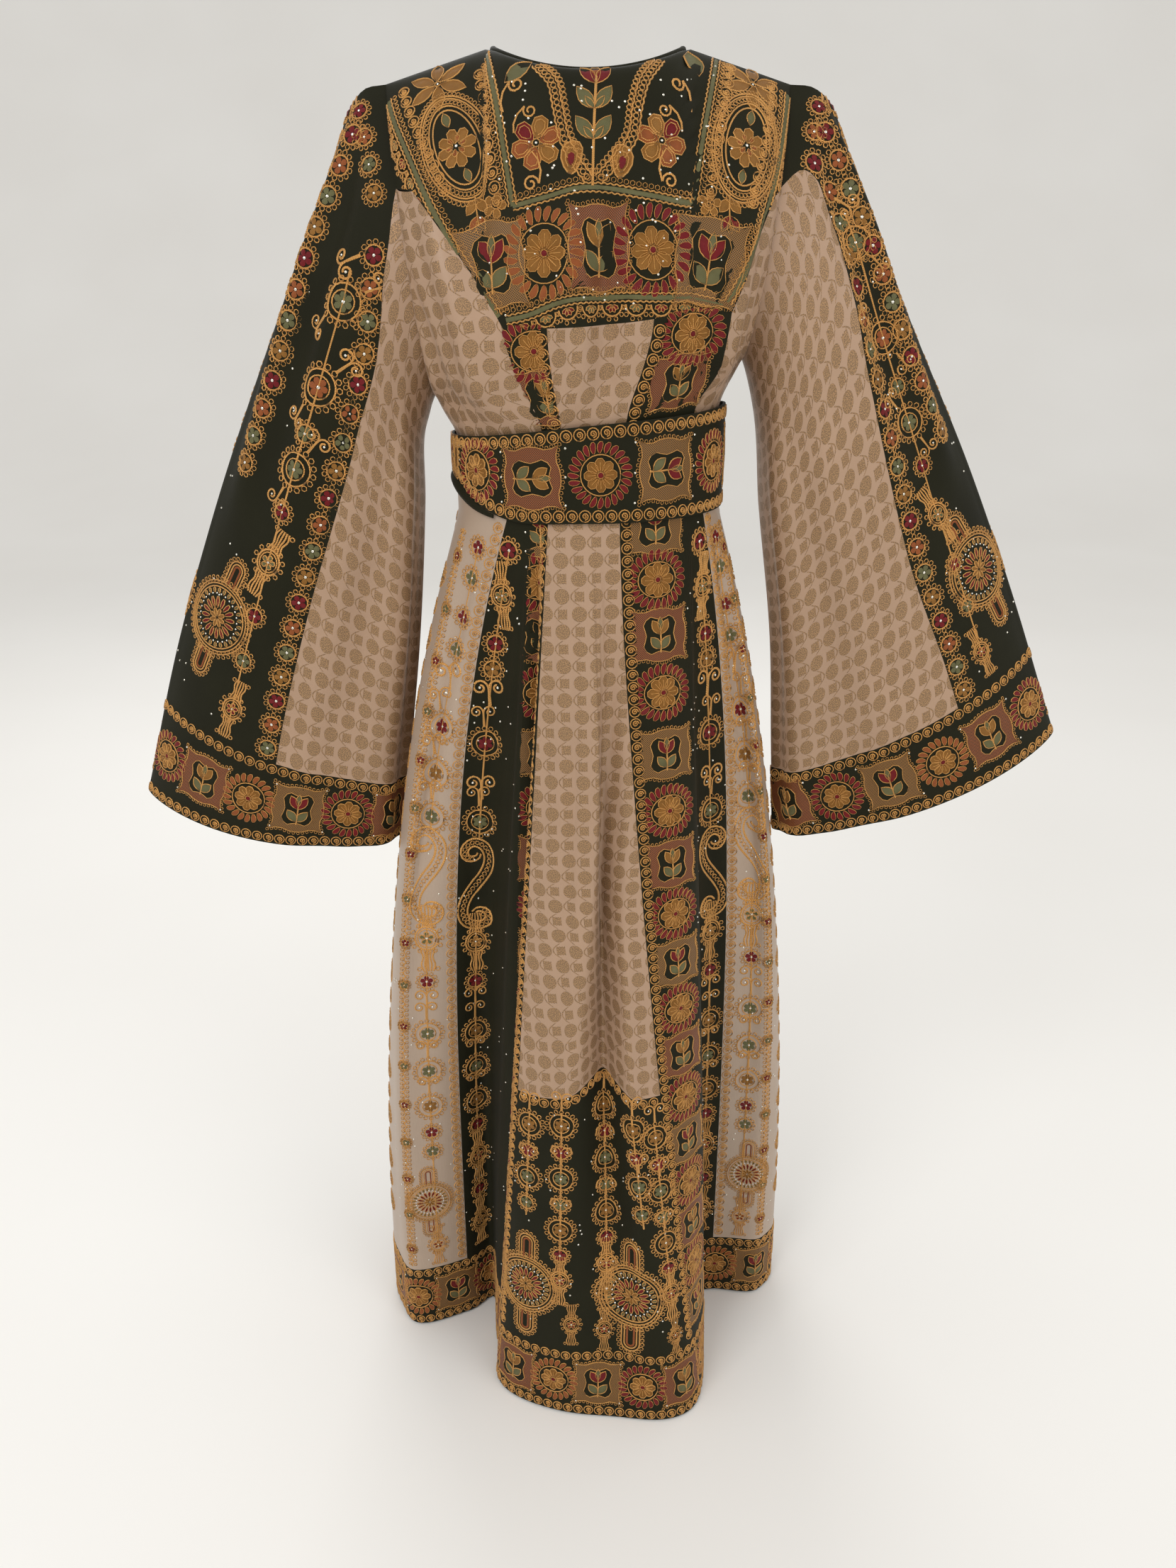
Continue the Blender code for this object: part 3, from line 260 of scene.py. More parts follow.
# The seam between the brocade and the green panel at the foot of the train.
SCALLOP_LEVEL = 0.418
SCALLOP_RISE = 0.022
SCALLOP_FADE = 0.20         # the rows next to the seam straighten out over this height
SCALLOP_MIDDLE = 0.012      # cloth coordinate of the arch's middle
SCALLOP_HALF = 0.0756


def alike(first, second):
    """Two sets of numbers as arrays of one shape."""
    return np.broadcast_arrays(np.asarray(first, float), np.asarray(second, float))


def size_of(vectors):
    """The length of each vector, kept as an axis of its own."""
    return np.linalg.norm(vectors, axis=-1, keepdims=True)


def unit(vectors):
    """Each vector made one long."""
    return vectors / np.maximum(size_of(vectors), TINY)


def length_along(points):
    """How far each point of a line is along it."""
    return np.concatenate([[0.0], np.cumsum(np.linalg.norm(np.diff(points, axis=0), axis=-1))])


def column(rows, names, name):
    """One named column of a table, as an array."""
    return np.array([row[names.index(name)] for row in rows], float)


def curve_through(knots, values, at):
    """A smooth curve through the knots, flat enough between them not to overshoot."""
    step = np.diff(knots)
    slope = np.diff(values) / step
    inner = (slope[:-1] * step[1:] + slope[1:] * step[:-1]) / (step[:-1] + step[1:])
    tangent = np.concatenate([[slope[0]], inner, [slope[-1]]])
    i = np.clip(np.searchsorted(knots, at, side="right") - 1, 0, len(knots) - 2)
    width = step[i]
    t = (at - knots[i]) / width
    return (
        (2 * t**3 - 3 * t**2 + 1) * values[i]
        + (t**3 - 2 * t**2 + t) * width * tangent[i]
        + (3 * t**2 - 2 * t**3) * values[i + 1]
        + (t**3 - t**2) * width * tangent[i + 1]
    )


def smooth(t):
    """0 to 1 with level ends."""
    t = np.clip(t, 0.0, 1.0)
    return t * t * (3 - 2 * t)


def bump(t):
    """1 at the middle of a fold, 0 at its edges."""
    return 0.5 + 0.5 * np.cos(np.pi * np.clip(t, -1.0, 1.0))


def station(name):
    """The cloth coordinate of a named line down the garment."""
    return next(row[1] for row in STATIONS if row[0] == name)


def station_value(name, cloth):
    """A station column interpolated round the garment, which closes at centre front."""
    knots = column(STATIONS, STATION_COLUMNS, "cloth")
    values = column(STATIONS, STATION_COLUMNS, name)
    turn = 360.0 if name in ("chest", "gather", "waist") else 0.0
    last, first = slice(-STATION_WRAP, None), slice(0, STATION_WRAP)
    knots = np.concatenate([knots[last] - CLOTH_ROUND_HEM, knots, knots[first] + CLOTH_ROUND_HEM])
    values = np.concatenate([values[last] - turn, values, values[first] + turn])
    return curve_through(knots, values, cloth)


def ring_value(name, level):
    """A size of the bodice ring at a level."""
    return curve_through(
        column(RINGS, RING_COLUMNS, "level"), column(RINGS, RING_COLUMNS, name), level
    )


def tilt(level):
    """How far the cloth rises towards +X at a level, in metres per metre.

    It rises most at the belt's top and not at all at the hem and the shoulders.
    """
    above = 1 - smooth((level - BELT_TOP_LEVEL) / (TILT_END_LEVEL - BELT_TOP_LEVEL))
    under_belt = smooth((level - WAIST_LOW_LEVEL) / (BELT_TOP_LEVEL - WAIST_LOW_LEVEL))
    below = smooth(level / WAIST_LOW_LEVEL)
    return (TILT_LOW + (TILT_TOP - TILT_LOW) * under_belt) * above * below


def outward(points_of, a, b):
    """The unit normal of a surface function, by small steps, pointing out of the garment."""
    across = points_of(a + SMALL_STEP, b) - points_of(a - SMALL_STEP, b)
    up = points_of(a, b + SMALL_STEP) - points_of(a, b - SMALL_STEP)
    return unit(np.cross(across, up))


def bodice_smooth(angle, level):
    """Bodice without folds: rings up to the underarm, then back and front rising to the shoulders."""
    turn = np.radians(angle)
    half_width = ring_value("half_width", np.minimum(level, UNDERARM_LEVEL))
    x_low = half_width * np.sin(turn)
    back = np.cos(turn) > 0
    deep = np.where(back, ring_value("back_depth", level), ring_value("front_depth", level))
    rise = np.clip((level - UNDERARM_LEVEL) / (SHOULDER_LEVEL - UNDERARM_LEVEL), 0.0, 1.0)
    widened = ring_value("half_width", np.full_like(level, UNDERARM_LEVEL))
    x = x_low + (SHOULDER_HALF_WIDTH - widened) * rise * np.sin(turn)
    edge = ARMHOLE_HALF_DEPTH * np.sqrt(np.maximum(1 - (2 * rise - 1) ** 2, 0.0))
    facing = np.abs(np.cos(turn))
    depth_low = edge + (deep - edge) * facing
    # Top edge: shoulder seam outside the neck, neckline inside it.
    share = np.clip(np.abs(x) / NECK_HALF_WIDTH, 0.0, 1.0)
    arc = np.sqrt(1 - share**2)
    neck_depth = np.where(back, NECK_BACK_DEPTH, NECK_FRONT_DEPTH) * arc
    drop_back = NECK_BACK_DROP * arc**NECK_BACK_CURVE
    drop = np.where(back, drop_back, NECK_FRONT_DROP * arc**NECK_FRONT_CURVE)
    slope = np.clip((np.abs(x) - NECK_HALF_WIDTH) / (SHOULDER_HALF_WIDTH - NECK_HALF_WIDTH), 0.0, 1.0)
    top_level = NECK_SIDE_LEVEL + (SHOULDER_LEVEL - NECK_SIDE_LEVEL) * slope - drop
    over = 1 - np.sqrt(np.maximum(1 - rise**SHOULDER_ROUND, 0.0))
    depth = depth_low * (1 - over) + neck_depth * over
    height = level + (top_level - SHOULDER_LEVEL) * rise + tilt(level) * x
    y = np.where(back, -depth, depth)
    return np.stack([x, y, height - SHOULDER_LEVEL], axis=-1)


def calm(angle, level):
    """1 at the armholes, where the sleeves join and no fold may be, and 0 away from them."""
    from_side = np.abs((angle + 180) % 360 - 180) - 90.0
    rise = smooth((level - ARMHOLE_CALM_LEVEL) / ARMHOLE_CALM_RISE)
    return bump(from_side / ARMHOLE_CALM_ANGLE) * rise


def bodice(angle, level):
    """Bodice with its folds, as points for arrays of angles (degrees from centre back) and levels."""
    angle, level = alike(angle, level)
    base = bodice_smooth(angle, level)
    push = np.zeros_like(level)
    for high, level_high, low, level_low, half, depth in BODICE_FOLDS:
        t = np.clip((level_high - level) / (level_high - level_low), 0.0, 1.0)
        line = high + (low - high) * t
        fade = smooth(t * BODICE_FOLD_START) * smooth((level - BELT_TOP_LEVEL) / BODICE_FOLD_FADE)
        push = push + depth * fade * bump((angle - line) / half)
    push = push * (1 - calm(angle, level))
    return base + push[..., None] * outward(bodice_smooth, angle, level)


def skirt_smooth(cloth, level):
    """Skirt without folds: each line runs from the waist ring to its place at the hem."""
    angle = np.radians(station_value("waist", cloth))
    back = np.cos(angle) > 0
    low = np.full_like(level, WAIST_LOW_LEVEL)
    waist_x = ring_value("half_width", low) * np.sin(angle)
    deep = np.where(back, ring_value("back_depth", low), ring_value("front_depth", low))
    waist_y = -deep * np.cos(angle)
    t = np.clip((WAIST_LOW_LEVEL - level) / WAIST_LOW_LEVEL, 0.0, HEM_OVERRUN)
    ease = station_value("ease", cloth)
    early = 1 - np.maximum(1 - t, 0.0) ** np.maximum(ease, 1.0)
    fall = np.where(ease > 1, early, t ** np.maximum(2 - ease, 1.0))
    x = waist_x + (station_value("hem_x", cloth) - waist_x) * fall
    y = waist_y + (station_value("hem_y", cloth) - waist_y) * fall
    return np.stack([x, y, level + tilt(level) * x - SHOULDER_LEVEL], axis=-1)


def skirt(cloth, level):
    """Skirt with its folds, as points for arrays of cloth coordinates and levels."""
    cloth, level = alike(cloth, level)
    base = skirt_smooth(cloth, level)
    t = np.clip((WAIST_LOW_LEVEL - level) / WAIST_LOW_LEVEL, 0.0, 1.0)
    push = np.zeros_like(level)
    for top, low, half_top, half_low, at_top, at_middle, at_hem in SKIRT_FOLDS:
        line = top + (low - top) * smooth(t * SKIRT_FOLD_DRIFT)
        half = half_top + (half_low - half_top) * t
        depths = np.array([0.0, at_top, at_middle, at_hem])
        depth = curve_through(np.array(SKIRT_FOLD_SHARES), depths, t)
        away = (cloth - line + CLOTH_ROUND_HEM / 2) % CLOTH_ROUND_HEM - CLOTH_ROUND_HEM / 2
        push = push + depth * bump(away / half)
    return base + push[..., None] * outward(skirt_smooth, cloth, level)


def line_angle(cloth, level):
    """Degrees from centre back of a line down the garment, at a level above the skirt."""
    chest, gather, waist = (station_value(name, cloth) for name in ("chest", "gather", "waist"))
    to_gather = smooth((level - WAIST_LOW_LEVEL) / (BELT_TOP_LEVEL - WAIST_LOW_LEVEL))
    to_chest = smooth((level - BELT_TOP_LEVEL) / (CHEST_LEVEL - BELT_TOP_LEVEL))
    return waist + (gather - waist) * to_gather + (chest - gather) * to_chest


def sleeve_smooth(side):
    """The points of a sleeve without folds, for arrays of angle and share of its length."""
    rows = SLEEVES[side]
    shares = column(rows, SLEEVE_COLUMNS, "share")

    def size(name, share):
        return curve_through(shares, column(rows, SLEEVE_COLUMNS, name), share)

    def points(angle, share):
        turn = np.radians(angle)
        outer = np.stack([size("outer_x", share), size("outer_level", share)], axis=-1)
        inner = np.stack([size("inner_x", share), size("inner_level", share)], axis=-1)
        flat = (outer + inner) / 2 + np.cos(turn)[..., None] * (outer - inner) / 2
        point_end = 1 + SLEEVE_POINT * share * np.cos(turn / 2) ** 2
        swing = np.sign(np.sin(turn)) * np.abs(np.sin(turn)) ** point_end
        y = size("forward", share) - size("half_depth", share) * swing
        sag = CUFF_SAG * smooth((share - CUFF_SAG_START) / (1 - CUFF_SAG_START)) * np.sin(turn) ** 2
        return np.stack([flat[..., 0], y, flat[..., 1] - sag - SHOULDER_LEVEL], axis=-1)

    return points


def armhole(side, angle):
    """The edge of the bodice that a sleeve joins, by degrees round the sleeve."""
    turn = np.radians(angle)
    level = UNDERARM_LEVEL + (SHOULDER_LEVEL - UNDERARM_LEVEL) * (1 + np.cos(turn)) / 2
    at = 90.0 + np.where(np.sin(turn) < 0, FRONT_STEP, -FRONT_STEP)
    return bodice(at if side == "right" else -at, level)


def sleeve(side):
    """The points of a sleeve with its folds. Angle 0 is the outer edge, 90 the back, 180 the underarm."""
    smooth_points = sleeve_smooth(side)
    facing = 1.0 if side == "right" else -1.0

    def points(angle, share):
        angle, share = alike(angle, share)
        push = np.zeros_like(share)
        for high, low, half, depth, start, end in SLEEVE_FOLDS:
            t = np.clip((share - start) / (end - start), 0.0, 1.0)
            line = high + (low - high) * t
            away = (angle - line + 180.0) % 360.0 - 180.0
            fade = np.sin(np.pi * t) * smooth(share / SLEEVE_FOLD_FADE)
            push = push + depth * fade * bump(away / half)
        normal = outward(smooth_points, angle, share) * facing
        joined = armhole(side, angle) - smooth_points(angle, np.zeros_like(share))
        fade = 1 - smooth(share / SLEEVE_HEAD_SHARE)
        return smooth_points(angle, share) + push[..., None] * normal + joined * fade[..., None]

    return points


def scallop_level(cloth):
    """The seam at the foot of the brocade: an arch in the middle of the panel."""
    return SCALLOP_LEVEL + SCALLOP_RISE * bump((cloth - SCALLOP_MIDDLE) / SCALLOP_HALF)


def yoke_edges(level, turn_level):
    """The yoke's straight slanted side edges, in degrees: lower corners, top corners, then armholes.

    turn_level is where they have reached the armhole.
    """
    share = np.clip((level - CHEST_LEVEL) / (SIDE_TOP_LEVEL - CHEST_LEVEL), 0.0, 1.0)
    reach = np.clip((level - SIDE_TOP_LEVEL) / (turn_level - SIDE_TOP_LEVEL), 0.0, 1.0)
    edges = []
    for side, sign in SIDES:
        low = np.sin(np.radians(station_value("chest", np.array(station("column_" + side)))))
        across = low + (sign * APEX_REACH[side] - low) * share
        across = across + (sign - across) * reach
        edges.append(np.degrees(np.arcsin(np.clip(across, -1.0, 1.0))))
    return edges


def belt_edge(name, angle):
    """The level of one edge of the belt, by degrees round from centre back."""
    knots = column(BELT_ROWS, BELT_COLUMNS, "angle")
    return curve_through(knots, column(BELT_ROWS, BELT_COLUMNS, name), angle)


def belt_face(angle, level, out):
    """Points on an oval tube about the waist, a distance out from the gathered cloth."""
    turn = np.radians(angle)
    waist = np.full_like(level, WAIST_LOW_LEVEL)
    x = (ring_value("half_width", waist) + out) * np.sin(turn)
    deep = np.where(np.cos(turn) > 0, ring_value("back_depth", waist), ring_value("front_depth", waist))
    return np.stack([x, -(deep + out) * np.cos(turn), level - SHOULDER_LEVEL], axis=-1)


def belt(angle, share):
    """The belt's outer face: degrees round, and share of the height from its lower edge to its top."""
    angle, share = alike(angle, share)
    angle_in_table = (angle + 180.0) % 360.0 - 180.0
    low, top = belt_edge("low", angle_in_table), belt_edge("top", angle_in_table)
    return belt_face(angle, low + (top - low) * share, BELT_CLEARANCE + BELT_CLOTH)


def belt_tail(angle, share):
    """The plain green corner of the belt that shows under its turned-up lower edge on the left."""
    angle, share = alike(angle, share)
    low, high = belt_edge("tail_low", angle), belt_edge("low", angle) - TAIL_GAP
    full = smooth((high - low) / TAIL_SWELL_HEIGHT)
    swell = TAIL_SWELL * np.sin(np.pi * np.clip(share, 0.0, 1.0)) * full
    out = BELT_CLEARANCE + BELT_CLOTH + swell
    return belt_face(angle, low + (high - low) * share, out)


# Soft creases of the cloth, on top of its folds: high end, low end, half width and depth.
# Angles in degrees from centre back, cloth coordinates and depths in metres.
BODICE_CREASES = (
    (-58.0, 1.240, -40.0, 1.100, 5.0, -0.0026),
    (-72.0, 1.215, -50.0, 1.100, 5.5, -0.0030),
    (-66.0, 1.190, -57.0, 1.104, 4.0, 0.0022),
    (-40.0, 1.200, -31.0, 1.104, 3.6, -0.0020),
    (-47.0, 1.180, -43.0, 1.104, 3.0, 0.0018),
    (-20.0, 1.170, -17.0, 1.104, 2.6, -0.0016),
    (-10.0, 1.180, -9.0, 1.104, 2.4, 0.0014),
    (14.0, 1.185, 12.0, 1.104, 2.6, -0.0018),
    (30.0, 1.175, 26.0, 1.104, 3.0, 0.0015),
    (44.0, 1.180, 40.0, 1.104, 3.4, -0.0018),
    (62.0, 1.260, 52.0, 1.104, 4.5, -0.0030),
    (70.0, 1.230, 60.0, 1.104, 4.5, 0.0024),
    (78.0, 1.200, 67.0, 1.104, 4.0, -0.0024),
    (118.0, 1.210, 124.0, 1.100, 5.0, -0.0024),
    (138.0, 1.190, 141.0, 1.100, 4.5, 0.0020),
    (-118.0, 1.210, -124.0, 1.100, 5.0, -0.0024),
    (-138.0, 1.190, -141.0, 1.100, 4.5, 0.0020),
    (168.0, 1.190, 170.0, 1.100, 4.0, -0.0018),
    (-164.0, 1.200, -168.0, 1.100, 4.2, -0.0020),
)
SKIRT_CREASES = (
    (-0.020, 1.020, -0.062, 0.300, 0.016, -0.0030),
    (0.040, 1.020, 0.046, 0.450, 0.014, -0.0026),
    (-0.060, 1.020, -0.085, 0.560, 0.012, 0.0022),
    (0.075, 1.015, 0.060, 0.120, 0.015, 0.0030),
    (-0.215, 1.020, -0.222, 0.240, 0.014, -0.0030),
    (-0.290, 1.020, -0.270, 0.420, 0.012, 0.0020),
    (0.236, 1.020, 0.238, 0.200, 0.015, -0.0034),
    (0.312, 1.015, 0.330, 0.500, 0.012, 0.0020),
    (-0.330, 1.020, -0.350, 0.620, 0.014, -0.0032),
    (0.352, 1.020, 0.362, 0.640, 0.013, -0.0030),
    (0.400, 1.020, 0.408, 0.360, 0.016, 0.0026),
    (-0.400, 1.020, -0.408, 0.360, 0.016, 0.0026),
    (0.500, 1.020, 0.486, 0.260, 0.016, -0.0034),
    (0.640, 1.020, 0.652, 0.100, 0.018, -0.0034),
    (0.690, 1.020, 0.684, 0.300, 0.014, 0.0026),
    (0.745, 1.020, 0.757, 0.120, 0.018, -0.0034),
    (0.795, 1.020, 0.800, 0.380, 0.016, 0.0026),
    (0.850, 1.020, 0.832, 0.100, 0.018, -0.0034),
    (0.905, 1.020, 0.918, 0.260, 0.015, 0.0024),
    (-0.500, 1.020, -0.486, 0.260, 0.016, -0.0034),
    (-0.640, 1.020, -0.652, 0.100, 0.018, -0.0034),
)
# On the sleeves the places are degrees round from the outer edge and shares of the length, upwards.
SLEEVE_CREASES = (
    (36.0, -0.02, 48.0, -0.52, 8.0, -0.0032),
    (66.0, -0.04, 74.0, -0.60, 8.0, 0.0030),
    (96.0, -0.10, 92.0, -0.96, 8.0, -0.0034),
    (108.0, -0.24, 104.0, -0.99, 6.0, 0.0026),
    (128.0, -0.12, 126.0, -0.99, 7.0, -0.0034),
    (152.0, -0.14, 150.0, -0.99, 7.0, 0.0030),
    (172.0, -0.16, 176.0, -0.99, 7.0, -0.0030),
    (-60.0, -0.04, -68.0, -0.70, 9.0, -0.0032),
    (-100.0, -0.12, -98.0, -0.99, 8.0, 0.0030),
    (-140.0, -0.14, -144.0, -0.99, 8.0, -0.0032),
    (12.0, -0.30, 10.0, -0.98, 9.0, 0.0016),
)
CREASE_SKEW = 0.35          # one side of a crease is this much steeper than the other
CREASE_WANDER = 0.22        # how far a crease strays from its straight line, in half widths
CREASE_BENDS = 5.0          # radians of that straying over the crease's length
CREASE_SHIFT = 2.1          # and how much the next crease's is shifted
CREASE_ENDS = 0.7           # below 1 a crease keeps its depth nearer to its ends


def creases(table, a, b, turn):
    """Sum of soft creases: each a skewed bump across a line that wanders, strongest in its middle."""
    push = np.zeros(np.broadcast(a, b).shape)
    for number, (high_a, high_b, low_a, low_b, half, depth) in enumerate(table):
        t = (high_b - b) / (high_b - low_b)
        strength = np.sin(np.pi * np.clip(t, 0.0, 1.0)) ** CREASE_ENDS
        wander = CREASE_WANDER * half * np.sin(CREASE_BENDS * t + CREASE_SHIFT * number)
        away = (a - high_a - (low_a - high_a) * t - wander + turn / 2) % turn - turn / 2
        side = 1 + CREASE_SKEW * np.sign(away) * (1 if number % 2 else -1)
        push = push + depth * strength * bump(away / (half * side))
    return push


def bodice_cloth(angle, level):
    """Bodice with folds and creases, calm at the armholes where the sleeves join."""
    angle, level = alike(angle, level)
    push = creases(BODICE_CREASES, angle, level, 360.0) * (1 - calm(angle, level))
    return bodice(angle, level) + push[..., None] * outward(bodice_smooth, angle, level)


def skirt_cloth(cloth, level):
    """Skirt with folds and creases."""
    push = creases(SKIRT_CREASES, cloth, level, CLOTH_ROUND_HEM)
    return skirt(cloth, level) + push[..., None] * outward(skirt_smooth, cloth, level)


def body_cloth(cloth, level):
    """The whole tube by cloth coordinate: skirt below the belt, bodice above it."""
    cloth, level = alike(cloth, level)
    above = bodice_cloth(line_angle(cloth, level), np.maximum(level, WAIST_LOW_LEVEL))
    below = skirt_cloth(cloth, np.minimum(level, WAIST_LOW_LEVEL))
    return np.where((level > WAIST_LOW_LEVEL)[..., None], above, below)


def sleeve_cloth(side):
    """Sleeve with folds and creases, by degrees round and minus the share of its length."""
    folded = sleeve(side)
    plain = sleeve_smooth(side)
    facing = 1.0 if side == "right" else -1.0

    def points(angle, up):
        angle, up = alike(angle, up)
        push = creases(SLEEVE_CREASES, angle, up, 360.0) * smooth(-up / SLEEVE_FOLD_FADE)
        normal = outward(plain, angle, np.maximum(-up, 0.0)) * facing
        return folded(angle, -up) + push[..., None] * normal

    return points


# Real cloth and thread sizes, in millimetres unless a comment says metres.
MM = 0.001
CREPE_GRAIN = 0.9           # pebble of the crepe, drawn twice as coarse as it is so that it shows
BROCADE_PITCH = 16.7        # square lattice on which discs and small blocks alternate
DISC_RADIUS = 7.4
BLOCK_HALF = 4.6
GRANULE = 0.9               # metallic granules that fill the figures
NET_PITCH = 2.1             # mesh of the net that fills the tiles
SATIN_THREAD = 0.8          # pitch of the threads of satin and satin stitch
CORD_TWIST = 1.7            # length of one twist of the cord
CORD_WIDTH = 1.7
CORD_HEIGHT = 1.1
FILL_HEIGHT = 0.75          # middle of a padded fill
NET_HEIGHT = 0.30
NET_RINGS = 3
SATIN_WAVE = 6.28           # divides the scale of the satin's wave texture, for waves 1.6 wide
STEM_HALF = 0.045           # half width of the brocade's stems, as a share of the lattice
STEM_SWING = 0.47           # how far they swing
BLOCK_RAGGED = 0.02         # how ragged the blocks' edges are
SUNK = 0.25                 # cord edges sink this far into the cloth
CELL = 7.0                  # grid of the cloth where its number of cells isn't given here
YOKE_COLUMNS = 48
SIDE_COLUMNS, SIDE_ROWS = 20, 34
FRONT_COLUMNS = 60
SHOULDER_ROWS = 44
SHOULDER_CROWDING = 2.2     # power by which the rows of the yokes crowd towards the shoulder
SLEEVE_ROWS, OUTER_COLUMNS, UNDER_COLUMNS = 92, 40, 36
CUFF_COLUMNS, CUFF_ROWS = 44, 14
BELT_COLUMNS_ROUND, BELT_ROWS_UP = 64, 12
TAIL_COLUMNS, TAIL_ROWS = 30, 8
NECK_COLUMNS = 48
STRIDE = 0.004              # metres; motifs are carried over the cloth in steps of this length
TRAIL_STEP = 0.003          # metres between the points of a line that motifs are set along
CORD_STEP = 0.004           # metres between the points of a cord along the cloth
WAVING_STEP = 0.0015        # and of one that waves
CHAIN_LIFT = 0.15           # motifs of a chain lie this much higher than its stem


def linear(hex_colour):
    """An sRGB hex colour as linear red, green and blue."""
    parts = [int(hex_colour[i : i + 2], 16) / 255 for i in (1, 3, 5)]
    return tuple(c / 12.92 if c <= 0.04045 else ((c + 0.055) / 1.055) ** 2.4 for c in parts)


def a_colour(name, description, value):
    """A colour that can be changed in the panel."""
    return bpy.props.FloatVectorProperty(
        name=name, description=description, default=linear(value), size=3, subtype="COLOR",
    )


def a_length(name, description, value, low, high):
    """A length in metres that can be changed in the panel."""
    return bpy.props.FloatProperty(
        name=name, description=description, default=value, min=low, max=high, unit="LENGTH",
    )


def a_power(name, description, value):
    """A lamp's power that can be changed in the panel."""
    return bpy.props.FloatProperty(
        name=name, description=description, default=value, min=0.0, unit="POWER",
    )


class ThobeCloth(bpy.types.PropertyGroup):
    """Sizes and colours of the cloths."""

    thickness: a_length("Cloth thickness", "Thickness of the cloth walls", 0.0012, 0.0005, 0.0016)
    green: a_colour("Crepe", "Dark green crepe of yokes, columns, gores and bands", "#1b1a0b")
    ground: a_colour("Brocade ground", "Pinkish satin ground of the brocade", "#a98a70")
    figure: a_colour("Brocade figure", "Metallic granules of the brocade's figures", "#907150")
    ivory: a_colour("Ivory satin", "Satin of the two side panels", "#ac9784")


class ThobeThread(bpy.types.PropertyGroup):
    """Sizes and colours of the embroidery."""

    cord: a_colour("Gold cord", "Twisted gold cord couched in lines", "#cf974e")
    gold: a_colour("Gold satin stitch", "Gold thread that fills petals and leaves", "#8e622b")
    red: a_colour("Red satin stitch", "Dark red silk that fills petals", "#6c0a12")
    rust: a_colour("Rust satin stitch", "Rust brown silk that fills petals and nets", "#8e4c22")
    grey: a_colour("Grey-green satin stitch", "Grey-green silk that fills leaves and strips", "#63603d")
    spiral_pitch: a_length(
        "Spiral pitch", "Distance between the spirals along bands and seams", 0.0122, 0.009, 0.02,
    )
    pair_pitch: a_length("Band pitch", "Distance from a medallion to the tile beside it", 0.0555, 0.045, 0.07)


class ThobeStudio(bpy.types.PropertyGroup):
    """Light and camera."""

    key: a_power("Key light", "Power of the large soft light", 34.0)
    fill: a_power("Fill light", "Power of the soft light on the other side", 16.0)
    pitch: bpy.props.FloatProperty(
        name="Camera pitch", description="How far the camera looks down",
        default=math.radians(22.4), subtype="ANGLE",
    )


class Shader:
    """A material being built, which adds nodes with their settings and links."""

    def __init__(self, name, roughness, **constants):
        self.material = bpy.data.materials.new(name)
        self.material.use_nodes = True
        self.tree = self.material.node_tree
        self.surface = self.tree.nodes["Principled BSDF"]
        self.surface.inputs["Roughness"].default_value = roughness
        for socket, value in constants.items():
            self.surface.inputs[socket.replace("_", " ")].default_value = value

    def add(self, kind, inputs, output=0, **settings):
        """A node with its settings, its inputs set or linked, and the output that is used of it."""
        made = self.tree.nodes.new("ShaderNode" + kind)
        for name, value in settings.items():
            setattr(made, name, value)
        for socket, value in inputs.items():
            if isinstance(value, bpy.types.NodeSocket):
                self.tree.links.new(value, made.inputs[socket])
            else:
                made.inputs[socket].default_value = value
        return made.outputs[output]

    def math(self, operation, *values):
        """A Math node."""
        return self.add("Math", dict(enumerate(values)), operation=operation)

    def noise(self, where, size, detail=2.0):
        """Noise whose grains are about a size in millimetres."""
        inputs = {"Vector": where, "Scale": 1 / (size * MM), "Detail": detail}
        return self.add("TexNoise", inputs, output="Fac")

    def mix(self, share, first, second):
        """Two colours mixed by a share."""
        inputs = {"Factor": share}
        made = self.add("Mix", inputs, output=2, data_type="RGBA").node
        for socket, value in ((made.inputs[6], first), (made.inputs[7], second)):
            if isinstance(value, bpy.types.NodeSocket):
                self.tree.links.new(value, socket)
            else:
                socket.default_value = (*value, 1.0)
        return made.outputs[2]

    def clouded(self, colour, size, dark, light, detail=2.0):
        """Sets the colour, drifting between a darker and a lighter shade of it in soft clouds."""
        self.link("Base Color", self.cloud(colour, size, dark, light, detail))

    def cloud(self, colour, size, dark, light, detail=2.0):
        """A colour that drifts between two shades of it, in clouds of a size in millimetres."""
        noise = self.noise(self.places("Object"), size, detail)
        return self.mix(noise, shade(colour, dark), shade(colour, light))

    def link(self, socket, value):
        """Links a value to a socket of the surface."""
        self.tree.links.new(value, self.surface.inputs[socket])

    def relief(self, height, depth):
        """Bump of a depth in millimetres."""
        self.link("Normal", self.add("Bump", {"Height": height, "Distance": depth * MM, "Strength": 1.0}))

    def places(self, kind="UV"):
        """Coordinates of a kind, and for UV their two parts, in metres on the flat."""
        where = self.add("TexCoord", {}, output=kind)
        if kind != "UV":
            return where
        parts = self.add("SeparateXYZ", {"Vector": where}).node
        return where, parts.outputs["X"], parts.outputs["Y"]


def shade(colour, factor):
    """A colour made lighter or darker."""
    return tuple(min(1.0, c * factor) for c in colour)


def crepe(cloth):
    """Dark green crepe: dull, with a fine pebble and slight clouding where it has been handled."""
    s = Shader("green_silk_crepe", 0.66, Sheen_Weight=0.03, Sheen_Roughness=0.5, Specular_IOR_Level=0.12)
    s.clouded(cloth.green, 60.0, 0.72, 1.35, 3.0)
    s.relief(s.noise(s.places("Object"), CREPE_GRAIN), 0.10)
    return s.material


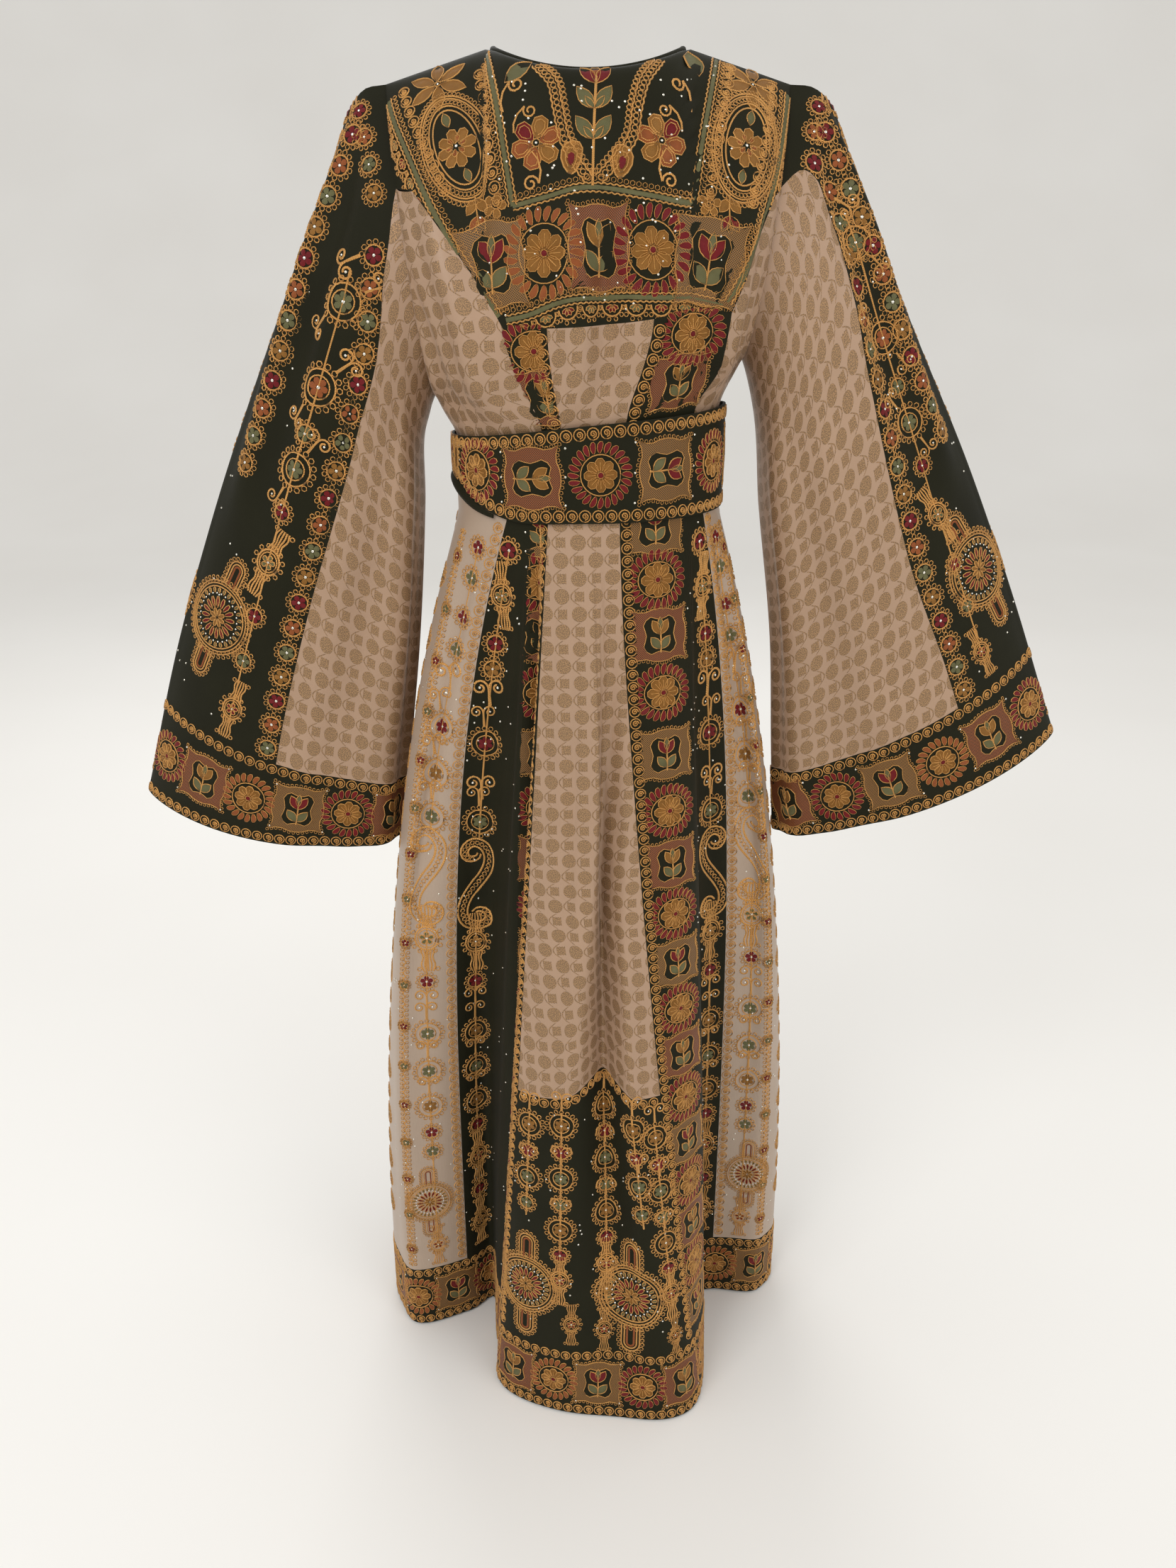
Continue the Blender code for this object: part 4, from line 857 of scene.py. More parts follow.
def brocade(cloth):
    """Satin brocade with figures of metallic granules on a pinkish ivory ground.

    Discs and small blocks alternate on a square lattice, with thin curved stems between them.
    """
    s = Shader("cream_gold_brocade", 0.5, Sheen_Weight=0.15, Sheen_Roughness=0.4)
    where, u, v = s.places()
    across = s.math("DIVIDE", u, BROCADE_PITCH * MM)
    up = s.math("DIVIDE", v, BROCADE_PITCH * MM)
    x = s.math("SUBTRACT", s.math("FRACT", across), 0.5)
    y = s.math("SUBTRACT", s.math("FRACT", up), 0.5)
    number = s.math("ADD", s.math("FLOOR", across), s.math("FLOOR", up))
    odd = s.math("FLOORED_MODULO", number, 2.0)
    even = s.math("SUBTRACT", 1.0, odd)
    from_middle = s.math("SQRT", s.math("ADD", s.math("MULTIPLY", x, x), s.math("MULTIPLY", y, y)))
    disc = s.math("LESS_THAN", from_middle, DISC_RADIUS / BROCADE_PITCH)
    square = s.math("MAXIMUM", s.math("ABSOLUTE", x), s.math("ABSOLUTE", y))
    ragged = s.math("MULTIPLY", s.math("SINE", s.math("MULTIPLY", x, 40.0)), BLOCK_RAGGED)
    block = s.math("LESS_THAN", s.math("ADD", square, ragged), BLOCK_HALF / BROCADE_PITCH)
    # The stem swings from one side of its column to the other, once in every two cells.
    swing = s.math("MULTIPLY", s.math("SINE", s.math("MULTIPLY", up, math.pi)), STEM_SWING)
    odd_column = s.math("FLOORED_MODULO", s.math("FLOOR", across), 2.0)
    turned = s.math("SUBTRACT", s.math("MULTIPLY", odd_column, 2.0), 1.0)
    off = s.math("ABSOLUTE", s.math("SUBTRACT", x, s.math("MULTIPLY", swing, turned)))
    stem = s.math("MULTIPLY", s.math("LESS_THAN", off, STEM_HALF), even)
    figure = s.math("ADD", s.math("MULTIPLY", disc, odd), s.math("MULTIPLY", block, even))
    figure = s.math("MINIMUM", s.math("ADD", figure, stem), 1.0)
    granules = s.noise(where, GRANULE, 1.0)
    bright = s.add("MapRange", {"Value": granules, "From Min": 0.42, "From Max": 0.62})
    metal = s.mix(bright, shade(cloth.figure, 0.60), shade(cloth.figure, 1.55))
    ground = s.cloud(cloth.ground, 90.0, 0.88, 1.06)
    s.link("Base Color", s.mix(figure, ground, metal))
    s.link("Metallic", s.math("MULTIPLY", figure, s.math("MULTIPLY", bright, 0.55)))
    s.relief(s.math("ADD", s.math("MULTIPLY", figure, 0.5), s.math("MULTIPLY", granules, figure)), 0.25)
    return s.material


def satin(cloth):
    """Ivory satin: a soft sheen along fine threads, slightly clouded."""
    s = Shader("ivory_silk_satin", 0.42, Sheen_Weight=0.12, Sheen_Roughness=0.35)
    where, _, _ = s.places()
    scale = 1 / (SATIN_THREAD * MM) / SATIN_WAVE
    thread = s.add("TexWave", {"Vector": where, "Scale": scale, "Distortion": 1.5})
    s.clouded(cloth.ivory, 70.0, 0.9, 1.04, 3.0)
    s.relief(thread.node.outputs["Fac"], 0.04)
    return s.material


def cord_thread(thread):
    """Gold cord: two metallised strands twisted, so slanting ridges catch the light along it."""
    s = Shader("gold_twisted_cord", 0.42, Metallic=0.30, Sheen_Weight=0.1)
    _, u, v = s.places()
    slant = s.math("ADD", u, s.math("MULTIPLY", v, 0.9))
    ridge = s.math("SINE", s.math("MULTIPLY", slant, 2 * math.pi / (CORD_TWIST * MM)))
    s.clouded(thread.cord, 14.0, 0.78, 1.22)
    s.relief(ridge, 0.22)
    return s.material


def stitched(name, colour, metallic, roughness):
    """Satin stitch: parallel silk or metallised threads laid side by side over a low padding."""
    s = Shader(name, roughness, Metallic=metallic, Sheen_Weight=0.03, Specular_IOR_Level=0.25)
    _, u, _ = s.places()
    thread = s.math("SINE", s.math("MULTIPLY", u, 2 * math.pi / (SATIN_THREAD * MM)))
    s.clouded(colour, 9.0, 0.72, 1.25)
    s.relief(thread, 0.12)
    return s.material


def netted(name, colour, ground):
    """Couched net: two sets of slanting threads cross over the cloth."""
    s = Shader(name, 0.5, Metallic=0.15)
    _, u, v = s.places()
    lines = []
    for turn in ("ADD", "SUBTRACT"):
        slant = s.math("MULTIPLY", s.math(turn, u, v), math.pi / (NET_PITCH * MM))
        lines.append(s.math("ABSOLUTE", s.math("SINE", slant)))
    # Each set shows as a thread where its wave is low, about a third of the pitch wide.
    net = s.math("MINIMUM", lines[0], lines[1])
    thread = s.add("MapRange", {"Value": net, "From Min": 0.62, "From Max": 0.38})
    s.link("Base Color", s.mix(thread, ground, shade(colour, 1.1)))
    s.relief(thread, 0.30)
    return s.material


def spangled():
    """Rhinestone: faceted foiled glass, so it is a small sharp highlight."""
    s = Shader("foiled_rhinestone", 0.12, Metallic=0.85)
    tint = s.noise(s.places("Object"), 40.0, 0.0)
    s.link("Base Color", s.mix(tint, linear("#cfc9b6"), linear("#f2efe6")))
    return s.material


# Threads, in the order of the materials of each piece of embroidery.
CORD, GOLD, RED, RUST, GREY, GREEN, RUST_NET, GOLD_NET, STONE = range(9)
MOST_TRIANGLES = 200000     # in one piece


def finishes():
    """All the materials, made once: the three cloths by name and the threads in their order."""
    made = bpy.data.materials
    if "green_silk_crepe" not in made:
        scene = bpy.context.scene
        cloth, thread = scene.thobe_cloth, scene.thobe_thread
        crepe(cloth)
        brocade(cloth)
        satin(cloth)
        cord_thread(thread)
        stitched("gold_satin_stitch", thread.gold, 0.30, 0.46)
        stitched("red_satin_stitch", thread.red, 0.0, 0.5)
        stitched("rust_satin_stitch", thread.rust, 0.0, 0.5)
        stitched("grey_green_satin_stitch", thread.grey, 0.0, 0.46)
        netted("rust_couched_net", thread.rust, shade(cloth.green, 1.2))
        netted("gold_couched_net", thread.gold, shade(cloth.green, 1.2))
        spangled()
    cloths = {
        "green": made["green_silk_crepe"],
        "brocade": made["cream_gold_brocade"],
        "ivory": made["ivory_silk_satin"],
    }
    threads = (
        "gold_twisted_cord", "gold_satin_stitch", "red_satin_stitch", "rust_satin_stitch",
        "grey_green_satin_stitch", "green_silk_crepe", "rust_couched_net", "gold_couched_net",
        "foiled_rhinestone",
    )
    return cloths, [made[name] for name in threads]


def mesh_piece(name, points, faces, uv, materials, numbers=None):
    """A shown piece from points, faces and a flat place for each point, riding on the garment."""
    mesh = bpy.data.meshes.new(name)
    mesh.from_pydata(points, [], faces)
    loops = np.empty(len(mesh.loops), np.int32)
    mesh.loops.foreach_get("vertex_index", loops)
    layer = mesh.uv_layers.new(name="flat_metres")
    layer.data.foreach_set("uv", np.ascontiguousarray(uv[loops], np.float32).ravel())
    for material in materials:
        mesh.materials.append(material)
    if numbers is not None:
        mesh.polygons.foreach_set("material_index", np.ascontiguousarray(numbers, np.int32))
    mesh.shade_smooth()
    if mesh.validate():
        raise RuntimeError(name + " has faces that had to be mended")
    made = bpy.data.objects.new(name, mesh)
    bpy.context.scene.collection.objects.link(made)
    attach(made, "root")
    return made


def grid_normals(points, facing):
    """Unit normals of a grid of points, from the cross product of its two directions."""
    return unit(np.cross(np.gradient(points, axis=1), np.gradient(points, axis=0)) * facing)


def shell(name, points_of, a, b, cloth, facing=1.0, thickness=None):
    """One cloth panel in place of its solid: a closed thin wall over the grid a by b.

    Its flat places are distances along the cloth: across from the middle column, and up that column.
    """
    thickness = thickness or bpy.context.scene.thobe_cloth.thickness
    outer = points_of(a, b)
    inner = outer - grid_normals(outer, facing) * thickness
    rows, columns = a.shape
    middle = columns // 2
    steps = np.linalg.norm(np.diff(outer, axis=1), axis=-1)
    across = np.concatenate([np.zeros((rows, 1)), np.cumsum(steps, axis=1)], axis=1)
    up = length_along(outer[:, middle])
    from_middle = across - across[:, middle : middle + 1]
    flat = np.stack([from_middle, np.repeat(up[:, None], columns, 1)], axis=-1)
    count = rows * columns
    number = np.arange(count).reshape(rows, columns)
    corners = (number[:-1, :-1], number[:-1, 1:], number[1:, 1:], number[1:, :-1])
    front = np.stack(corners, -1).reshape(-1, 4)
    faces = [front, front[:, ::-1] + count]
    for edge, way in ((number[0], 1), (number[:, -1], 1), (number[-1], -1), (number[:, 0], -1)):
        start, end = (edge[:-1], edge[1:]) if way > 0 else (edge[1:], edge[:-1])
        faces.append(np.stack([start, start + count, end + count, end], -1))
    faces = np.concatenate(faces)
    if facing < 0:
        faces = faces[:, ::-1]
    points = np.concatenate([outer.reshape(-1, 3), inner.reshape(-1, 3)])
    cloths, _ = finishes()
    uv = np.concatenate([flat.reshape(-1, 2)] * 2)
    made = mesh_piece(name + "_cloth", points, faces, uv, [cloths[cloth]])
    # The edges round each face of the wall are sharp.
    ends = np.empty(len(made.data.edges) * 2, np.int32)
    made.data.edges.foreach_get("vertices", ends)
    rim = np.zeros(count, bool)
    rim[np.concatenate([number[0], number[-1], number[:, 0], number[:, -1]])] = True
    one, two = ends[::2], ends[1::2]
    sharp = rim[one % count] & rim[two % count] & ((one < count) == (two < count))
    made.data.attributes.new("sharp_edge", "BOOLEAN", "EDGE").data.foreach_set("value", sharp)
    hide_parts(name)


class Cloth:
    """A surface tabled on a fine grid of its two coordinates, so that motifs can be laid on it."""

    def __init__(self, points_of, across, up, facing=1.0):
        self.a, self.b, self.facing = np.asarray(across, float), np.asarray(up, float), facing
        points = points_of(*np.meshgrid(self.a, self.b))
        along_a = np.gradient(points, self.a, axis=1)
        along_b = np.gradient(points, self.b, axis=0)
        self.table = np.concatenate([points, grid_normals(points, facing), along_a, along_b], axis=-1)

    def at(self, a, b):
        """Point, normal and the two directions at a place, between the four nearest in the table."""
        i = np.clip(np.searchsorted(self.a, a) - 1, 0, len(self.a) - 2)
        j = np.clip(np.searchsorted(self.b, b) - 1, 0, len(self.b) - 2)
        s = np.clip((a - self.a[i]) / (self.a[i + 1] - self.a[i]), 0, 1)[..., None]
        t = np.clip((b - self.b[j]) / (self.b[j + 1] - self.b[j]), 0, 1)[..., None]
        low = self.table[j, i] * (1 - s) + self.table[j, i + 1] * s
        high = self.table[j + 1, i] * (1 - s) + self.table[j + 1, i + 1] * s
        found = low * (1 - t) + high * t
        return found[..., 0:3], found[..., 3:6], found[..., 6:9], found[..., 9:12]

    def moved(self, a, b, x, y):
        """The place x to the right and y up on the cloth from a place, in metres.

        It is reached in short strides, so that it follows the folds.
        """
        strides = max(1, int(np.ceil(np.max(np.hypot(x, y)) / STRIDE)))
        for _ in range(strides):
            _, _, along_a, along_b = self.at(a, b)
            right, up = self.ways(along_a, along_b)
            step_b = y / strides / np.sum(along_b * up, axis=-1)
            across = x / strides - step_b * np.sum(along_b * right, axis=-1)
            a, b = a + across / np.linalg.norm(along_a, axis=-1), b + step_b
        return a, b

    @staticmethod
    def ways(along_a, along_b):
        """Unit directions to the right and up on the cloth."""
        right = along_a / size_of(along_a)
        up = along_b - np.sum(along_b * right, axis=-1, keepdims=True) * right
        return right, up / size_of(up)

    def trail(self, a, b, pitch, offset=0.0, ends=0.5):
        """Places spaced evenly along a line, set off to its left, with the turn that faces along it."""
        a, b = self.evenly(a, b, offset)
        run = length_along(self.at(a, b)[0])
        count = max(1, int(round(run[-1] / pitch)))
        at = (np.arange(count) + ends) * run[-1] / (count - 1 + 2 * ends)
        a, b = np.interp(at, run, a), np.interp(at, run, b)
        return a, b, self.turns(a, b)

    def evenly(self, a, b, offset, step=TRAIL_STEP):
        """A line resampled in even steps on the cloth and set off to its left."""
        run = length_along(self.at(a, b)[0])
        at = np.linspace(0.0, run[-1], max(3, int(run[-1] / step)))
        a, b = np.interp(at, run, a), np.interp(at, run, b)
        if offset:
            turn = self.turns(a, b)
            a, b = self.moved(a, b, -offset * np.cos(turn), -offset * np.sin(turn))
        return a, b

    def turns(self, a, b):
        """How far each step of a line is turned from straight up on the cloth, leftwards."""
        points, _, along_a, along_b = self.at(a, b)
        right, up = self.ways(along_a, along_b)
        way = np.gradient(points, axis=0) if len(points) > 1 else up
        return np.arctan2(-np.sum(way * right, -1), np.sum(way * up, -1))


# Motifs, in millimetres on the flat, x to the right and y up. Each has points, heights over the
# cloth, flat places for the thread's own pattern, triangles and a thread for each triangle.


def strips(i, j, count, rows):
    """Triangles between rows of points: from column i to the next one, j, with count points a row."""
    low = np.arange(rows) * count
    lower = [np.stack([i + r, j + r, j + r + count], 1) for r in low]
    upper = [np.stack([i + r, j + r + count, i + r + count], 1) for r in low]
    return np.concatenate(lower + upper)


def motif(points, heights, places, faces, thread):
    """A motif in one thread."""
    return points, heights, places, faces, np.full(len(faces), thread)


def join(*parts):
    """Several motifs as one."""
    starts = np.cumsum([0] + [len(part[0]) for part in parts[:-1]])
    faces = np.concatenate([part[3] + start for part, start in zip(parts, starts)])
    points, heights, places = (np.concatenate([part[i] for part in parts]) for i in range(3))
    return points, heights, places, faces, np.concatenate([part[4] for part in parts])


def put(part, x=0.0, y=0.0, turn=0.0, size=1.0, mirror=False):
    """A motif moved, turned leftwards in degrees, scaled, or mirrored left to right."""
    points, heights, places, faces, threads = part
    if mirror:
        points, faces = points * (-1.0, 1.0), faces[:, ::-1]
    c, s = math.cos(math.radians(turn)), math.sin(math.radians(turn))
    points = points @ np.array([[c, s], [-s, c]]) * size + (x, y)
    return points, heights, places, faces, threads


def cord(line, thread=CORD, width=CORD_WIDTH, height=CORD_HEIGHT, closed=False):
    """A cord along a line of points: its two edges on the cloth and a ridge between them."""
    line = np.asarray(line, float)
    count = len(line)
    way = np.roll(line, -1, 0) - np.roll(line, 1, 0) if closed else np.gradient(line, axis=0)
    side = np.stack([-way[:, 1], way[:, 0]], 1)
    side *= width / 2 / np.maximum(size_of(side), TINY)
    points = np.concatenate([line - side, line, line + side])
    heights = np.repeat([-SUNK, height, -SUNK], count)
    across = np.repeat([-width / 2, 0.0, width / 2], count)
    places = np.stack([np.tile(length_along(line), 3), across], 1)
    i = np.arange(count if closed else count - 1)
    return motif(points, heights, places, strips(i, (i + 1) % count, count, 2), thread)


def fill(outline, thread, height=FILL_HEIGHT, edge=0.0):
    """A padded fill inside a closed outline: a low dome of triangles round its middle."""
    outline = np.asarray(outline, float)
    x, y = outline.T
    if np.sum(x * np.roll(y, -1) - np.roll(x, -1) * y) < 0:
        outline = outline[::-1]
    count = len(outline)
    points = np.concatenate([outline, [outline.mean(0)]])
    heights = np.concatenate([np.full(count, edge), [height]])
    i = np.arange(count)
    faces = np.stack([i, (i + 1) % count, np.full(count, count)], 1)
    return motif(points, heights, points, faces, thread)


def oval(radius_x, radius_y, count):
    """Points round an oval, leftwards from its right end."""
    turn = np.arange(count) / count * 2 * np.pi
    return np.stack([radius_x * np.cos(turn), radius_y * np.sin(turn)], 1)


def petal_line(base, tip, width, bend=0.0, count=8):
    """A petal's outline from base to tip up the y axis, widest past its middle, bent sideways."""
    turn = np.arange(count) / count * 2 * np.pi
    share = (1 - np.cos(turn)) / 2
    x = width / 2 * np.sin(turn) * (0.55 + 0.55 * share)
    return np.stack([x + bend * share**2, base + (tip - base) * share], 1)


def spiral_line(radius, turns, count, inner):
    """Points from outside in along a spiral that starts at the right and turns leftwards."""
    t = np.linspace(0.0, 1.0, count)
    turn = 2 * np.pi * turns * t
    reach = radius + (inner - radius) * t
    return np.stack([reach * np.cos(turn), reach * np.sin(turn)], 1)


def ring(radius, width, count):
    """A small loop of cord."""
    return cord(oval(radius, radius, count), CORD, width, 0.8, closed=True)


def stone(radius=1.1):
    """A rhinestone: a six-sided dome."""
    return fill(oval(radius, radius, 6), STONE, 1.3, 0.2)


def around(part, count, radius_x, radius_y=None, start=0.0):
    """A motif repeated round an oval, its y axis pointing out."""
    radius_y = radius_y or radius_x
    parts = []
    for i in range(count):
        turn = start + 360.0 * i / count
        x, y = radius_x * math.cos(math.radians(turn)), radius_y * math.sin(math.radians(turn))
        out = math.degrees(math.atan2(y / radius_y**2, x / radius_x**2))
        parts.append(put(part, x, y, out - 90.0))
    return join(*parts)


def along(part, line, pitch, closed=False):
    """A motif repeated along a line, its y axis pointing to the line's right."""
    line = np.asarray(line, float)
    if closed:
        line = np.concatenate([line, line[:1]])
    steps = np.diff(line, axis=0)
    run = length_along(line)
    count = max(2, int(round(run[-1] / pitch)))
    at = np.arange(count) * run[-1] / (count if closed else count - 1)
    x, y = np.interp(at, run, line[:, 0]), np.interp(at, run, line[:, 1])
    i = np.clip(np.searchsorted(run, at, side="right") - 1, 0, len(steps) - 1)
    turns = np.degrees(np.arctan2(steps[i, 1], steps[i, 0])) - 180.0
    return join(*(put(part, *place) for place in zip(x, y, turns)))


def petal(base, tip, width, thread, count=8):
    """A filled petal with a cord round it."""
    outline = petal_line(base, tip, width, 0.0, count)
    return join(fill(outline, thread), cord(outline, CORD, 1.1, 0.95, closed=True))


def flower(petals, base, tip, width, thread):
    """Petals round a middle."""
    return around(petal(0.0, tip - base, width, thread), petals, base, start=90.0)


def leaf(length, width, thread):
    """A pointed leaf up the y axis with a cord round it."""
    half = np.linspace(0.0, 1.0, 6)
    x = width / 2 * np.sin(np.pi * half) ** 0.9
    y = length * half
    outline = np.concatenate([np.stack([x, y], 1), np.stack([-x, y], 1)[-2:0:-1]])
    return join(fill(outline, thread), cord(outline, CORD, 1.0, 0.9, closed=True))


def tulip(height, bud, leaves):
    """A spray: a stem, two broad leaves low down and a bud of three petals at its top."""
    parts = [cord([(0.0, -height / 2), (0.5, -height / 5), (0.0, height * 0.10)])]
    for side in (-1, 1):
        parts.append(put(leaf(height * 0.44, height * 0.25, leaves), 0.0, -height * 0.40, -40.0 * side))
        parts.append(put(leaf(height * 0.46, height * 0.24, bud), 0.0, 0.0, -30.0 * side))
    parts.append(put(leaf(height * 0.40, height * 0.16, leaves), 0.0, height * 0.08))
    return join(*parts)


def spiral_rosette():
    """A flat coil of cord, as it stands in rows along the edges."""
    rim = cord(oval(5.3, 5.3, 12), CORD, 1.25, closed=True)
    return join(rim, cord(spiral_line(3.4, 1.6, 13, 0.4), CORD, 1.5, 1.3))


def medallion(petals, radius, thread, centre=GOLD, tall=1.0):
    """A round medallion: bent petals outside a ring of cord and an eight-petalled flower inside it."""
    inner = radius * 0.64
    width = 2 * math.pi * radius * 0.84 / petals
    outline = petal_line(0.0, radius - inner, width * 0.92, width * 0.32, 9)
    one = join(fill(outline, thread, 1.1, 0.3), cord(outline, CORD, 0.7, 0.8, closed=True))
    outer = around(one, petals, inner + 0.4, (inner + 0.4) * tall)
    rim = cord(oval(inner - 0.6, (inner - 0.6) * tall, 26), CORD, 1.2, closed=True)
    tip = inner - 3.6
    wide = petal_line(0.0, tip - 2.4, tip * 0.66, 0.0, 9)
    vein = lifted(cord([(0.0, 2.0), (0.0, tip - 6.0)], CORD, 0.9, 0.9), 0.6)
    wide_petal = join(fill(wide, centre, 1.0), cord(wide, CORD, 0.9, 1.3, closed=True), vein)
    middle = around(wide_petal, 8, 2.4, 2.4 * tall, start=90.0)
    eye = join(lifted(fill(oval(2.6, 2.6, 8), RED, 1.3), 0.6), lifted(ring(2.9, 1.0, 8), 0.6))
    return join(outer, rim, middle, eye)


def tile_line(half_width, half_height, wave, count=9):
    """A tile's outline: four sides that dip beside flared corners and swell in the middle."""
    s = np.linspace(-1.0, 1.0, count)[:-1]
    dip = wave * (1 - np.cos(2 * np.pi * np.abs(s) ** 1.4)) / 2
    parts = []
    for side in range(4):
        long, high = (half_width, half_height) if side % 2 == 0 else (half_height, half_width)
        edge = np.stack([s * long, -(high - dip)], 1)
        c, d = math.cos(side * math.pi / 2), math.sin(side * math.pi / 2)
        parts.append(edge @ np.array([[c, d], [-d, c]]))
    return np.concatenate(parts)


def tile(net, bud, leaves, half, tall=1.0):
    """A square tile: net ground with a loop edging, a green window and a tulip spray in it."""
    line = tile_line(half - 3.0, (half - 3.0) * tall, 3.6)
    window = tile_line(half * 0.44, half * 0.54 * tall, -3.0, 7)
    ground = netting(line, window, net)
    outside = tile_line(half - 1.2, (half - 1.2) * tall, 3.6, 11)
    edging = along(ring(1.7, 0.8, 5), outside, 4.8, closed=True)
    hole = fill(window, GREEN, 0.35, 0.30)
    rims = [cord(line, width=1.2, closed=True), cord(window, CORD, 1.2, closed=True)]
    spray = put(tulip(half * 1.24 * tall, bud, leaves), 0.0, half * 0.02)
    return join(ground, edging, hole, *rims, lifted(spray, 0.5))


def lifted(part, height):
    """A motif raised off the cloth, to lie over another."""
    points, heights, places, faces, threads = part
    return points, heights + height, places, faces, threads


def netting(line, window, thread):
    """Net between an outline and the window inside it, in rings of triangles that follow both."""
    turn = np.arange(len(line)) / len(line)
    at = np.arange(len(window) + 1) / len(window)
    window = np.concatenate([window, window[:1]])
    inner = np.stack([np.interp(turn, at, window[:, i]) for i in (0, 1)], 1)
    shares = np.linspace(0.0, 1.0, NET_RINGS + 1)
    points = np.concatenate([line + (inner - line) * share for share in shares])
    i = np.arange(len(line))
    faces = strips(i, (i + 1) % len(line), len(line), NET_RINGS)
    return motif(points, np.full(len(points), NET_HEIGHT), points, faces, thread)


def crowned(thread):
    """A ring medallion with a pair of horns above it, a link of the chains."""
    return join(ring_medallion(thread), put(horns(), 0.0, 23.0))


def paired(thread):
    """A ring medallion with horns above it and, turned over, below it."""
    return join(ring_medallion(thread), put(horns(0.9), 0.0, 22.0), put(horns(0.9), 0.0, -22.0, 180.0))


def star(leaves, length, width, thread):
    """Long leaves spread from a middle."""
    return join(around(leaf(length, width, thread), leaves, 2.5, start=90.0), ring(2.8, 1.4, 8), stone())


def curl(size):
    """A tail of cord that ends in a small spiral."""
    tail = cord([(5.6, 0.0), (6.6, 8.0), (4.4, 15.0), (0.0, 20.0)])
    return put(join(tail, cord(spiral_line(5.6, 1.3, 14, 1.4))), size=size)


def bloom(petals, base, tip, width, thread):
    """A small flower of plain fills, with no cord between its petals."""
    one = fill(petal_line(0.0, tip - base, width, 0.0, 7), thread, 1.0, 0.2)
    return around(one, petals, base, start=90.0)


def small_medallion(thread):
    """A small flower in a ring of cord with loops outside it and a stone in the middle."""
    loops = around(ring(1.9, 0.9, 6), 12, 9.6)
    edge = cord(oval(7.3, 7.3, 14), width=1.3, closed=True)
    return join(loops, edge, bloom(5, 0.9, 6.4, 5.6, thread), stone(1.2))


def ring_medallion(thread):
    """A larger flower in two rings of cord, with loops outside the larger ring."""
    loops = around(ring(2.1, 0.9, 6), 16, 15.2)
    outer = cord(oval(12.4, 12.4, 20), width=1.3, closed=True)
    inner = cord(oval(8.0, 8.0, 16), width=1.1, closed=True)
    return join(loops, outer, inner, bloom(6, 1.0, 7.0, 5.4, thread), stone(1.3))


def horns(size=1.0):
    """A pair of cords that rise from a stem and curl outwards."""
    t = np.linspace(0.0, 1.0, 17)
    turn = math.pi - 2 * math.pi * 1.25 * t
    reach = 6.0 - 4.2 * t
    coil = np.stack([6.2 + reach * np.cos(turn), 8.0 + reach * np.sin(turn)], 1)
    line = np.concatenate([[(0.4, -6.0), (0.3, 0.0), (0.1, 4.0)], coil])
    one = join(cord(line, CORD, 1.7), put(stone(1.0), 6.4, 8.0))
    return put(join(one, put(one, mirror=True)), size=size)


def scroll():
    """A tall S of two cords with loops between them, curled at both ends like a clothoid."""
    s = np.linspace(-1.0, 1.0, 53)
    heading = math.radians(128) - 6.6 * np.abs(s) ** 2.2
    way = np.stack([np.cos(heading), np.sin(heading)], 1)
    line = np.cumsum(way, axis=0) * 2.85
    line = line - line[len(line) // 2]
    side = np.stack([-way[:, 1], way[:, 0]], 1)
    thin = (4.0 - 2.6 * np.abs(s) ** 3)[:, None]
    edges = [cord(line + side * thin * sign) for sign in (-1, 1)]
    middle = along(ring(1.7, 1.0, 5), line[3:-3], 3.9)
    return join(*edges, middle)


def shield(thread):
    """An oval with a flower, looped outside, with sheaves of cord above and below it."""
    loops = around(ring(1.8, 1.0, 6), 12, 12.0, 13.0)
    outer = cord(oval(9.4, 10.4, 16), closed=True)
    inner = cord(oval(7.4, 8.2, 14), closed=True, width=1.2)
    sheaf = []
    height = 30.0
    y = np.linspace(10.0, height, 9)
    for x in (-5.6, -2.8, 0.0, 2.8, 5.6):
        wave = x * (0.84 + 0.16 * np.cos((y - 10.0) / (height - 10.0) * 9.0))
        sheaf.append(cord(np.stack([wave, y], 1), CORD, 1.5))
    ends = [put(ring(1.8, 1.0, 6), x, height - 2.0) for x in (-7.4, 7.4)]
    up = join(*sheaf, *ends)
    middle = flower(5, 1.4, 5.8, 4.2, thread)
    return join(loops, outer, inner, middle, stone(), up, put(up, turn=180.0))


def amulet(radius=30.0):
    """A large round with a long hairpin of cord above and below it.

    From outside in: loops, three rings of cord, short grey petals, red petals and a gold flower.
    """
    loops = around(ring(2.0, 1.1, 6), 40, radius + 7.5)
    rings = [cord(oval(r, r, 34), closed=True) for r in (radius + 4.6, radius + 1.6, radius - 1.6)]
    between = around(ring(1.2, 0.8, 5), 44, radius + 3.1)
    teeth = around(petal(0.0, 5.6, 3.8, GREY, 6), 26, radius - 8.4)
    beads = around(stone(1.0), 26, radius - 8.8, start=7.0)
    red = around(petal(0.0, radius * 0.36, 4.6, RED, 7), 16, radius * 0.30)
    heart = flower(8, 1.6, radius * 0.30, 4.6, GOLD)
    t = np.linspace(0.0, math.pi, 11)

    def hairpin(half, foot):
        top = np.stack([half * np.cos(t), half * np.sin(t) + radius + 24.0], 1)
        return np.concatenate([[(half, radius + foot)], top, [(-half, radius + foot)]])

    pins = [
        cord(hairpin(half, 4.0), thread, width)
        for half, thread, width in ((9.5, CORD, 1.8), (6.4, CORD, 1.8), (3.6, RUST, 2.6))
    ]
    pin = join(*pins, along(ring(1.9, 1.0, 6), hairpin(12.4, 8.0), 4.8))
    return join(loops, *rings, between, teeth, beads, red, heart, pin, put(pin, turn=180.0))


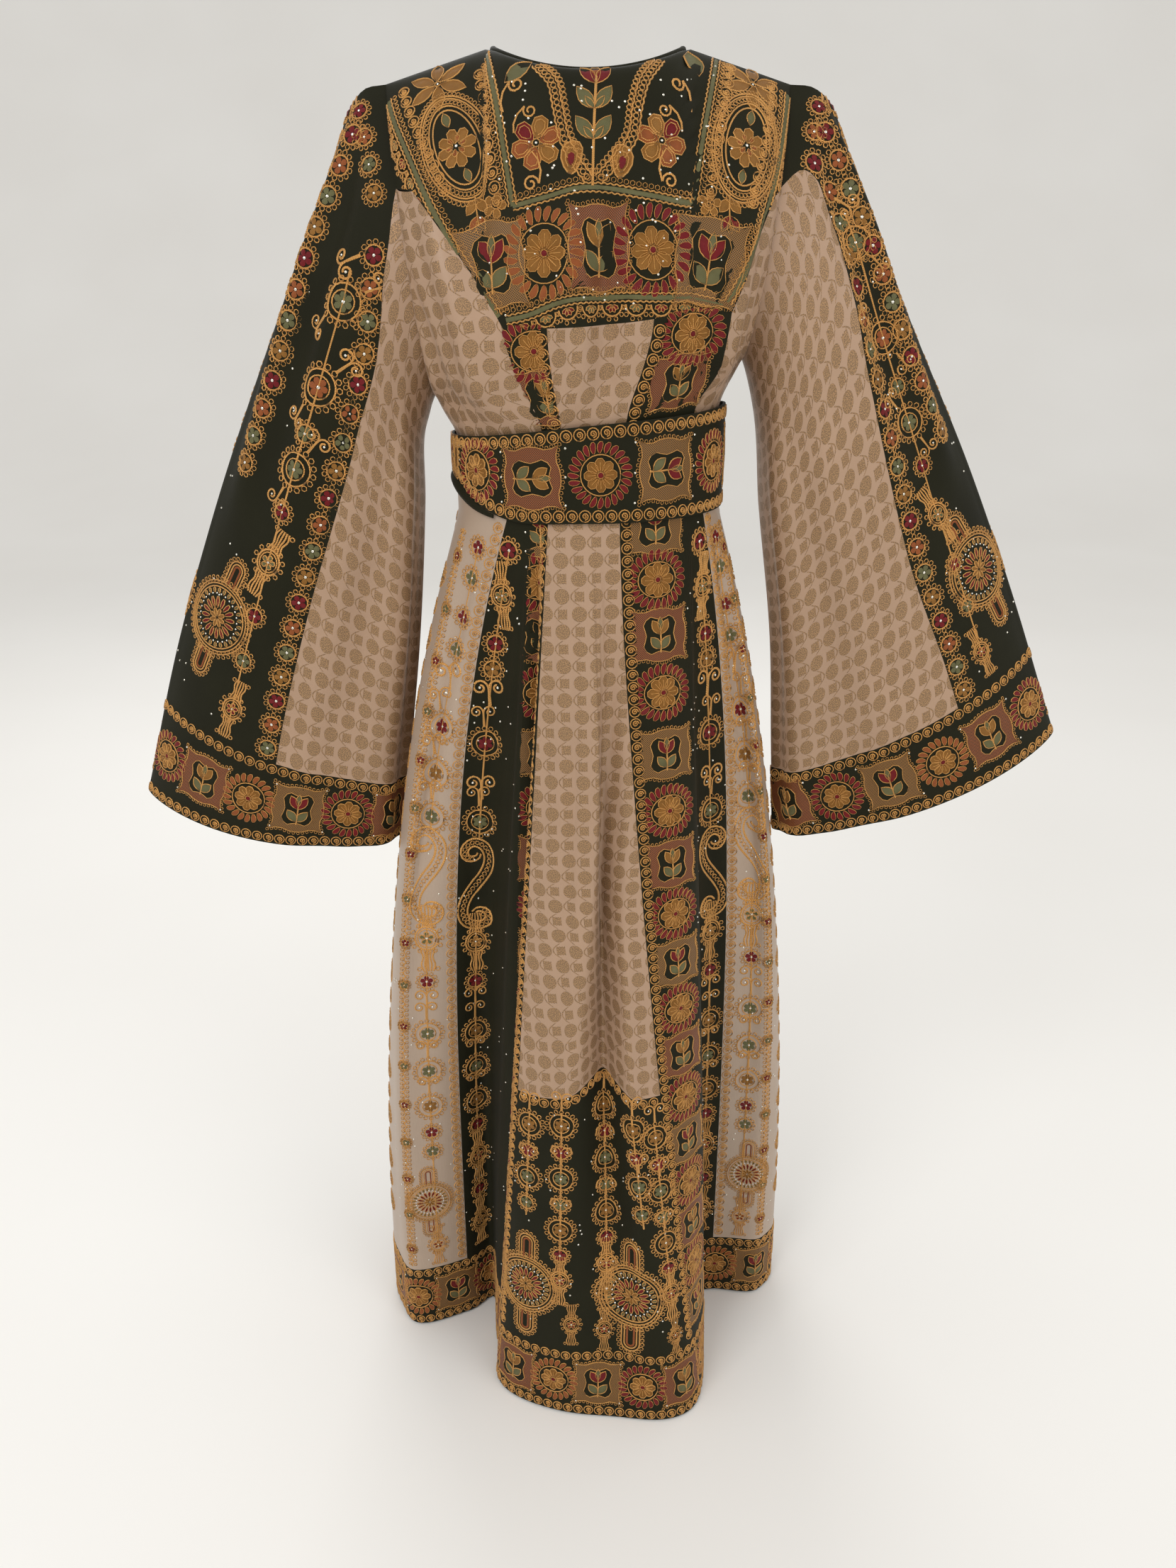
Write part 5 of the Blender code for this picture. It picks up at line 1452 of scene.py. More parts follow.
class Stitches:
    """Embroidery gathered from motifs and cords laid on cloth, made into one piece at the end."""

    def __init__(self):
        self.points, self.places, self.faces, self.threads, self.count = [], [], [], [], 0
        self.inside = None      # where set, only triangles whose middle lies inside are kept

    def keep_between(self, start, end):
        """From here on keeps only what lies between two cloth coordinates, which come back in order."""
        low, high = sorted((start, end))
        self.inside = lambda a, b: (a > low) & (a < high)
        return low, high

    def add(self, points, places, faces, threads):
        """Takes in points, their flat places, triangles and a thread for each triangle."""
        self.points.append(points.reshape(-1, 3))
        self.places.append(places.reshape(-1, 2))
        self.faces.append(faces.reshape(-1, 3) + self.count)
        self.threads.append(threads.ravel())
        self.count += len(self.points[-1])

    def lay(self, cloth, part, a, b, turn=0.0, size=1.0, lift=0.0):
        """Lays a motif at each place, following the cloth.

        Flat places are carried along the cloth, and heights along its normals.
        """
        points, heights, places, faces, threads = part
        if not np.size(a):
            return
        same = np.broadcast_arrays(a, b, turn, size)
        a, b, turn, size = (np.atleast_1d(values).astype(float)[:, None] for values in same)
        flat_x, flat_y = points[:, 0] * size * MM, points[:, 1] * size * MM
        x = flat_x * np.cos(turn) - flat_y * np.sin(turn)
        y = flat_x * np.sin(turn) + flat_y * np.cos(turn)
        at_a, at_b = cloth.moved(a, b, x, y)
        place, normal, _, _ = cloth.at(at_a, at_b)
        made = place + normal * ((heights + lift) * MM)[None, :, None]
        copies = len(a)
        if cloth.facing < 0:
            faces = faces[:, ::-1]
        faces = (faces[None] + (np.arange(copies) * len(points))[:, None, None]).reshape(-1, 3)
        threads = np.tile(threads, copies)
        if self.inside:
            kept = self.inside(at_a.ravel()[faces].mean(1), at_b.ravel()[faces].mean(1))
            faces, threads = faces[kept], threads[kept]
        self.add(made, np.tile(places * MM, (copies, 1)), faces, threads)

    def run(
        self, cloth, a, b, offset=0.0, width=CORD_WIDTH, height=CORD_HEIGHT, thread=CORD,
        wave=0.0, length=0.006,
    ):
        """A cord along a line on the cloth, set off to its left, waving by a height over a length."""
        step = WAVING_STEP if wave else CORD_STEP
        a, b = cloth.evenly(a, b, offset, step)
        if wave:
            way = length_along(cloth.at(a, b)[0])
            swing = wave * np.sin(2 * np.pi * way / length)
            turn = cloth.turns(a, b)
            a, b = cloth.moved(a, b, -swing * np.cos(turn), -swing * np.sin(turn))
        points, normal, _, _ = cloth.at(a, b)
        side = np.cross(normal, np.gradient(points, axis=0)) * cloth.facing
        side *= width / 2 * MM / np.maximum(size_of(side), TINY)
        low = points - normal * SUNK * MM
        made = np.stack([low - side, points + normal * height * MM, low + side])
        count = len(points)
        across = np.repeat([-width / 2, 0, width / 2], count) * MM
        places = np.stack([np.tile(length_along(points), 3), across], 1)
        i = np.arange(count - 1)
        faces = strips(i, i + 1, count, 2)
        if cloth.facing < 0:
            faces = faces[:, ::-1]
        if self.inside:
            faces = faces[self.inside(np.tile(a, 3)[faces].mean(1), np.tile(b, 3)[faces].mean(1))]
        self.add(made, places, faces, np.full(len(faces), thread))

    def row(self, cloth, part, a, b, pitch, offset=0.0):
        """A motif repeated along a line, its y axis pointing along it."""
        a, b, turn = cloth.trail(a, b, pitch, offset)
        self.lay(cloth, part, a, b, turn)

    def spirals(self, cloth, a, b, offset):
        """A row of coils along a line."""
        self.row(cloth, spiral_rosette(), a, b, bpy.context.scene.thobe_thread.spiral_pitch, offset)

    def lay_in_turn(self, cloth, parts, a, b, turn=0.0, size=1.0, lift=0.0):
        """Lays several motifs over a row of places, one after the other and over again."""
        turns = np.broadcast_to(turn, np.shape(a))
        for number, part in enumerate(parts):
            chosen = slice(number, None, len(parts))
            self.lay(cloth, part, a[chosen], b[chosen], turns[chosen], size, lift)

    def scatter(self, cloth, a_range, b_range, count, seed):
        """Stones strewn over a patch, in the same places each time."""
        place = np.random.default_rng(seed)
        a = place.uniform(*a_range, count)
        b = place.uniform(*b_range, count)
        self.lay(cloth, stone(), a, b)

    def make(self, name):
        """The gathered embroidery as one piece."""
        points, places = np.concatenate(self.points), np.concatenate(self.places)
        faces, threads = np.concatenate(self.faces), np.concatenate(self.threads)
        used, faces = np.unique(faces, return_inverse=True)
        points, places, faces = points[used], places[used], faces.reshape(-1, 3)
        _, materials = finishes()
        mesh_piece(name, points, faces, places, materials, threads)
        if len(faces) > MOST_TRIANGLES:
            raise RuntimeError(name + " has too many triangles: " + str(len(faces)))


# Places of motifs on the garment. Levels are above the lowest point of the train, in metres.
# Each row of a chain: level, motif and size.
GORE_CHAIN = (
    (1.000, "flower_red", 1.00),
    (0.955, "shield_grey", 0.95),
    (0.905, "flower_red", 1.00),
    (0.878, "flower_gold", 1.00),
    (0.846, "horns", 1.20),
    (0.795, "crowned_red", 0.95),
    (0.738, "horns", 1.15),
    (0.702, "crowned_grey", 0.95),
    (0.625, "scroll", 1.20),
    (0.548, "shield_gold", 1.05),
    (0.495, "flower_red", 1.00),
    (0.470, "horns", 1.00),
    (0.425, "crowned_gold", 0.92),
    (0.374, "crowned_grey", 0.92),
    (0.325, "crowned_gold", 0.92),
    (0.288, "flower_red", 1.00),
    (0.240, "shield_red", 1.05),
    (0.188, "flower_red", 0.95),
    (0.138, "shield_gold", 1.00),
)
IVORY_CHAIN = (
    (1.000, "flower_red", 0.90),
    (0.970, "flower_grey", 0.95),
    (0.930, "flower_red", 0.90),
    (0.896, "flower_grey", 0.95),
    (0.862, "horns", 1.20),
    (0.812, "crowned_red", 0.95),
    (0.760, "crowned_gold", 1.00),
    (0.710, "crowned_grey", 0.95),
    (0.640, "scroll", 1.22),
    (0.562, "shield_grey", 1.15),
    (0.506, "flower_red", 0.95),
    (0.478, "horns", 1.00),
    (0.436, "crowned_grey", 0.95),
    (0.384, "crowned_grey", 0.95),
    (0.334, "crowned_gold", 0.95),
    (0.296, "flower_red", 0.95),
    (0.268, "flower_grey", 0.95),
    (0.124, "shield_red", 0.85),
)
CHAIN_SIZE = 1.22           # all motifs of the two chains are this much larger again
SCROLL_REACH = 0.055        # the stem of a chain stops this far from its scroll
STEM_WIDTH = 2.2            # millimetres
CHAIN_LINE = {"left": -0.278, "right": 0.310}       # cloth coordinates of the chains on the gores
IVORY_LINE = {"left": -0.338, "right": 0.371}       # and on the ivory panels
# The chains at the foot of the train: cloth coordinate at the top and at the low end, and the levels.
LOWER_CHAINS = (
    (-0.094, -0.092, 0.398, 0.262),
    (-0.048, -0.047, 0.404, 0.168),
    (0.014, 0.008, 0.412, 0.150),
    (0.064, 0.070, 0.400, 0.258),
    (0.107, 0.104, 0.385, 0.150),
)
LOWER_MOTIFS = (
    "crowned_gold", "flower_red", "crowned_grey", "flower_grey", "crowned_gold", "flower_red", "shield_red",
)
LOWER_PITCH = 0.0350
LOWER_SIZE = 1.12
# Cloth coordinate, level and size of the large rounds and the shields beside them.
AMULETS = ((-0.088, 0.168, 1.08), (0.044, 0.162, 1.14))
SHIELDS = ((-0.034, 0.125, 0.95), (0.004, 0.115, 0.95), (0.103, 0.110, 0.80))
COLUMN_LINE = {"left": -0.153, "right": 0.160}
COLUMN_LEVELS = (
    1.180, 1.142, 1.078, 1.022, 0.972, 0.919, 0.862, 0.799, 0.739, 0.681, 0.625, 0.569, 0.514, 0.459,
    0.404, 0.349, 0.294, 0.239, 0.184, 0.130,
)
BELT_MIDDLE = 4.9           # degrees from centre back of the belt's middle medallion
SEAM_INSET = 0.0062         # the rows of spirals run this far inside the seams
BAND_INSET = 0.0068         # and this far inside the edges of bands and belt
SPIRAL_STRIP = 0.0125       # width that a row of spirals takes up beside a seam
SKIRT_ROW_LOW = HEM_BAND + 0.004            # levels where the rows down the skirt's seams end
SKIRT_ROW_TOP = WAIST_LOW_LEVEL - 0.004


# Lines and places on the back yoke: degrees from centre back and levels, and turns in degrees.
YOKE_BOTTOM = (
    (-27.0, 1.203), (-18.0, 1.208), (-10.8, 1.215), (4.9, 1.219), (22.4, 1.214), (38.0, 1.207), (48.5, 1.203),
)
YOKE_LEFT = ((-82.0, 1.378), (-69.0, 1.341), (-53.5, 1.284), (-41.5, 1.243), (-29.5, 1.205))
YOKE_RIGHT = ((82.0, 1.384), (77.5, 1.333), (67.0, 1.277), (56.5, 1.232), (50.0, 1.205))
FRAME_LEFT = ((-29.0, 1.388), (-26.0, 1.352), (-24.2, 1.319), (-22.4, 1.284))
FRAME_RIGHT = ((38.5, 1.392), (36.4, 1.357), (34.3, 1.319), (32.8, 1.279))
FRAME_LOW = ((-22.4, 1.284), (-12.0, 1.295), (-2.8, 1.303), (3.1, 1.304), (14.4, 1.297), (32.8, 1.279))
YOKE_STEM = ((1.3, 1.305), (1.6, 1.348), (2.2, 1.388))
YOKE_LEAF_PLACES = ((1.6, 1.340, 0), (1.9, 1.363, 0), (2.2, 1.382, 0))
YOKE_V_LEFT = ((0.2, 1.310), (-3.6, 1.324), (-6.4, 1.339), (-8.2, 1.363), (-9.9, 1.383), (-13.8, 1.393))
YOKE_V_RIGHT = ((3.1, 1.310), (8.0, 1.324), (12.3, 1.339), (13.5, 1.361), (15.6, 1.381), (19.5, 1.393))
YOKE_PANEL_PLACES = (
    (-14.5, 1.334, 0), (21.0, 1.332, 0), (-4.8, 1.324, 8), (9.6, 1.320, -24), (-16.5, 1.303, 10),
    (24.2, 1.301, -10), (-19.8, 1.374, 0), (-16.0, 1.357, 0), (25.1, 1.370, 0), (21.4, 1.354, 0),
    (-23.2, 1.372, -20), (32.4, 1.372, 20),
)
YOKE_SIDE_PLACES = (
    (-41.0, 1.325, 16), (52.5, 1.331, -6), (-47.0, 1.377, 0), (53.5, 1.381, 0), (-34.8, 1.272, 12),
    (-28.4, 1.281, 0), (38.8, 1.281, 0), (47.5, 1.275, -6),
)
YOKE_ROW_PLACES = (
    (-31.0, 1.240, 14), (-13.2, 1.253, 3), (3.1, 1.258, 0), (19.8, 1.252, -3), (40.5, 1.237, -8),
)
DEGREE_ON_YOKE = 0.003   # about how far one degree round the yoke is, in metres

# Each row: share of the sleeve's length, and the degrees from its outer edge of the outer row and of
# the chain, on the left sleeve and on the right one.
SLEEVE_LINES = (
    (0.05, 36.0, 69.0, 38.0, 47.0),
    (0.17, 35.0, 74.0, 38.0, 46.5),
    (0.35, 40.0, 72.0, 38.0, 50.0),
    (0.55, 36.0, 67.5, 30.0, 54.0),
    (0.85, 29.5, 64.0, 25.0, 50.0),
)
# Each row of the sleeves' chain: share, motif, size and turn in degrees.
SLEEVE_CHAIN = (
    (0.120, "horns", 1.30, 180.0),
    (0.172, "paired_grey", 1.30, 0.0),
    (0.300, "paired_rust", 1.35, 0.0),
    (0.372, "flower_grey", 1.15, 0.0),
    (0.430, "paired_grey", 1.30, 0.0),
    (0.500, "flower_red", 1.15, 0.0),
    (0.580, "shield_grey", 1.30, 0.0),
    (0.662, "flower_red", 1.15, 0.0),
    (0.730, "flower_grey", 1.15, 0.0),
    (0.805, "shield_red", 1.15, 0.0),
)
SLEEVE_CHAIN_SIZE = {"left": 1.0, "right": 0.86}
SLEEVE_AMULET = {"left": 45.0, "right": 38.0}       # degrees from the outer edge
SLEEVE_FLOWERS = ("flower_red", "flower_rust", "flower_grey", "flower_gold")
FLOWER_PITCH = 0.0272
FLOWER_INSET = 0.0115       # the row of flowers beside the seam
FRONT_ROW = -10.0           # degrees from the outer edge, of the outer row on the front
FRONT_CHAIN = -0.52         # the chain on the front, as a share of the way round to the seam
ARMHOLE_ROW = 0.042         # share of the length at which a short row follows the armhole

# Studio, in metres unless a comment says otherwise.
FLOOR_GAP = 0.002           # the floor lies this far below the lowest hem
SWEEP_START, SWEEP_REACH, SWEEP_HEIGHT = 3.5, 9.0, 6.0
WARM_WHITE = (1.0, 0.985, 0.96, 1.0)
LIT_POINT = (0.0, 0.0, -0.6)    # where the lamps are aimed
SENSOR = 36.0               # millimetres, along the photograph's height
FOCAL_LENGTH = 1665.0       # in pixels of the photograph
PHOTO_HEIGHT = 2212.0       # pixels
CAMERA_BACK = 1.207         # behind the middle of the garment
CAMERA_LEVEL = 1.220


def between(start, end, cells):
    """Evenly spaced values from start to end."""
    return np.linspace(start, end, cells + 1)


def cells(length):
    """How many cells of the cloth's grid fit in a length."""
    return max(2, int(round(length / (CELL * MM))))


def skirt_rows(low, high):
    """Levels of rows close enough for the creases."""
    return between(low, high, cells(high - low))


def bodice_rows(low, high):
    """Levels of rows, closer and closer towards the shoulder, where the bodice rounds over."""
    if high < SHOULDER_LEVEL:
        return between(low, high, cells(high - low))
    up = 1 - (1 - between(0.0, 1.0, SHOULDER_ROWS)) ** SHOULDER_CROWDING
    rows = low + (high - low) * up
    return np.sort(np.append(rows, [SIDE_TOP_LEVEL, YOKE_APEX_LEVEL])) if low >= CHEST_LEVEL else rows


def body_panel(name, start, end, low, high, cloth):
    """One panel of the tube between two cloth coordinates and two levels."""
    a, b = np.meshgrid(between(start, end, cells(abs(end - start))), skirt_rows(low, high))
    shell(name, body_cloth, a, b, cloth)


TABLES = {}                 # the surfaces worked out so far
MOTIFS = {}                 # the named motifs made so far


def tabled(name):
    """The surfaces that motifs are laid on, worked out once each."""
    if name not in TABLES:
        if name == "body":
            TABLES[name] = Cloth(body_cloth, between(-0.84, 0.84, 420), between(-0.004, 1.2, 301))
        elif name == "wrap":
            TABLES[name] = Cloth(body_cloth, between(0.40, 1.20, 200), between(-0.004, 1.07, 268))
        elif name in ("yoke_back", "yoke_front"):
            # Up the yoke a place is given as a distance along one line of it, not as a level.
            middle = 35.0 if name == "yoke_back" else 145.0
            low = CHEST_LEVEL - 0.01
            levels = low + (SHOULDER_LEVEL - low) * (1 - between(1, 0, 400) ** 2)
            run = length_along(bodice_cloth(np.full_like(levels, middle), levels))
            TABLES[name + "_levels"] = (run, levels)
            angles = between(-92, 92, 230) if name == "yoke_back" else between(88, 272, 230)

            def yoke(angle, up):
                return bodice_cloth(angle, np.interp(up, run, levels))

            TABLES[name] = Cloth(yoke, angles, between(0, run[-1], 120))
        elif name == "belt":
            TABLES[name] = Cloth(belt, between(-94.0, 274.0, 300), between(0.0, 1.0, 16))
        else:
            side = name.split("_")[1]
            facing = -1.0 if side == "right" else 1.0
            angles, shares = between(-184.0, 184.0, 220), between(-1.0, 0.0, 240)
            TABLES[name] = Cloth(sleeve_cloth(side), angles, shares, facing)
    return TABLES[name]


def yoke_height(name, level):
    """Distance up the yoke from its lower edge at a level."""
    tabled(name)
    run, levels = TABLES[name + "_levels"]
    return np.interp(level, levels, run)


KINDS = {
    "crowned": crowned, "paired": paired, "flower": small_medallion, "ring": ring_medallion, "shield": shield,
}
THREADS = {"red": RED, "gold": GOLD, "grey": GREY, "rust": RUST}


def named(name):
    """A motif by its name, which for most is its kind and its thread."""
    if name not in MOTIFS:
        kind, _, thread = name.partition("_")
        MOTIFS[name] = KINDS[kind](THREADS[thread]) if thread else {"horns": horns, "scroll": scroll}[kind]()
    return MOTIFS[name]


def string(stitches, cloth, line, chain, sign):
    """A chain of named motifs down a line of the body, with a thin stem joining them."""
    levels = [row[0] for row in chain]
    # The stem stops short of the scroll, which stands alone.
    middle = next(row[0] for row in chain if row[1] == "scroll")
    for low, high in ((min(levels), middle - SCROLL_REACH), (middle + SCROLL_REACH, max(levels))):
        stitches.run(cloth, np.full(40, line), between(low, high, 39), width=STEM_WIDTH)
    for level, name, size in chain:
        part = named(name)
        if name == "scroll" and sign < 0:
            part = put(part, mirror=True)
        stitches.lay(cloth, part, line, level, 0.0, size * CHAIN_SIZE, CHAIN_LIFT)


def band(stitches, cloth, start, end, low, high, steps=120):
    """An embroidered band: rows of spirals along its edges, medallions and tiles alternating between."""
    a = between(start, end, steps)
    stitches.spirals(cloth, a, np.full_like(a, low), BAND_INSET)
    stitches.spirals(cloth, a, np.full_like(a, high), -BAND_INSET)
    pitch = bpy.context.scene.thobe_thread.pair_pitch
    at_a, at_b, turn = cloth.trail(a, np.full_like(a, (low + high) / 2), pitch)
    parts = (
        medallion(22, 29.0, RED, GOLD), tile(RUST_NET, GOLD, GREY, 31.0),
        medallion(22, 29.0, RUST, GOLD), tile(GOLD_NET, RED, GREY, 31.0),
    )
    stitches.lay_in_turn(cloth, parts, at_a, at_b, turn + math.pi / 2)
    # A stone stands above and below the middle of each gap.
    gaps_a, gaps_b = (at_a[:-1] + at_a[1:]) / 2, (at_b[:-1] + at_b[1:]) / 2
    for rise in (-0.026, 0.026):
        stitches.lay(cloth, stone(), *cloth.moved(gaps_a, gaps_b, 0.0, rise))


class ThobeOperator(bpy.types.Operator):
    """Shared by the pieces of the thobe."""

    bl_options = {"REGISTER"}

    def execute(self, context):
        """Builds the operator's pieces."""
        self.build(context)
        return {"FINISHED"}


class THOBE_OT_back_skirt(ThobeOperator):
    """Brocade centre panel, green panel at the foot of the train and the two green columns"""

    bl_idname = "thobe.back_skirt"
    bl_label = "Back of the skirt"

    def build(self, context):
        start, end = station("centre_left"), station("centre_right")
        across = between(start, end, cells(end - start))
        under = ["back_yoke_cloth", "belt_back_cloth"]
        panels = (
            ("back_centre_panel", SCALLOP_LEVEL, CHEST_LEVEL, "brocade", "gathered", under),
            ("back_lower_panel", HEM_BAND, SCALLOP_LEVEL, "green", "hung", ["back_centre_panel_cloth"]),
        )
        for name, low, high, cloth, held, rests_on in panels:
            a, level = np.meshgrid(across, skirt_rows(low, high))
            bent = 1 - smooth(np.abs(level - SCALLOP_LEVEL) / SCALLOP_FADE)
            rows = level + (scallop_level(a) - SCALLOP_LEVEL) * bent
            shell(name, body_cloth, a, rows, cloth)
        columns = (
            ("back_column_left", "column_left", "centre_left"),
            ("back_column_right", "centre_right", "column_right"),
        )
        for name, start, end in columns:
            body_panel(name, station(start), station(end), HEM_BAND, CHEST_LEVEL, "green")


class THOBE_OT_side_skirt(ThobeOperator):
    """Green gores and ivory side panels, from under the belt to the hem bands"""

    bl_idname = "thobe.side_skirt"
    bl_label = "Sides of the skirt"

    def build(self, context):
        panels = (
            ("back_gore_left", "ivory_left", "column_left", "green"),
            ("back_gore_right", "column_right", "ivory_right", "green"),
            ("ivory_panel_left", "side_left", "ivory_left", "ivory"),
            ("ivory_panel_right", "ivory_right", "side_right", "ivory"),
            ("front_gore_left", "front_seam_left", "side_left", "green"),
            ("front_gore_right", "side_right", "front_seam_right", "green"),
        )
        for name, start, end, cloth in panels:
            body_panel(name, station(start), station(end), HEM_BAND, WAIST_SEAM_LEVEL, cloth)


class THOBE_OT_front_skirt(ThobeOperator):
    """Brocade panel at the front of the skirt"""

    bl_idname = "thobe.front_skirt"
    bl_label = "Front of the skirt"

    def build(self, context):
        start, end = station("front_seam_right"), station("front_seam_left") + CLOTH_ROUND_HEM
        body_panel(
            "front_skirt_panel", start, end, HEM_BAND, WAIST_SEAM_LEVEL, "brocade",
        )


class THOBE_OT_hem(ThobeOperator):
    """The four green bands round the hem"""

    bl_idname = "thobe.hem"
    bl_label = "Hem bands"

    def build(self, context):
        bands = (
            ("hem_band_train", "column_left", "column_right", 0.0, "back_lower_panel_cloth"),
            ("hem_band_left", "side_left", "column_left", 0.0, "ivory_panel_left_cloth"),
            ("hem_band_right", "column_right", "side_right", 0.0, "ivory_panel_right_cloth"),
            ("hem_band_front", "side_right", "side_left", CLOTH_ROUND_HEM, "front_skirt_panel_cloth"),
        )
        for name, start, end, turn, over in bands:
            body_panel(name, station(start), station(end) + turn, 0.0, HEM_BAND, "green")


class THOBE_OT_bodice(ThobeOperator):
    """Yokes, the brocade sides of the back and the brocade front of the bodice"""

    bl_idname = "thobe.bodice"
    bl_label = "Bodice"

    def build(self, context):
        self.back_yoke()
        for number, side in enumerate(("left", "right")):
            self.back_side(number, side)
        front = between(90 + FRONT_STEP, 270 - FRONT_STEP, FRONT_COLUMNS)
        a, b = np.meshgrid(front, bodice_rows(WAIST_SEAM_LEVEL, CHEST_LEVEL))
        shell("front_bodice", bodice_cloth, a, b, "brocade")
        a, b = np.meshgrid(front, bodice_rows(CHEST_LEVEL, SHOULDER_LEVEL))
        shell("front_yoke", bodice_cloth, a, b, "green")

    def back_yoke(self):
        """The back yoke, whose columns go from those of the panels below to even ones at its top."""
        share, b = np.meshgrid(between(0.0, 1.0, YOKE_COLUMNS), bodice_rows(CHEST_LEVEL, SHOULDER_LEVEL))
        cloth = between(station("column_left"), station("column_right"), YOKE_COLUMNS)
        chest = station_value("chest", cloth)
        share_low = (chest - chest[0]) / (chest[-1] - chest[0])
        rise = smooth((b - CHEST_LEVEL) / (SHOULDER_LEVEL - CHEST_LEVEL))
        share = share_low * (1 - rise) + share * rise
        left, right = yoke_edges(b, YOKE_TURN_LEVEL)
        angle = left + (right - left) * share
        angle[:, 0], angle[:, -1] = yoke_edges(b[:, 0], YOKE_APEX_LEVEL)
        shell("back_yoke", bodice_cloth, angle, b, "green")

    def back_side(self, number, side):
        """A side panel, from the column's seam and the yoke's edge round to the side."""
        rows = np.append(between(WAIST_SEAM_LEVEL, SIDE_ROWS_TOP, SIDE_ROWS), SIDE_TOP_LEVEL)
        t, b = np.meshgrid(between(0.0, 1.0, SIDE_COLUMNS), rows)
        line = line_angle(np.full_like(b, station("column_" + side)), b)
        seam = np.where(b > CHEST_LEVEL, yoke_edges(b, YOKE_APEX_LEVEL)[number], line)
        angle = seam + ((-90.0, 90.0)[number] - seam) * t
        b = b + (YOKE_APEX_LEVEL - SIDE_TOP_LEVEL) * t * (b == SIDE_TOP_LEVEL)
        if side == "left":
            angle, b = angle[:, ::-1], b[:, ::-1]
        shell("back_side_" + side, bodice_cloth, angle, b, "brocade")


class THOBE_OT_sleeves(ThobeOperator):
    """Green outer and brocade under panels of the bell sleeves, with their cuffs"""

    bl_idname = "thobe.sleeves"
    bl_label = "Sleeves"

    def build(self, context):
        rise = (YOKE_APEX_LEVEL - UNDERARM_LEVEL) / (SHOULDER_LEVEL - UNDERARM_LEVEL)
        top_seam = math.degrees(math.acos(2 * rise - 1))
        for side in ("left", "right"):
            points_of = sleeve_cloth(side)
            facing = -1.0 if side == "right" else 1.0
            seams = column(SLEEVES[side], SLEEVE_COLUMNS, "seam")
            seams[0] = top_seam
            shares = column(SLEEVES[side], SLEEVE_COLUMNS, "share")
            down = between(CUFF_SHARE, 0.0, SLEEVE_ROWS)[:, None]
            seam = curve_through(shares, seams, down)
            outer = seam * between(-1.0, 1.0, OUTER_COLUMNS)
            under = seam + (360.0 - 2 * seam) * between(0.0, 1.0, UNDER_COLUMNS)
            panels = (
                ("sleeve_outer_", outer, "green", "back_yoke_cloth"),
                ("sleeve_under_", under, "brocade", "back_side_" + side + "_cloth"),
            )
            for name, angles, cloth, over in panels:
                up = np.broadcast_to(-down, angles.shape)
                shell(name + side, points_of, angles, up, cloth, facing)
            for half, start in (("back", 0.0), ("front", 180.0)):
                round_it = between(start, start + 180.0, CUFF_COLUMNS)
                a, b = np.meshgrid(round_it, between(-1.0, -CUFF_SHARE, CUFF_ROWS))
                name = "cuff_" + side + "_" + half
                shell(name, points_of, a, b, "green", facing)


class THOBE_OT_belt(ThobeOperator):
    """The wide belt in its two halves and its plain corner"""

    bl_idname = "thobe.belt"
    bl_label = "Belt"

    def build(self, context):
        for name, start in (("belt_back", -90.0), ("belt_front", 90.0)):
            round_it = between(start, start + 180.0, BELT_COLUMNS_ROUND)
            a, b = np.meshgrid(round_it, between(0.0, 1.0, BELT_ROWS_UP))
            shell(name, belt, a, b, "green", thickness=BELT_CLOTH)
        a, b = np.meshgrid(between(*TAIL_ANGLES, TAIL_COLUMNS), between(0.0, 1.0, TAIL_ROWS))
        shell("belt_tail", belt_tail, a, b, "green", thickness=TAIL_CLOTH)


class THOBE_OT_neck(ThobeOperator):
    """The round binding of the neckline: a circle carried along the neckline"""

    bl_idname = "thobe.neck"
    bl_label = "Neck binding"

    def build(self, context):
        x = NECK_HALF_WIDTH * np.sin(np.radians(between(-90, 90, NECK_COLUMNS)))
        across = np.degrees(np.arcsin(x / SHOULDER_HALF_WIDTH))
        around_neck = np.concatenate([across, 180 + across[1:-1]])
        edge = bodice_smooth(around_neck, np.full_like(around_neck, SHOULDER_LEVEL))
        inward = unit(edge * (-1.0, -1.0, 0.0))
        below = np.full_like(around_neck, SHOULDER_LEVEL - NECK_EDGE)
        normal = outward(bodice_smooth, around_neck, below)
        lean = np.abs(np.sum(normal * inward, axis=-1, keepdims=True))
        path = edge - normal * CLOTH / 2 + inward * (BINDING_RADIUS + BINDING_GAP + lean * CLOTH / 2)
        way = unit(np.roll(path, -1, axis=0) - np.roll(path, 1, axis=0))
        out = unit(np.cross(way, (0.0, 0.0, 1.0)))
        top = np.cross(out, way)
        turn = np.arange(BINDING_SIDES) / BINDING_SIDES * 2 * np.pi
        circle = np.cos(turn)[:, None] * out[:, None] + np.sin(turn)[:, None] * top[:, None]
        points = path[:, None] + circle * BINDING_RADIUS
        number = np.arange(len(path) * BINDING_SIDES).reshape(len(path), BINDING_SIDES)
        after = np.roll(number, -1, axis=0)
        beside, after_beside = np.roll(number, -1, axis=1), np.roll(after, -1, axis=1)
        faces = np.stack([number, after, after_beside, beside], -1).reshape(-1, 4)
        run = np.repeat(length_along(path), BINDING_SIDES)
        places = np.stack([run, np.tile(turn * BINDING_RADIUS, len(path))], 1)
        cloths, _ = finishes()
        made = mesh_piece("neck_binding_cloth", points.reshape(-1, 3), faces, places, [cloths["green"]])
        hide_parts("neck_binding")


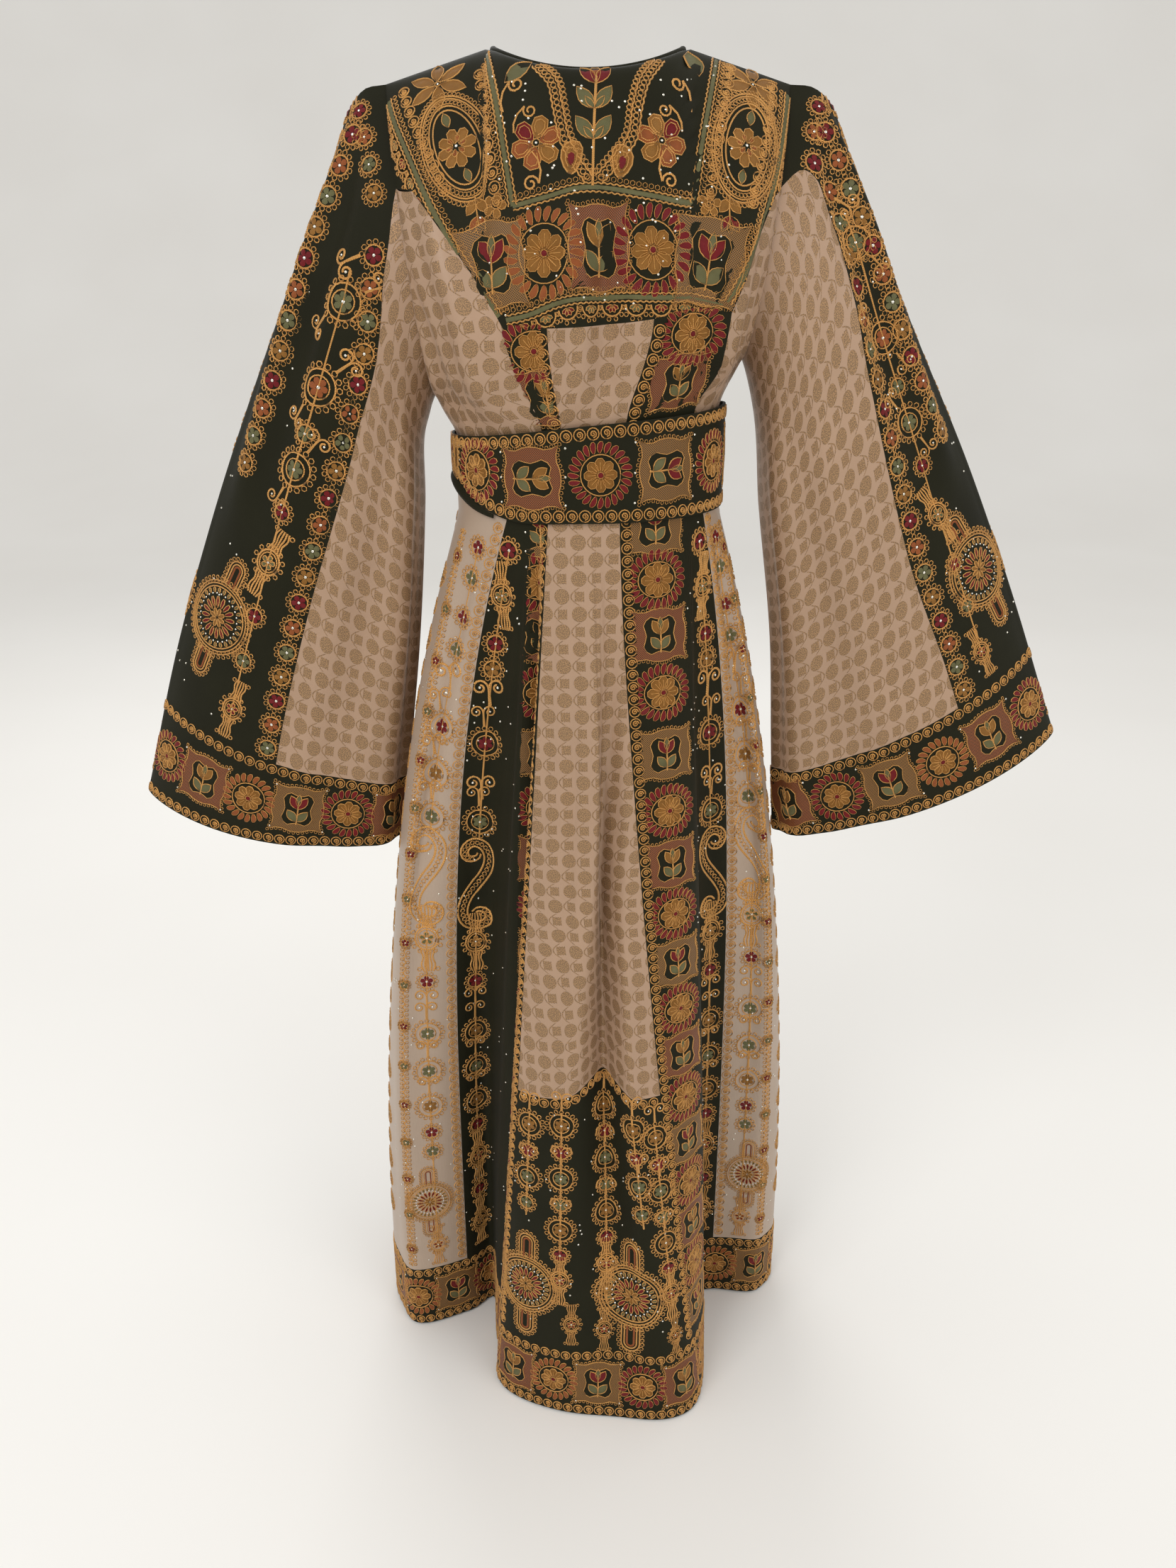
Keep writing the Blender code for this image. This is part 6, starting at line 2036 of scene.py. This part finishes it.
class THOBE_OT_yoke_embroidery(ThobeOperator):
    """Framed panel, ovals, sprays, medallions and tiles on the back yoke, and borders on the front"""

    bl_idname = "thobe.yoke_embroidery"
    bl_label = "Yoke embroidery"

    def build(self, context):
        made = Stitches()
        self.back(made, tabled("yoke_back"))
        made.make("embroidery_back_yoke")
        made = Stitches()
        self.front(made, tabled("yoke_front"))
        made.make("embroidery_front_yoke")

    def double(self, made, cloth, a, b, offset, side):
        """A border: two waving cords with a satin strip between, and loops on one side."""
        made.run(cloth, a, b, offset, width=5.2, height=0.5, thread=GREY)
        for off in (-0.0034, 0.0034):
            made.run(cloth, a, b, offset + off, width=1.5, height=1.2, wave=0.0006, length=0.0052)
        made.row(cloth, ring(2.1, 0.8, 6), a, b, 0.0054, offset + side * 0.0070)

    def scallops(self, made, cloth, a, b, offset, side):
        """Half flowers in loops along a border, red and grey-green in turn."""
        turn = np.linspace(0.0, math.pi, 9)
        arch = cord(9.0 * np.stack([np.cos(turn), np.sin(turn)], 1))
        loop = ring(1.8, 1.0, 6)
        outside = np.linspace(0.2, math.pi - 0.2, 6)
        loops = join(*(put(loop, 11.6 * math.cos(t), 11.6 * math.sin(t)) for t in outside))
        parts = []
        for thread in (RED, GREY):
            one = petal(0.0, 6.4, 3.6, thread, 6)
            parts.append(join(*(put(one, turn=t) for t in (-60, -20, 20, 60)), arch, loops))
        at_a, at_b, turn = cloth.trail(a, b, 0.0215, offset, 0.6)
        made.lay_in_turn(cloth, parts, at_a, at_b, turn + side * math.pi / 2)

    def line(self, table):
        """Places along a line through a table of angles and levels."""
        angles, levels = np.array(table).T
        run = length_along(np.stack([angles * DEGREE_ON_YOKE, levels], 1))
        at = between(0.0, run[-1], 60)
        level = curve_through(run, levels, at)
        return curve_through(run, angles, at), yoke_height("yoke_back", level)

    def back(self, made, cloth):
        """Border, inner frame, panel, sides and a row of medallions and tiles."""
        run, levels = TABLES["yoke_back_levels"]

        def inside(a, b):
            level = np.interp(b, run, levels)
            left, right = yoke_edges(level, YOKE_APEX_LEVEL)
            return (a > left + 0.4) & (a < right - 0.4) & (level > CHEST_LEVEL + 0.0008)

        made.inside = inside
        for table, side in ((YOKE_BOTTOM, -1), (YOKE_LEFT, -1), (YOKE_RIGHT, 1)):
            a, b = self.line(table)
            self.double(made, cloth, a, b, 0.0, -side)
            self.scallops(made, cloth, a, b, side * 0.0058, side)
        # The inner frame: two uprights that lean out and a border that rises to the middle.
        for table, side in ((FRAME_LEFT, -1), (FRAME_RIGHT, 1), (FRAME_LOW, 1)):
            self.double(made, cloth, *self.line(table), 0.0, side)
        for table, inset in (
            (FRAME_LEFT, -0.0135), (FRAME_RIGHT, 0.0135), (YOKE_LEFT[:3], 0.0160), (YOKE_RIGHT[:3], -0.0160),
        ):
            made.row(cloth, spiral_rosette(), *self.line(table), 0.0118, inset)
        self.panel(made, cloth)
        self.sides(made, cloth)
        self.place(made, cloth, YOKE_ROW_PLACES, (
            tile(GOLD_NET, RED, GREY, 33.0, 1.18), medallion(24, 35.0, RUST, GOLD, 1.08),
            tile(RUST_NET, GOLD, GREY, 31.0, 1.22), medallion(24, 35.0, RED, GOLD, 1.08),
            tile(GOLD_NET, RED, GREY, 35.0, 1.12),
        ))
        made.scatter(cloth, (-34.0, 48.0), (0.02, float(cloth.b[-1]) - 0.03), 110, 3)

    def place(self, made, cloth, places, parts):
        """Motifs at places given as angle, level and turn in degrees."""
        for (angle, level, turn), part in zip(places, parts):
            made.lay(cloth, part, angle, yoke_height("yoke_back", level), math.radians(turn))

    def panel(self, made, cloth):
        """Stem with leaves and a tulip, a V of looped cord, two clusters of petals, curls and hearts."""
        a, b = self.line(YOKE_STEM)
        made.run(cloth, a, b, 0.0, 2.6)
        one = join(leaf(24, 12, GREY), lifted(leaf(13, 5.0, GREY), 0.5))
        pair = join(*(put(one, turn=t) for t in (40, -40)))
        bud = join(*(put(leaf(24, 11, RED), turn=t) for t in (34, -34)), leaf(26, 9, RUST))
        self.place(made, cloth, YOKE_LEAF_PLACES, (pair, pair, bud))
        for table, side in ((YOKE_V_LEFT, 1), (YOKE_V_RIGHT, -1)):
            a, b = self.line(table)
            for off in (-0.0040, 0.0040):
                made.run(cloth, a, b, off, wave=0.0005, length=0.006)
            made.row(cloth, ring(2.1, 1.2, 6), a, b, 0.0047, side * -0.0068)
            made.row(cloth, ring(2.3, 1.3, 7), a, b, 0.0050)
        vein = cord(petal_line(6.0, 19.0, 11.0), width=1.1, closed=True)
        threads = ((0, GOLD), (62, RED), (-58, RUST), (122, RUST), (-118, GOLD), (180, RUST))
        petals = [put(join(petal(3.0, 22.0, 17.0, thread), vein), turn=t) for t, thread in threads]
        cluster = join(*petals, ring(3.4, 1.5, 8), stone())
        outline = petal_line(-11.0, 15.0, 21.0, 3.0, 12)
        heart = join(
            fill(outline, GOLD), cord(outline, closed=True),
            lifted(cord(petal_line(-7.0, 10.0, 12.0, 1.6, 9), CORD, 1.1, 1.3, closed=True), 0.3),
            lifted(fill(petal_line(-4.4, 6.0, 7.0, 1.0, 8), RED, 1.3, 0.6), 0.3),
        )
        flip = put(curl(1.25), mirror=True)
        self.place(made, cloth, YOKE_PANEL_PLACES, (
            cluster, put(cluster, mirror=True), heart, put(heart, mirror=True), curl(1.25), flip,
            put(curl(1.25), turn=180), put(curl(1.1), turn=160), put(flip, turn=180),
            put(flip, turn=200, size=0.9), leaf(30, 17, GREY), leaf(30, 17, GREY),
        ))

    def sides(self, made, cloth):
        """A pointed double oval with a gold flower at each side, leaves above it and sprays below."""
        sizes = ((19.0, 36.0), (22.6, 40.6), (29.0, 48.0), (31.4, 50.6))
        rings = [cord(oval(x, y, 34), closed=True) for x, y in sizes]
        loops = join(around(ring(2.0, 1.1, 6), 50, 25.8, 44.4), around(ring(1.9, 1.0, 6), 58, 33.6, 53.0))
        heart = around(petal(2.0, 9.0, 5.0, RUST, 6), 6, 1.0)
        middle = join(put(flower(8, 4.0, 18.0, 11.0, GOLD), 0, -2), heart)
        leaves = join(put(leaf(15, 8, GREY), 0, 19), put(leaf(13, 7, GREY), 0, -22, 180))
        mandorla = join(*rings, loops, middle, stone(1.4), leaves)
        spread, small = star(6, 27, 12, GOLD), flower(5, 2.0, 10.5, 8.0, GOLD)
        self.place(made, cloth, YOKE_SIDE_PLACES, (
            mandorla, mandorla, spread, spread, put(tulip(34, RUST, GOLD), turn=170), small, small,
            put(tulip(34, RED, GOLD), turn=190),
        ))

    def front(self, made, cloth):
        """Borders and a row of medallions along its lower edge, a border at the neck and a round."""
        across = between(95.0, 265.0, 90)
        bottom = np.full_like(across, yoke_height("yoke_front", CHEST_LEVEL))
        self.double(made, cloth, across, bottom, 0.0225, 1)
        self.scallops(made, cloth, across, bottom, 0.0185, -1)
        a, b, turn = cloth.trail(across, bottom, bpy.context.scene.thobe_thread.pair_pitch, 0.056)
        parts = (medallion(20, 25.5, RED), tile(RUST_NET, GOLD, GREY, 26.0))
        made.lay_in_turn(cloth, parts, a, b, turn + math.pi / 2)
        neck = between(180 - 27.0, 180 + 27.0, 60)
        top = np.full_like(neck, cloth.b[-1] - 0.004)
        self.double(made, cloth, neck, top, -0.010, -1)
        for a in (130.0, 155.0, 205.0, 230.0):
            made.lay(cloth, ring_medallion(GOLD), a, 0.128)
        made.lay(cloth, amulet(18.0), 180.0, 0.085, 0.0, 0.8)


class THOBE_OT_belt_embroidery(ThobeOperator):
    """Spirals along the belt's edges with medallions and sideways tiles between"""

    bl_idname = "thobe.belt_embroidery"
    bl_label = "Belt embroidery"

    def build(self, context):
        cloth = tabled("belt")
        made = Stitches()
        angles = between(-90.0, 270.0, 240)
        for edge, inset in ((0.0, BAND_INSET), (1.0, -BAND_INSET)):
            made.spirals(cloth, angles, np.full_like(angles, edge), inset)
        parts = (
            medallion(24, 29.5, RED), put(tile(GOLD_NET, RED, GREY, 31.0), turn=-90),
            medallion(24, 29.5, RED), put(tile(RUST_NET, GOLD, GREY, 31.0), turn=-90),
        )
        # A medallion stands at centre back, and an even number of motifs closes the ring.
        run = length_along(cloth.at(angles, np.full_like(angles, 0.5))[0])
        start = np.interp(BELT_MIDDLE, angles, run)
        count = 2 * int(run[-1] / context.scene.thobe_thread.pair_pitch / 2)
        pitch = run[-1] / count
        for number in range(count):
            way = (start + number * pitch) % run[-1]
            made.lay(cloth, parts[number % len(parts)], np.interp(way, run, angles), 0.5)
            gap = np.interp((way + pitch / 2) % run[-1], run, angles)
            for share in (0.20, 0.5, 0.80):
                made.lay(cloth, stone(), gap, share)
        made.make("embroidery_belt")


class THOBE_OT_column_embroidery(ThobeOperator):
    """Tiles and medallions down the two columns, and spirals along the seams beside them"""

    bl_idname = "thobe.column_embroidery"
    bl_label = "Column embroidery"

    def build(self, context):
        cloth = tabled("body")
        parts = (
            medallion(24, 32.0, RED, GOLD, 0.84), tile(RUST_NET, GOLD, GREY, 33.0, 0.86),
            medallion(24, 32.0, RED, GOLD, 0.84), tile(GOLD_NET, RED, GREY, 33.0, 0.86),
        )
        levels = np.array(COLUMN_LEVELS)
        for side, sign in SIDES:
            made = Stitches()
            made.keep_between(station("centre_" + side) + sign * SPIRAL_STRIP, station("column_" + side))
            made.lay_in_turn(cloth, parts, np.full_like(levels, COLUMN_LINE[side]), levels)
            made.inside = None
            for line, top in (("centre_", CHEST_LEVEL - 0.003), ("ivory_", SKIRT_ROW_TOP)):
                level = between(SKIRT_ROW_LOW, top, 200)
                made.spirals(cloth, np.full_like(level, station(line + side)), level, -sign * SEAM_INSET)
            edges = made.keep_between(station("column_" + side), station("ivory_" + side) - sign * 0.0010)
            string(made, cloth, CHAIN_LINE[side], GORE_CHAIN, sign)
            made.scatter(cloth, edges, (0.10, 1.02), 90, 11)
            made.make("embroidery_column_" + side)


class THOBE_OT_ivory_embroidery(ThobeOperator):
    """Gold chains on the ivory panels, with a looped strip along their outer folds"""

    bl_idname = "thobe.ivory_embroidery"
    bl_label = "Ivory embroidery"

    def build(self, context):
        cloth = tabled("body")
        for side, sign in SIDES:
            made = Stitches()
            seam, corner, outer = (station(line + side) for line in ("ivory_", "corner_", "side_"))
            made.keep_between(seam + sign * SPIRAL_STRIP, outer - sign * 0.001)
            string(made, cloth, IVORY_LINE[side], IVORY_CHAIN, sign)
            levels = between(0.14, 0.98, 120)
            a, b, _ = cloth.trail(np.full_like(levels, (corner + outer) / 2), levels, 0.034)
            parts = [named(name) for name in ("ring_grey", "flower_red", "ring_gold", "flower_grey")]
            made.lay_in_turn(cloth, parts, a, b, size=0.8)
            levels = between(HEM_BAND + 0.006, 1.015, 200)
            parts = (named("flower_red"), named("flower_grey"))
            for at, reach in ((corner, 0.004), (outer, -0.007)):
                line = np.full_like(levels, at)
                made.run(cloth, line, levels, sign * reach, wave=0.0012, length=0.009)
                for off in (0.0034, -0.0034):
                    made.row(cloth, ring(2.0, 1.1, 6), line, levels, 0.0062, sign * (reach + off))
                a, b, _ = cloth.trail(line, levels, 0.055, sign * reach)
                made.lay_in_turn(cloth, parts, a, b, size=0.7, lift=0.2)
            made.lay(cloth, amulet(), IVORY_LINE[side] + sign * 0.006, 0.192, size=0.80)
            made.scatter(cloth, sorted((seam, outer)), (0.10, 1.0), 110, 17)
            made.make("embroidery_ivory_" + side)


class THOBE_OT_lower_embroidery(ThobeOperator):
    """Spirals, chains, two large rounds and shields on the green panel at the foot of the train"""

    bl_idname = "thobe.lower_embroidery"
    bl_label = "Train embroidery"

    def build(self, context):
        cloth = tabled("body")
        made = Stitches()
        across = between(station("centre_left") + 0.003, station("centre_right") - 0.003, 120)
        made.spirals(cloth, across, scallop_level(across), -0.0064)
        parts = [named(name) for name in LOWER_MOTIFS]
        for top_a, low_a, top, low in LOWER_CHAINS:
            line_a, line_b = between(top_a, low_a, 30), between(top, low, 30)
            made.run(cloth, line_a, line_b, width=STEM_WIDTH)
            a, b, _ = cloth.trail(line_a, line_b, LOWER_PITCH)
            made.lay_in_turn(cloth, parts, a, b, size=LOWER_SIZE, lift=CHAIN_LIFT)
        for a, b, size in AMULETS:
            made.lay(cloth, amulet(), a, b, size=size)
        for a, b, size in SHIELDS:
            made.lay(cloth, named("shield_red"), a, b, size=size)
        made.scatter(cloth, (-0.118, 0.120), (0.10, 0.40), 60, 23)
        made.make("embroidery_train")


class THOBE_OT_hem_embroidery(ThobeOperator):
    """Medallions and tiles between rows of spirals, all round the hem"""

    bl_idname = "thobe.hem_embroidery"
    bl_label = "Hem embroidery"

    def build(self, context):
        cloth = tabled("body")
        made = Stitches()
        lines = ("side_left", "column_left", "column_right", "side_right")
        for start, end in zip(lines[:-1], lines[1:]):
            band(made, cloth, station(start), station(end), 0.0, HEM_BAND)
        made.make("embroidery_hem_back")
        made = Stitches()
        end = station("side_left") + CLOTH_ROUND_HEM
        band(made, tabled("wrap"), station("side_right"), end, 0.0, HEM_BAND, 240)
        made.make("embroidery_hem_front")


class THOBE_OT_front_embroidery(ThobeOperator):
    """Chains and rows of spirals on the front gores"""

    bl_idname = "thobe.front_embroidery"
    bl_label = "Front gore embroidery"

    def build(self, context):
        cloth = tabled("wrap")
        made = Stitches()
        levels = between(SKIRT_ROW_LOW, SKIRT_ROW_TOP, 200)
        for side, sign, turn in (("right", 1.0, 0.0), ("left", -1.0, CLOTH_ROUND_HEM)):
            seam, outer = station("front_seam_" + side) + turn, station("side_" + side) + turn
            for line, inset in ((seam, sign * SEAM_INSET), (outer, -sign * SEAM_INSET)):
                made.spirals(cloth, np.full_like(levels, line), levels, inset)
            string(made, cloth, (seam + outer) / 2, GORE_CHAIN, sign)
        made.make("embroidery_front_gores")


class THOBE_OT_sleeve_embroidery(ThobeOperator):
    """Rows of flowers, chains and rounds on the green panels of the sleeves"""

    bl_idname = "thobe.sleeve_embroidery"
    bl_label = "Sleeve embroidery"

    def build(self, context):
        flowers = [named(name) for name in SLEEVE_FLOWERS]
        lines = np.array(SLEEVE_LINES).T
        down = between(0.03, CUFF_SHARE - 0.004, 160)
        for side, column_of_row in (("left", 1), ("right", 3)):
            cloth = tabled("sleeve_" + side)
            made = Stitches()
            seams = column(SLEEVES[side], SLEEVE_COLUMNS, "seam")
            shares = column(SLEEVES[side], SLEEVE_COLUMNS, "share")
            seam = curve_through(shares, seams, down)
            made.inside = lambda a, b: np.abs((a + 180) % 360 - 180) < np.interp(-b, down, seam) - 0.3

            def flower_row(line, up, inset=0.0, size=1.2):
                a, b, turn = cloth.trail(line, up, FLOWER_PITCH, inset)
                made.lay_in_turn(cloth, flowers, a, b, turn, size)

            # On the back the lines follow the photograph; the front repeats them more plainly.
            back = [np.interp(down, lines[0], lines[k]) for k in (column_of_row, column_of_row + 1)]
            front = [np.full_like(down, FRONT_ROW), FRONT_CHAIN * seam]
            for way, (outer, middle) in ((-1.0, front), (1.0, back)):
                flower_row(way * seam, -down, way * -FLOWER_INSET)
                for share, name, size, turn in SLEEVE_CHAIN:
                    angle = float(np.interp(share, down, middle))
                    size = size * SLEEVE_CHAIN_SIZE[side]
                    made.lay(cloth, named(name), angle, -share, math.radians(turn), size, CHAIN_LIFT)
                line = between(0.135, 0.845, 120)
                made.run(cloth, np.interp(line, down, middle), -line, width=2.0)
                line = between(0.04, 0.505, 120)
                flower_row(np.interp(line, down, outer), -line)
                # One short row follows the armhole from the outer row to the seam row.
                line = between(way * 14.0, way * float(seam[0] - 14.0), 60)
                flower_row(line, np.full_like(line, -ARMHOLE_ROW), size=1.05)
            for angle in (SLEEVE_AMULET[side], -30.0):
                made.lay(cloth, amulet(34.0), angle, -0.700)
            made.scatter(cloth, (-60.0, 60.0), (-0.84, -0.08), 60, 31)
            made.make("embroidery_sleeve_" + side)


class THOBE_OT_cuff_embroidery(ThobeOperator):
    """Medallions and tiles between rows of spirals round the cuffs"""

    bl_idname = "thobe.cuff_embroidery"
    bl_label = "Cuff embroidery"

    def build(self, context):
        for side in ("left", "right"):
            cloth = tabled("sleeve_" + side)
            made = Stitches()
            for start in (-180.0, 0.0):
                band(made, cloth, start + 1.0, start + 179.0, -1.0, -CUFF_SHARE)
            made.make("embroidery_cuff_" + side)


class THOBE_OT_studio(ThobeOperator):
    """Pale floor, soft lights and the camera, which looks slightly down at the garment's back"""

    bl_idname = "thobe.studio"
    bl_label = "Studio"

    def build(self, context):
        scene = context.scene
        studio = scene.thobe_studio
        floor = bpy.data.meshes.new("floor")
        low = CAD_BOX[0][2] - FLOOR_GAP
        # The floor is flat under the garment and sweeps up far behind it.
        away = between(-12.0, 14.0, 130)
        rise = low + SWEEP_HEIGHT * smooth((away - SWEEP_START) / SWEEP_REACH) ** 2
        points = np.stack([np.stack([np.full_like(away, x), away, rise], 1) for x in (-16.0, 16.0)])
        i = np.arange(len(away) - 1)
        faces = np.stack([i, i + len(away), i + len(away) + 1, i + 1], 1)
        floor.from_pydata(points.reshape(-1, 3), [], faces)
        floor.shade_smooth()
        paint = Shader("matt_pale_paint", 0.8)
        where = paint.places("Object")
        paint.link("Base Color", paint.mix(paint.noise(where, 900.0), linear("#eeece8"), linear("#f6f5f2")))
        floor.materials.append(paint.material)
        ground = bpy.data.objects.new("floor", floor)
        scene.collection.objects.link(ground)
        world = bpy.data.worlds.new("studio")
        world.use_nodes = True
        background = world.node_tree.nodes["Background"]
        background.inputs["Color"].default_value = WARM_WHITE
        background.inputs["Strength"].default_value = 0.75
        scene.world = world
        lamps = (
            ("key", (-1.5, -2.3, 1.5), 1.6, studio.key),
            ("fill", (1.9, -1.9, 0.6), 1.8, studio.fill),
            ("front", (-0.6, 2.6, 1.2), 1.8, studio.fill * 1.6),
        )
        for name, place, size, power in lamps:
            light = bpy.data.lights.new(name, "AREA")
            light.size, light.energy = size, power
            lamp = bpy.data.objects.new(name, light)
            lamp.location = place
            x, y, z = np.array(place) - LIT_POINT
            lamp.rotation_euler = (math.atan2(math.hypot(x, y), z), 0.0, math.atan2(x, -y))
            scene.collection.objects.link(lamp)
        camera = bpy.data.objects.new("camera", bpy.data.cameras.new("camera"))
        camera.data.sensor_width = SENSOR
        camera.data.lens = FOCAL_LENGTH / PHOTO_HEIGHT * SENSOR
        camera.location = (0.0, -CAMERA_BACK, CAMERA_LEVEL - SHOULDER_LEVEL)
        camera.rotation_euler = (math.pi / 2 - studio.pitch, 0.0, 0.0)
        scene.collection.objects.link(camera)
        scene.camera = camera
        scene.view_settings.view_transform = "Standard"


PIECES = (
    THOBE_OT_back_skirt, THOBE_OT_side_skirt, THOBE_OT_front_skirt, THOBE_OT_hem, THOBE_OT_bodice,
    THOBE_OT_sleeves, THOBE_OT_belt, THOBE_OT_neck, THOBE_OT_yoke_embroidery, THOBE_OT_belt_embroidery,
    THOBE_OT_column_embroidery, THOBE_OT_ivory_embroidery, THOBE_OT_lower_embroidery,
    THOBE_OT_hem_embroidery, THOBE_OT_front_embroidery, THOBE_OT_sleeve_embroidery,
    THOBE_OT_cuff_embroidery, THOBE_OT_studio,
)
SETTINGS = (("thobe_cloth", ThobeCloth), ("thobe_thread", ThobeThread), ("thobe_studio", ThobeStudio))


class THOBE_PT_panel(bpy.types.Panel):
    """The pieces of the thobe in the order they are made, with their sizes and colours"""

    bl_idname = "THOBE_PT_panel"
    bl_label = "Thobe"
    bl_space_type = "VIEW_3D"
    bl_region_type = "UI"
    bl_category = "Thobe"

    def draw(self, context):
        """Lists the settings and the operators."""
        for name, group in SETTINGS:
            box = self.layout.box()
            for prop in group.__annotations__:
                box.prop(getattr(context.scene, name), prop)
        for piece in PIECES:
            self.layout.operator(piece.bl_idname)


def register():
    """Registers the settings, the pieces and the panel."""
    for name, group in SETTINGS:
        bpy.utils.register_class(group)
        setattr(bpy.types.Scene, name, bpy.props.PointerProperty(type=group))
    for piece in PIECES + (THOBE_PT_panel,):
        bpy.utils.register_class(piece)


def unregister():
    """Takes back what register did."""
    for piece in (THOBE_PT_panel,) + PIECES[::-1]:
        bpy.utils.unregister_class(piece)
    for name, group in SETTINGS[::-1]:
        delattr(bpy.types.Scene, name)
        bpy.utils.unregister_class(group)


def main():
    """Makes every piece."""
    register()
    for piece in PIECES:
        area, name = piece.bl_idname.split(".")
        getattr(getattr(bpy.ops, area), name)()


if __name__ == "__main__":
    main()
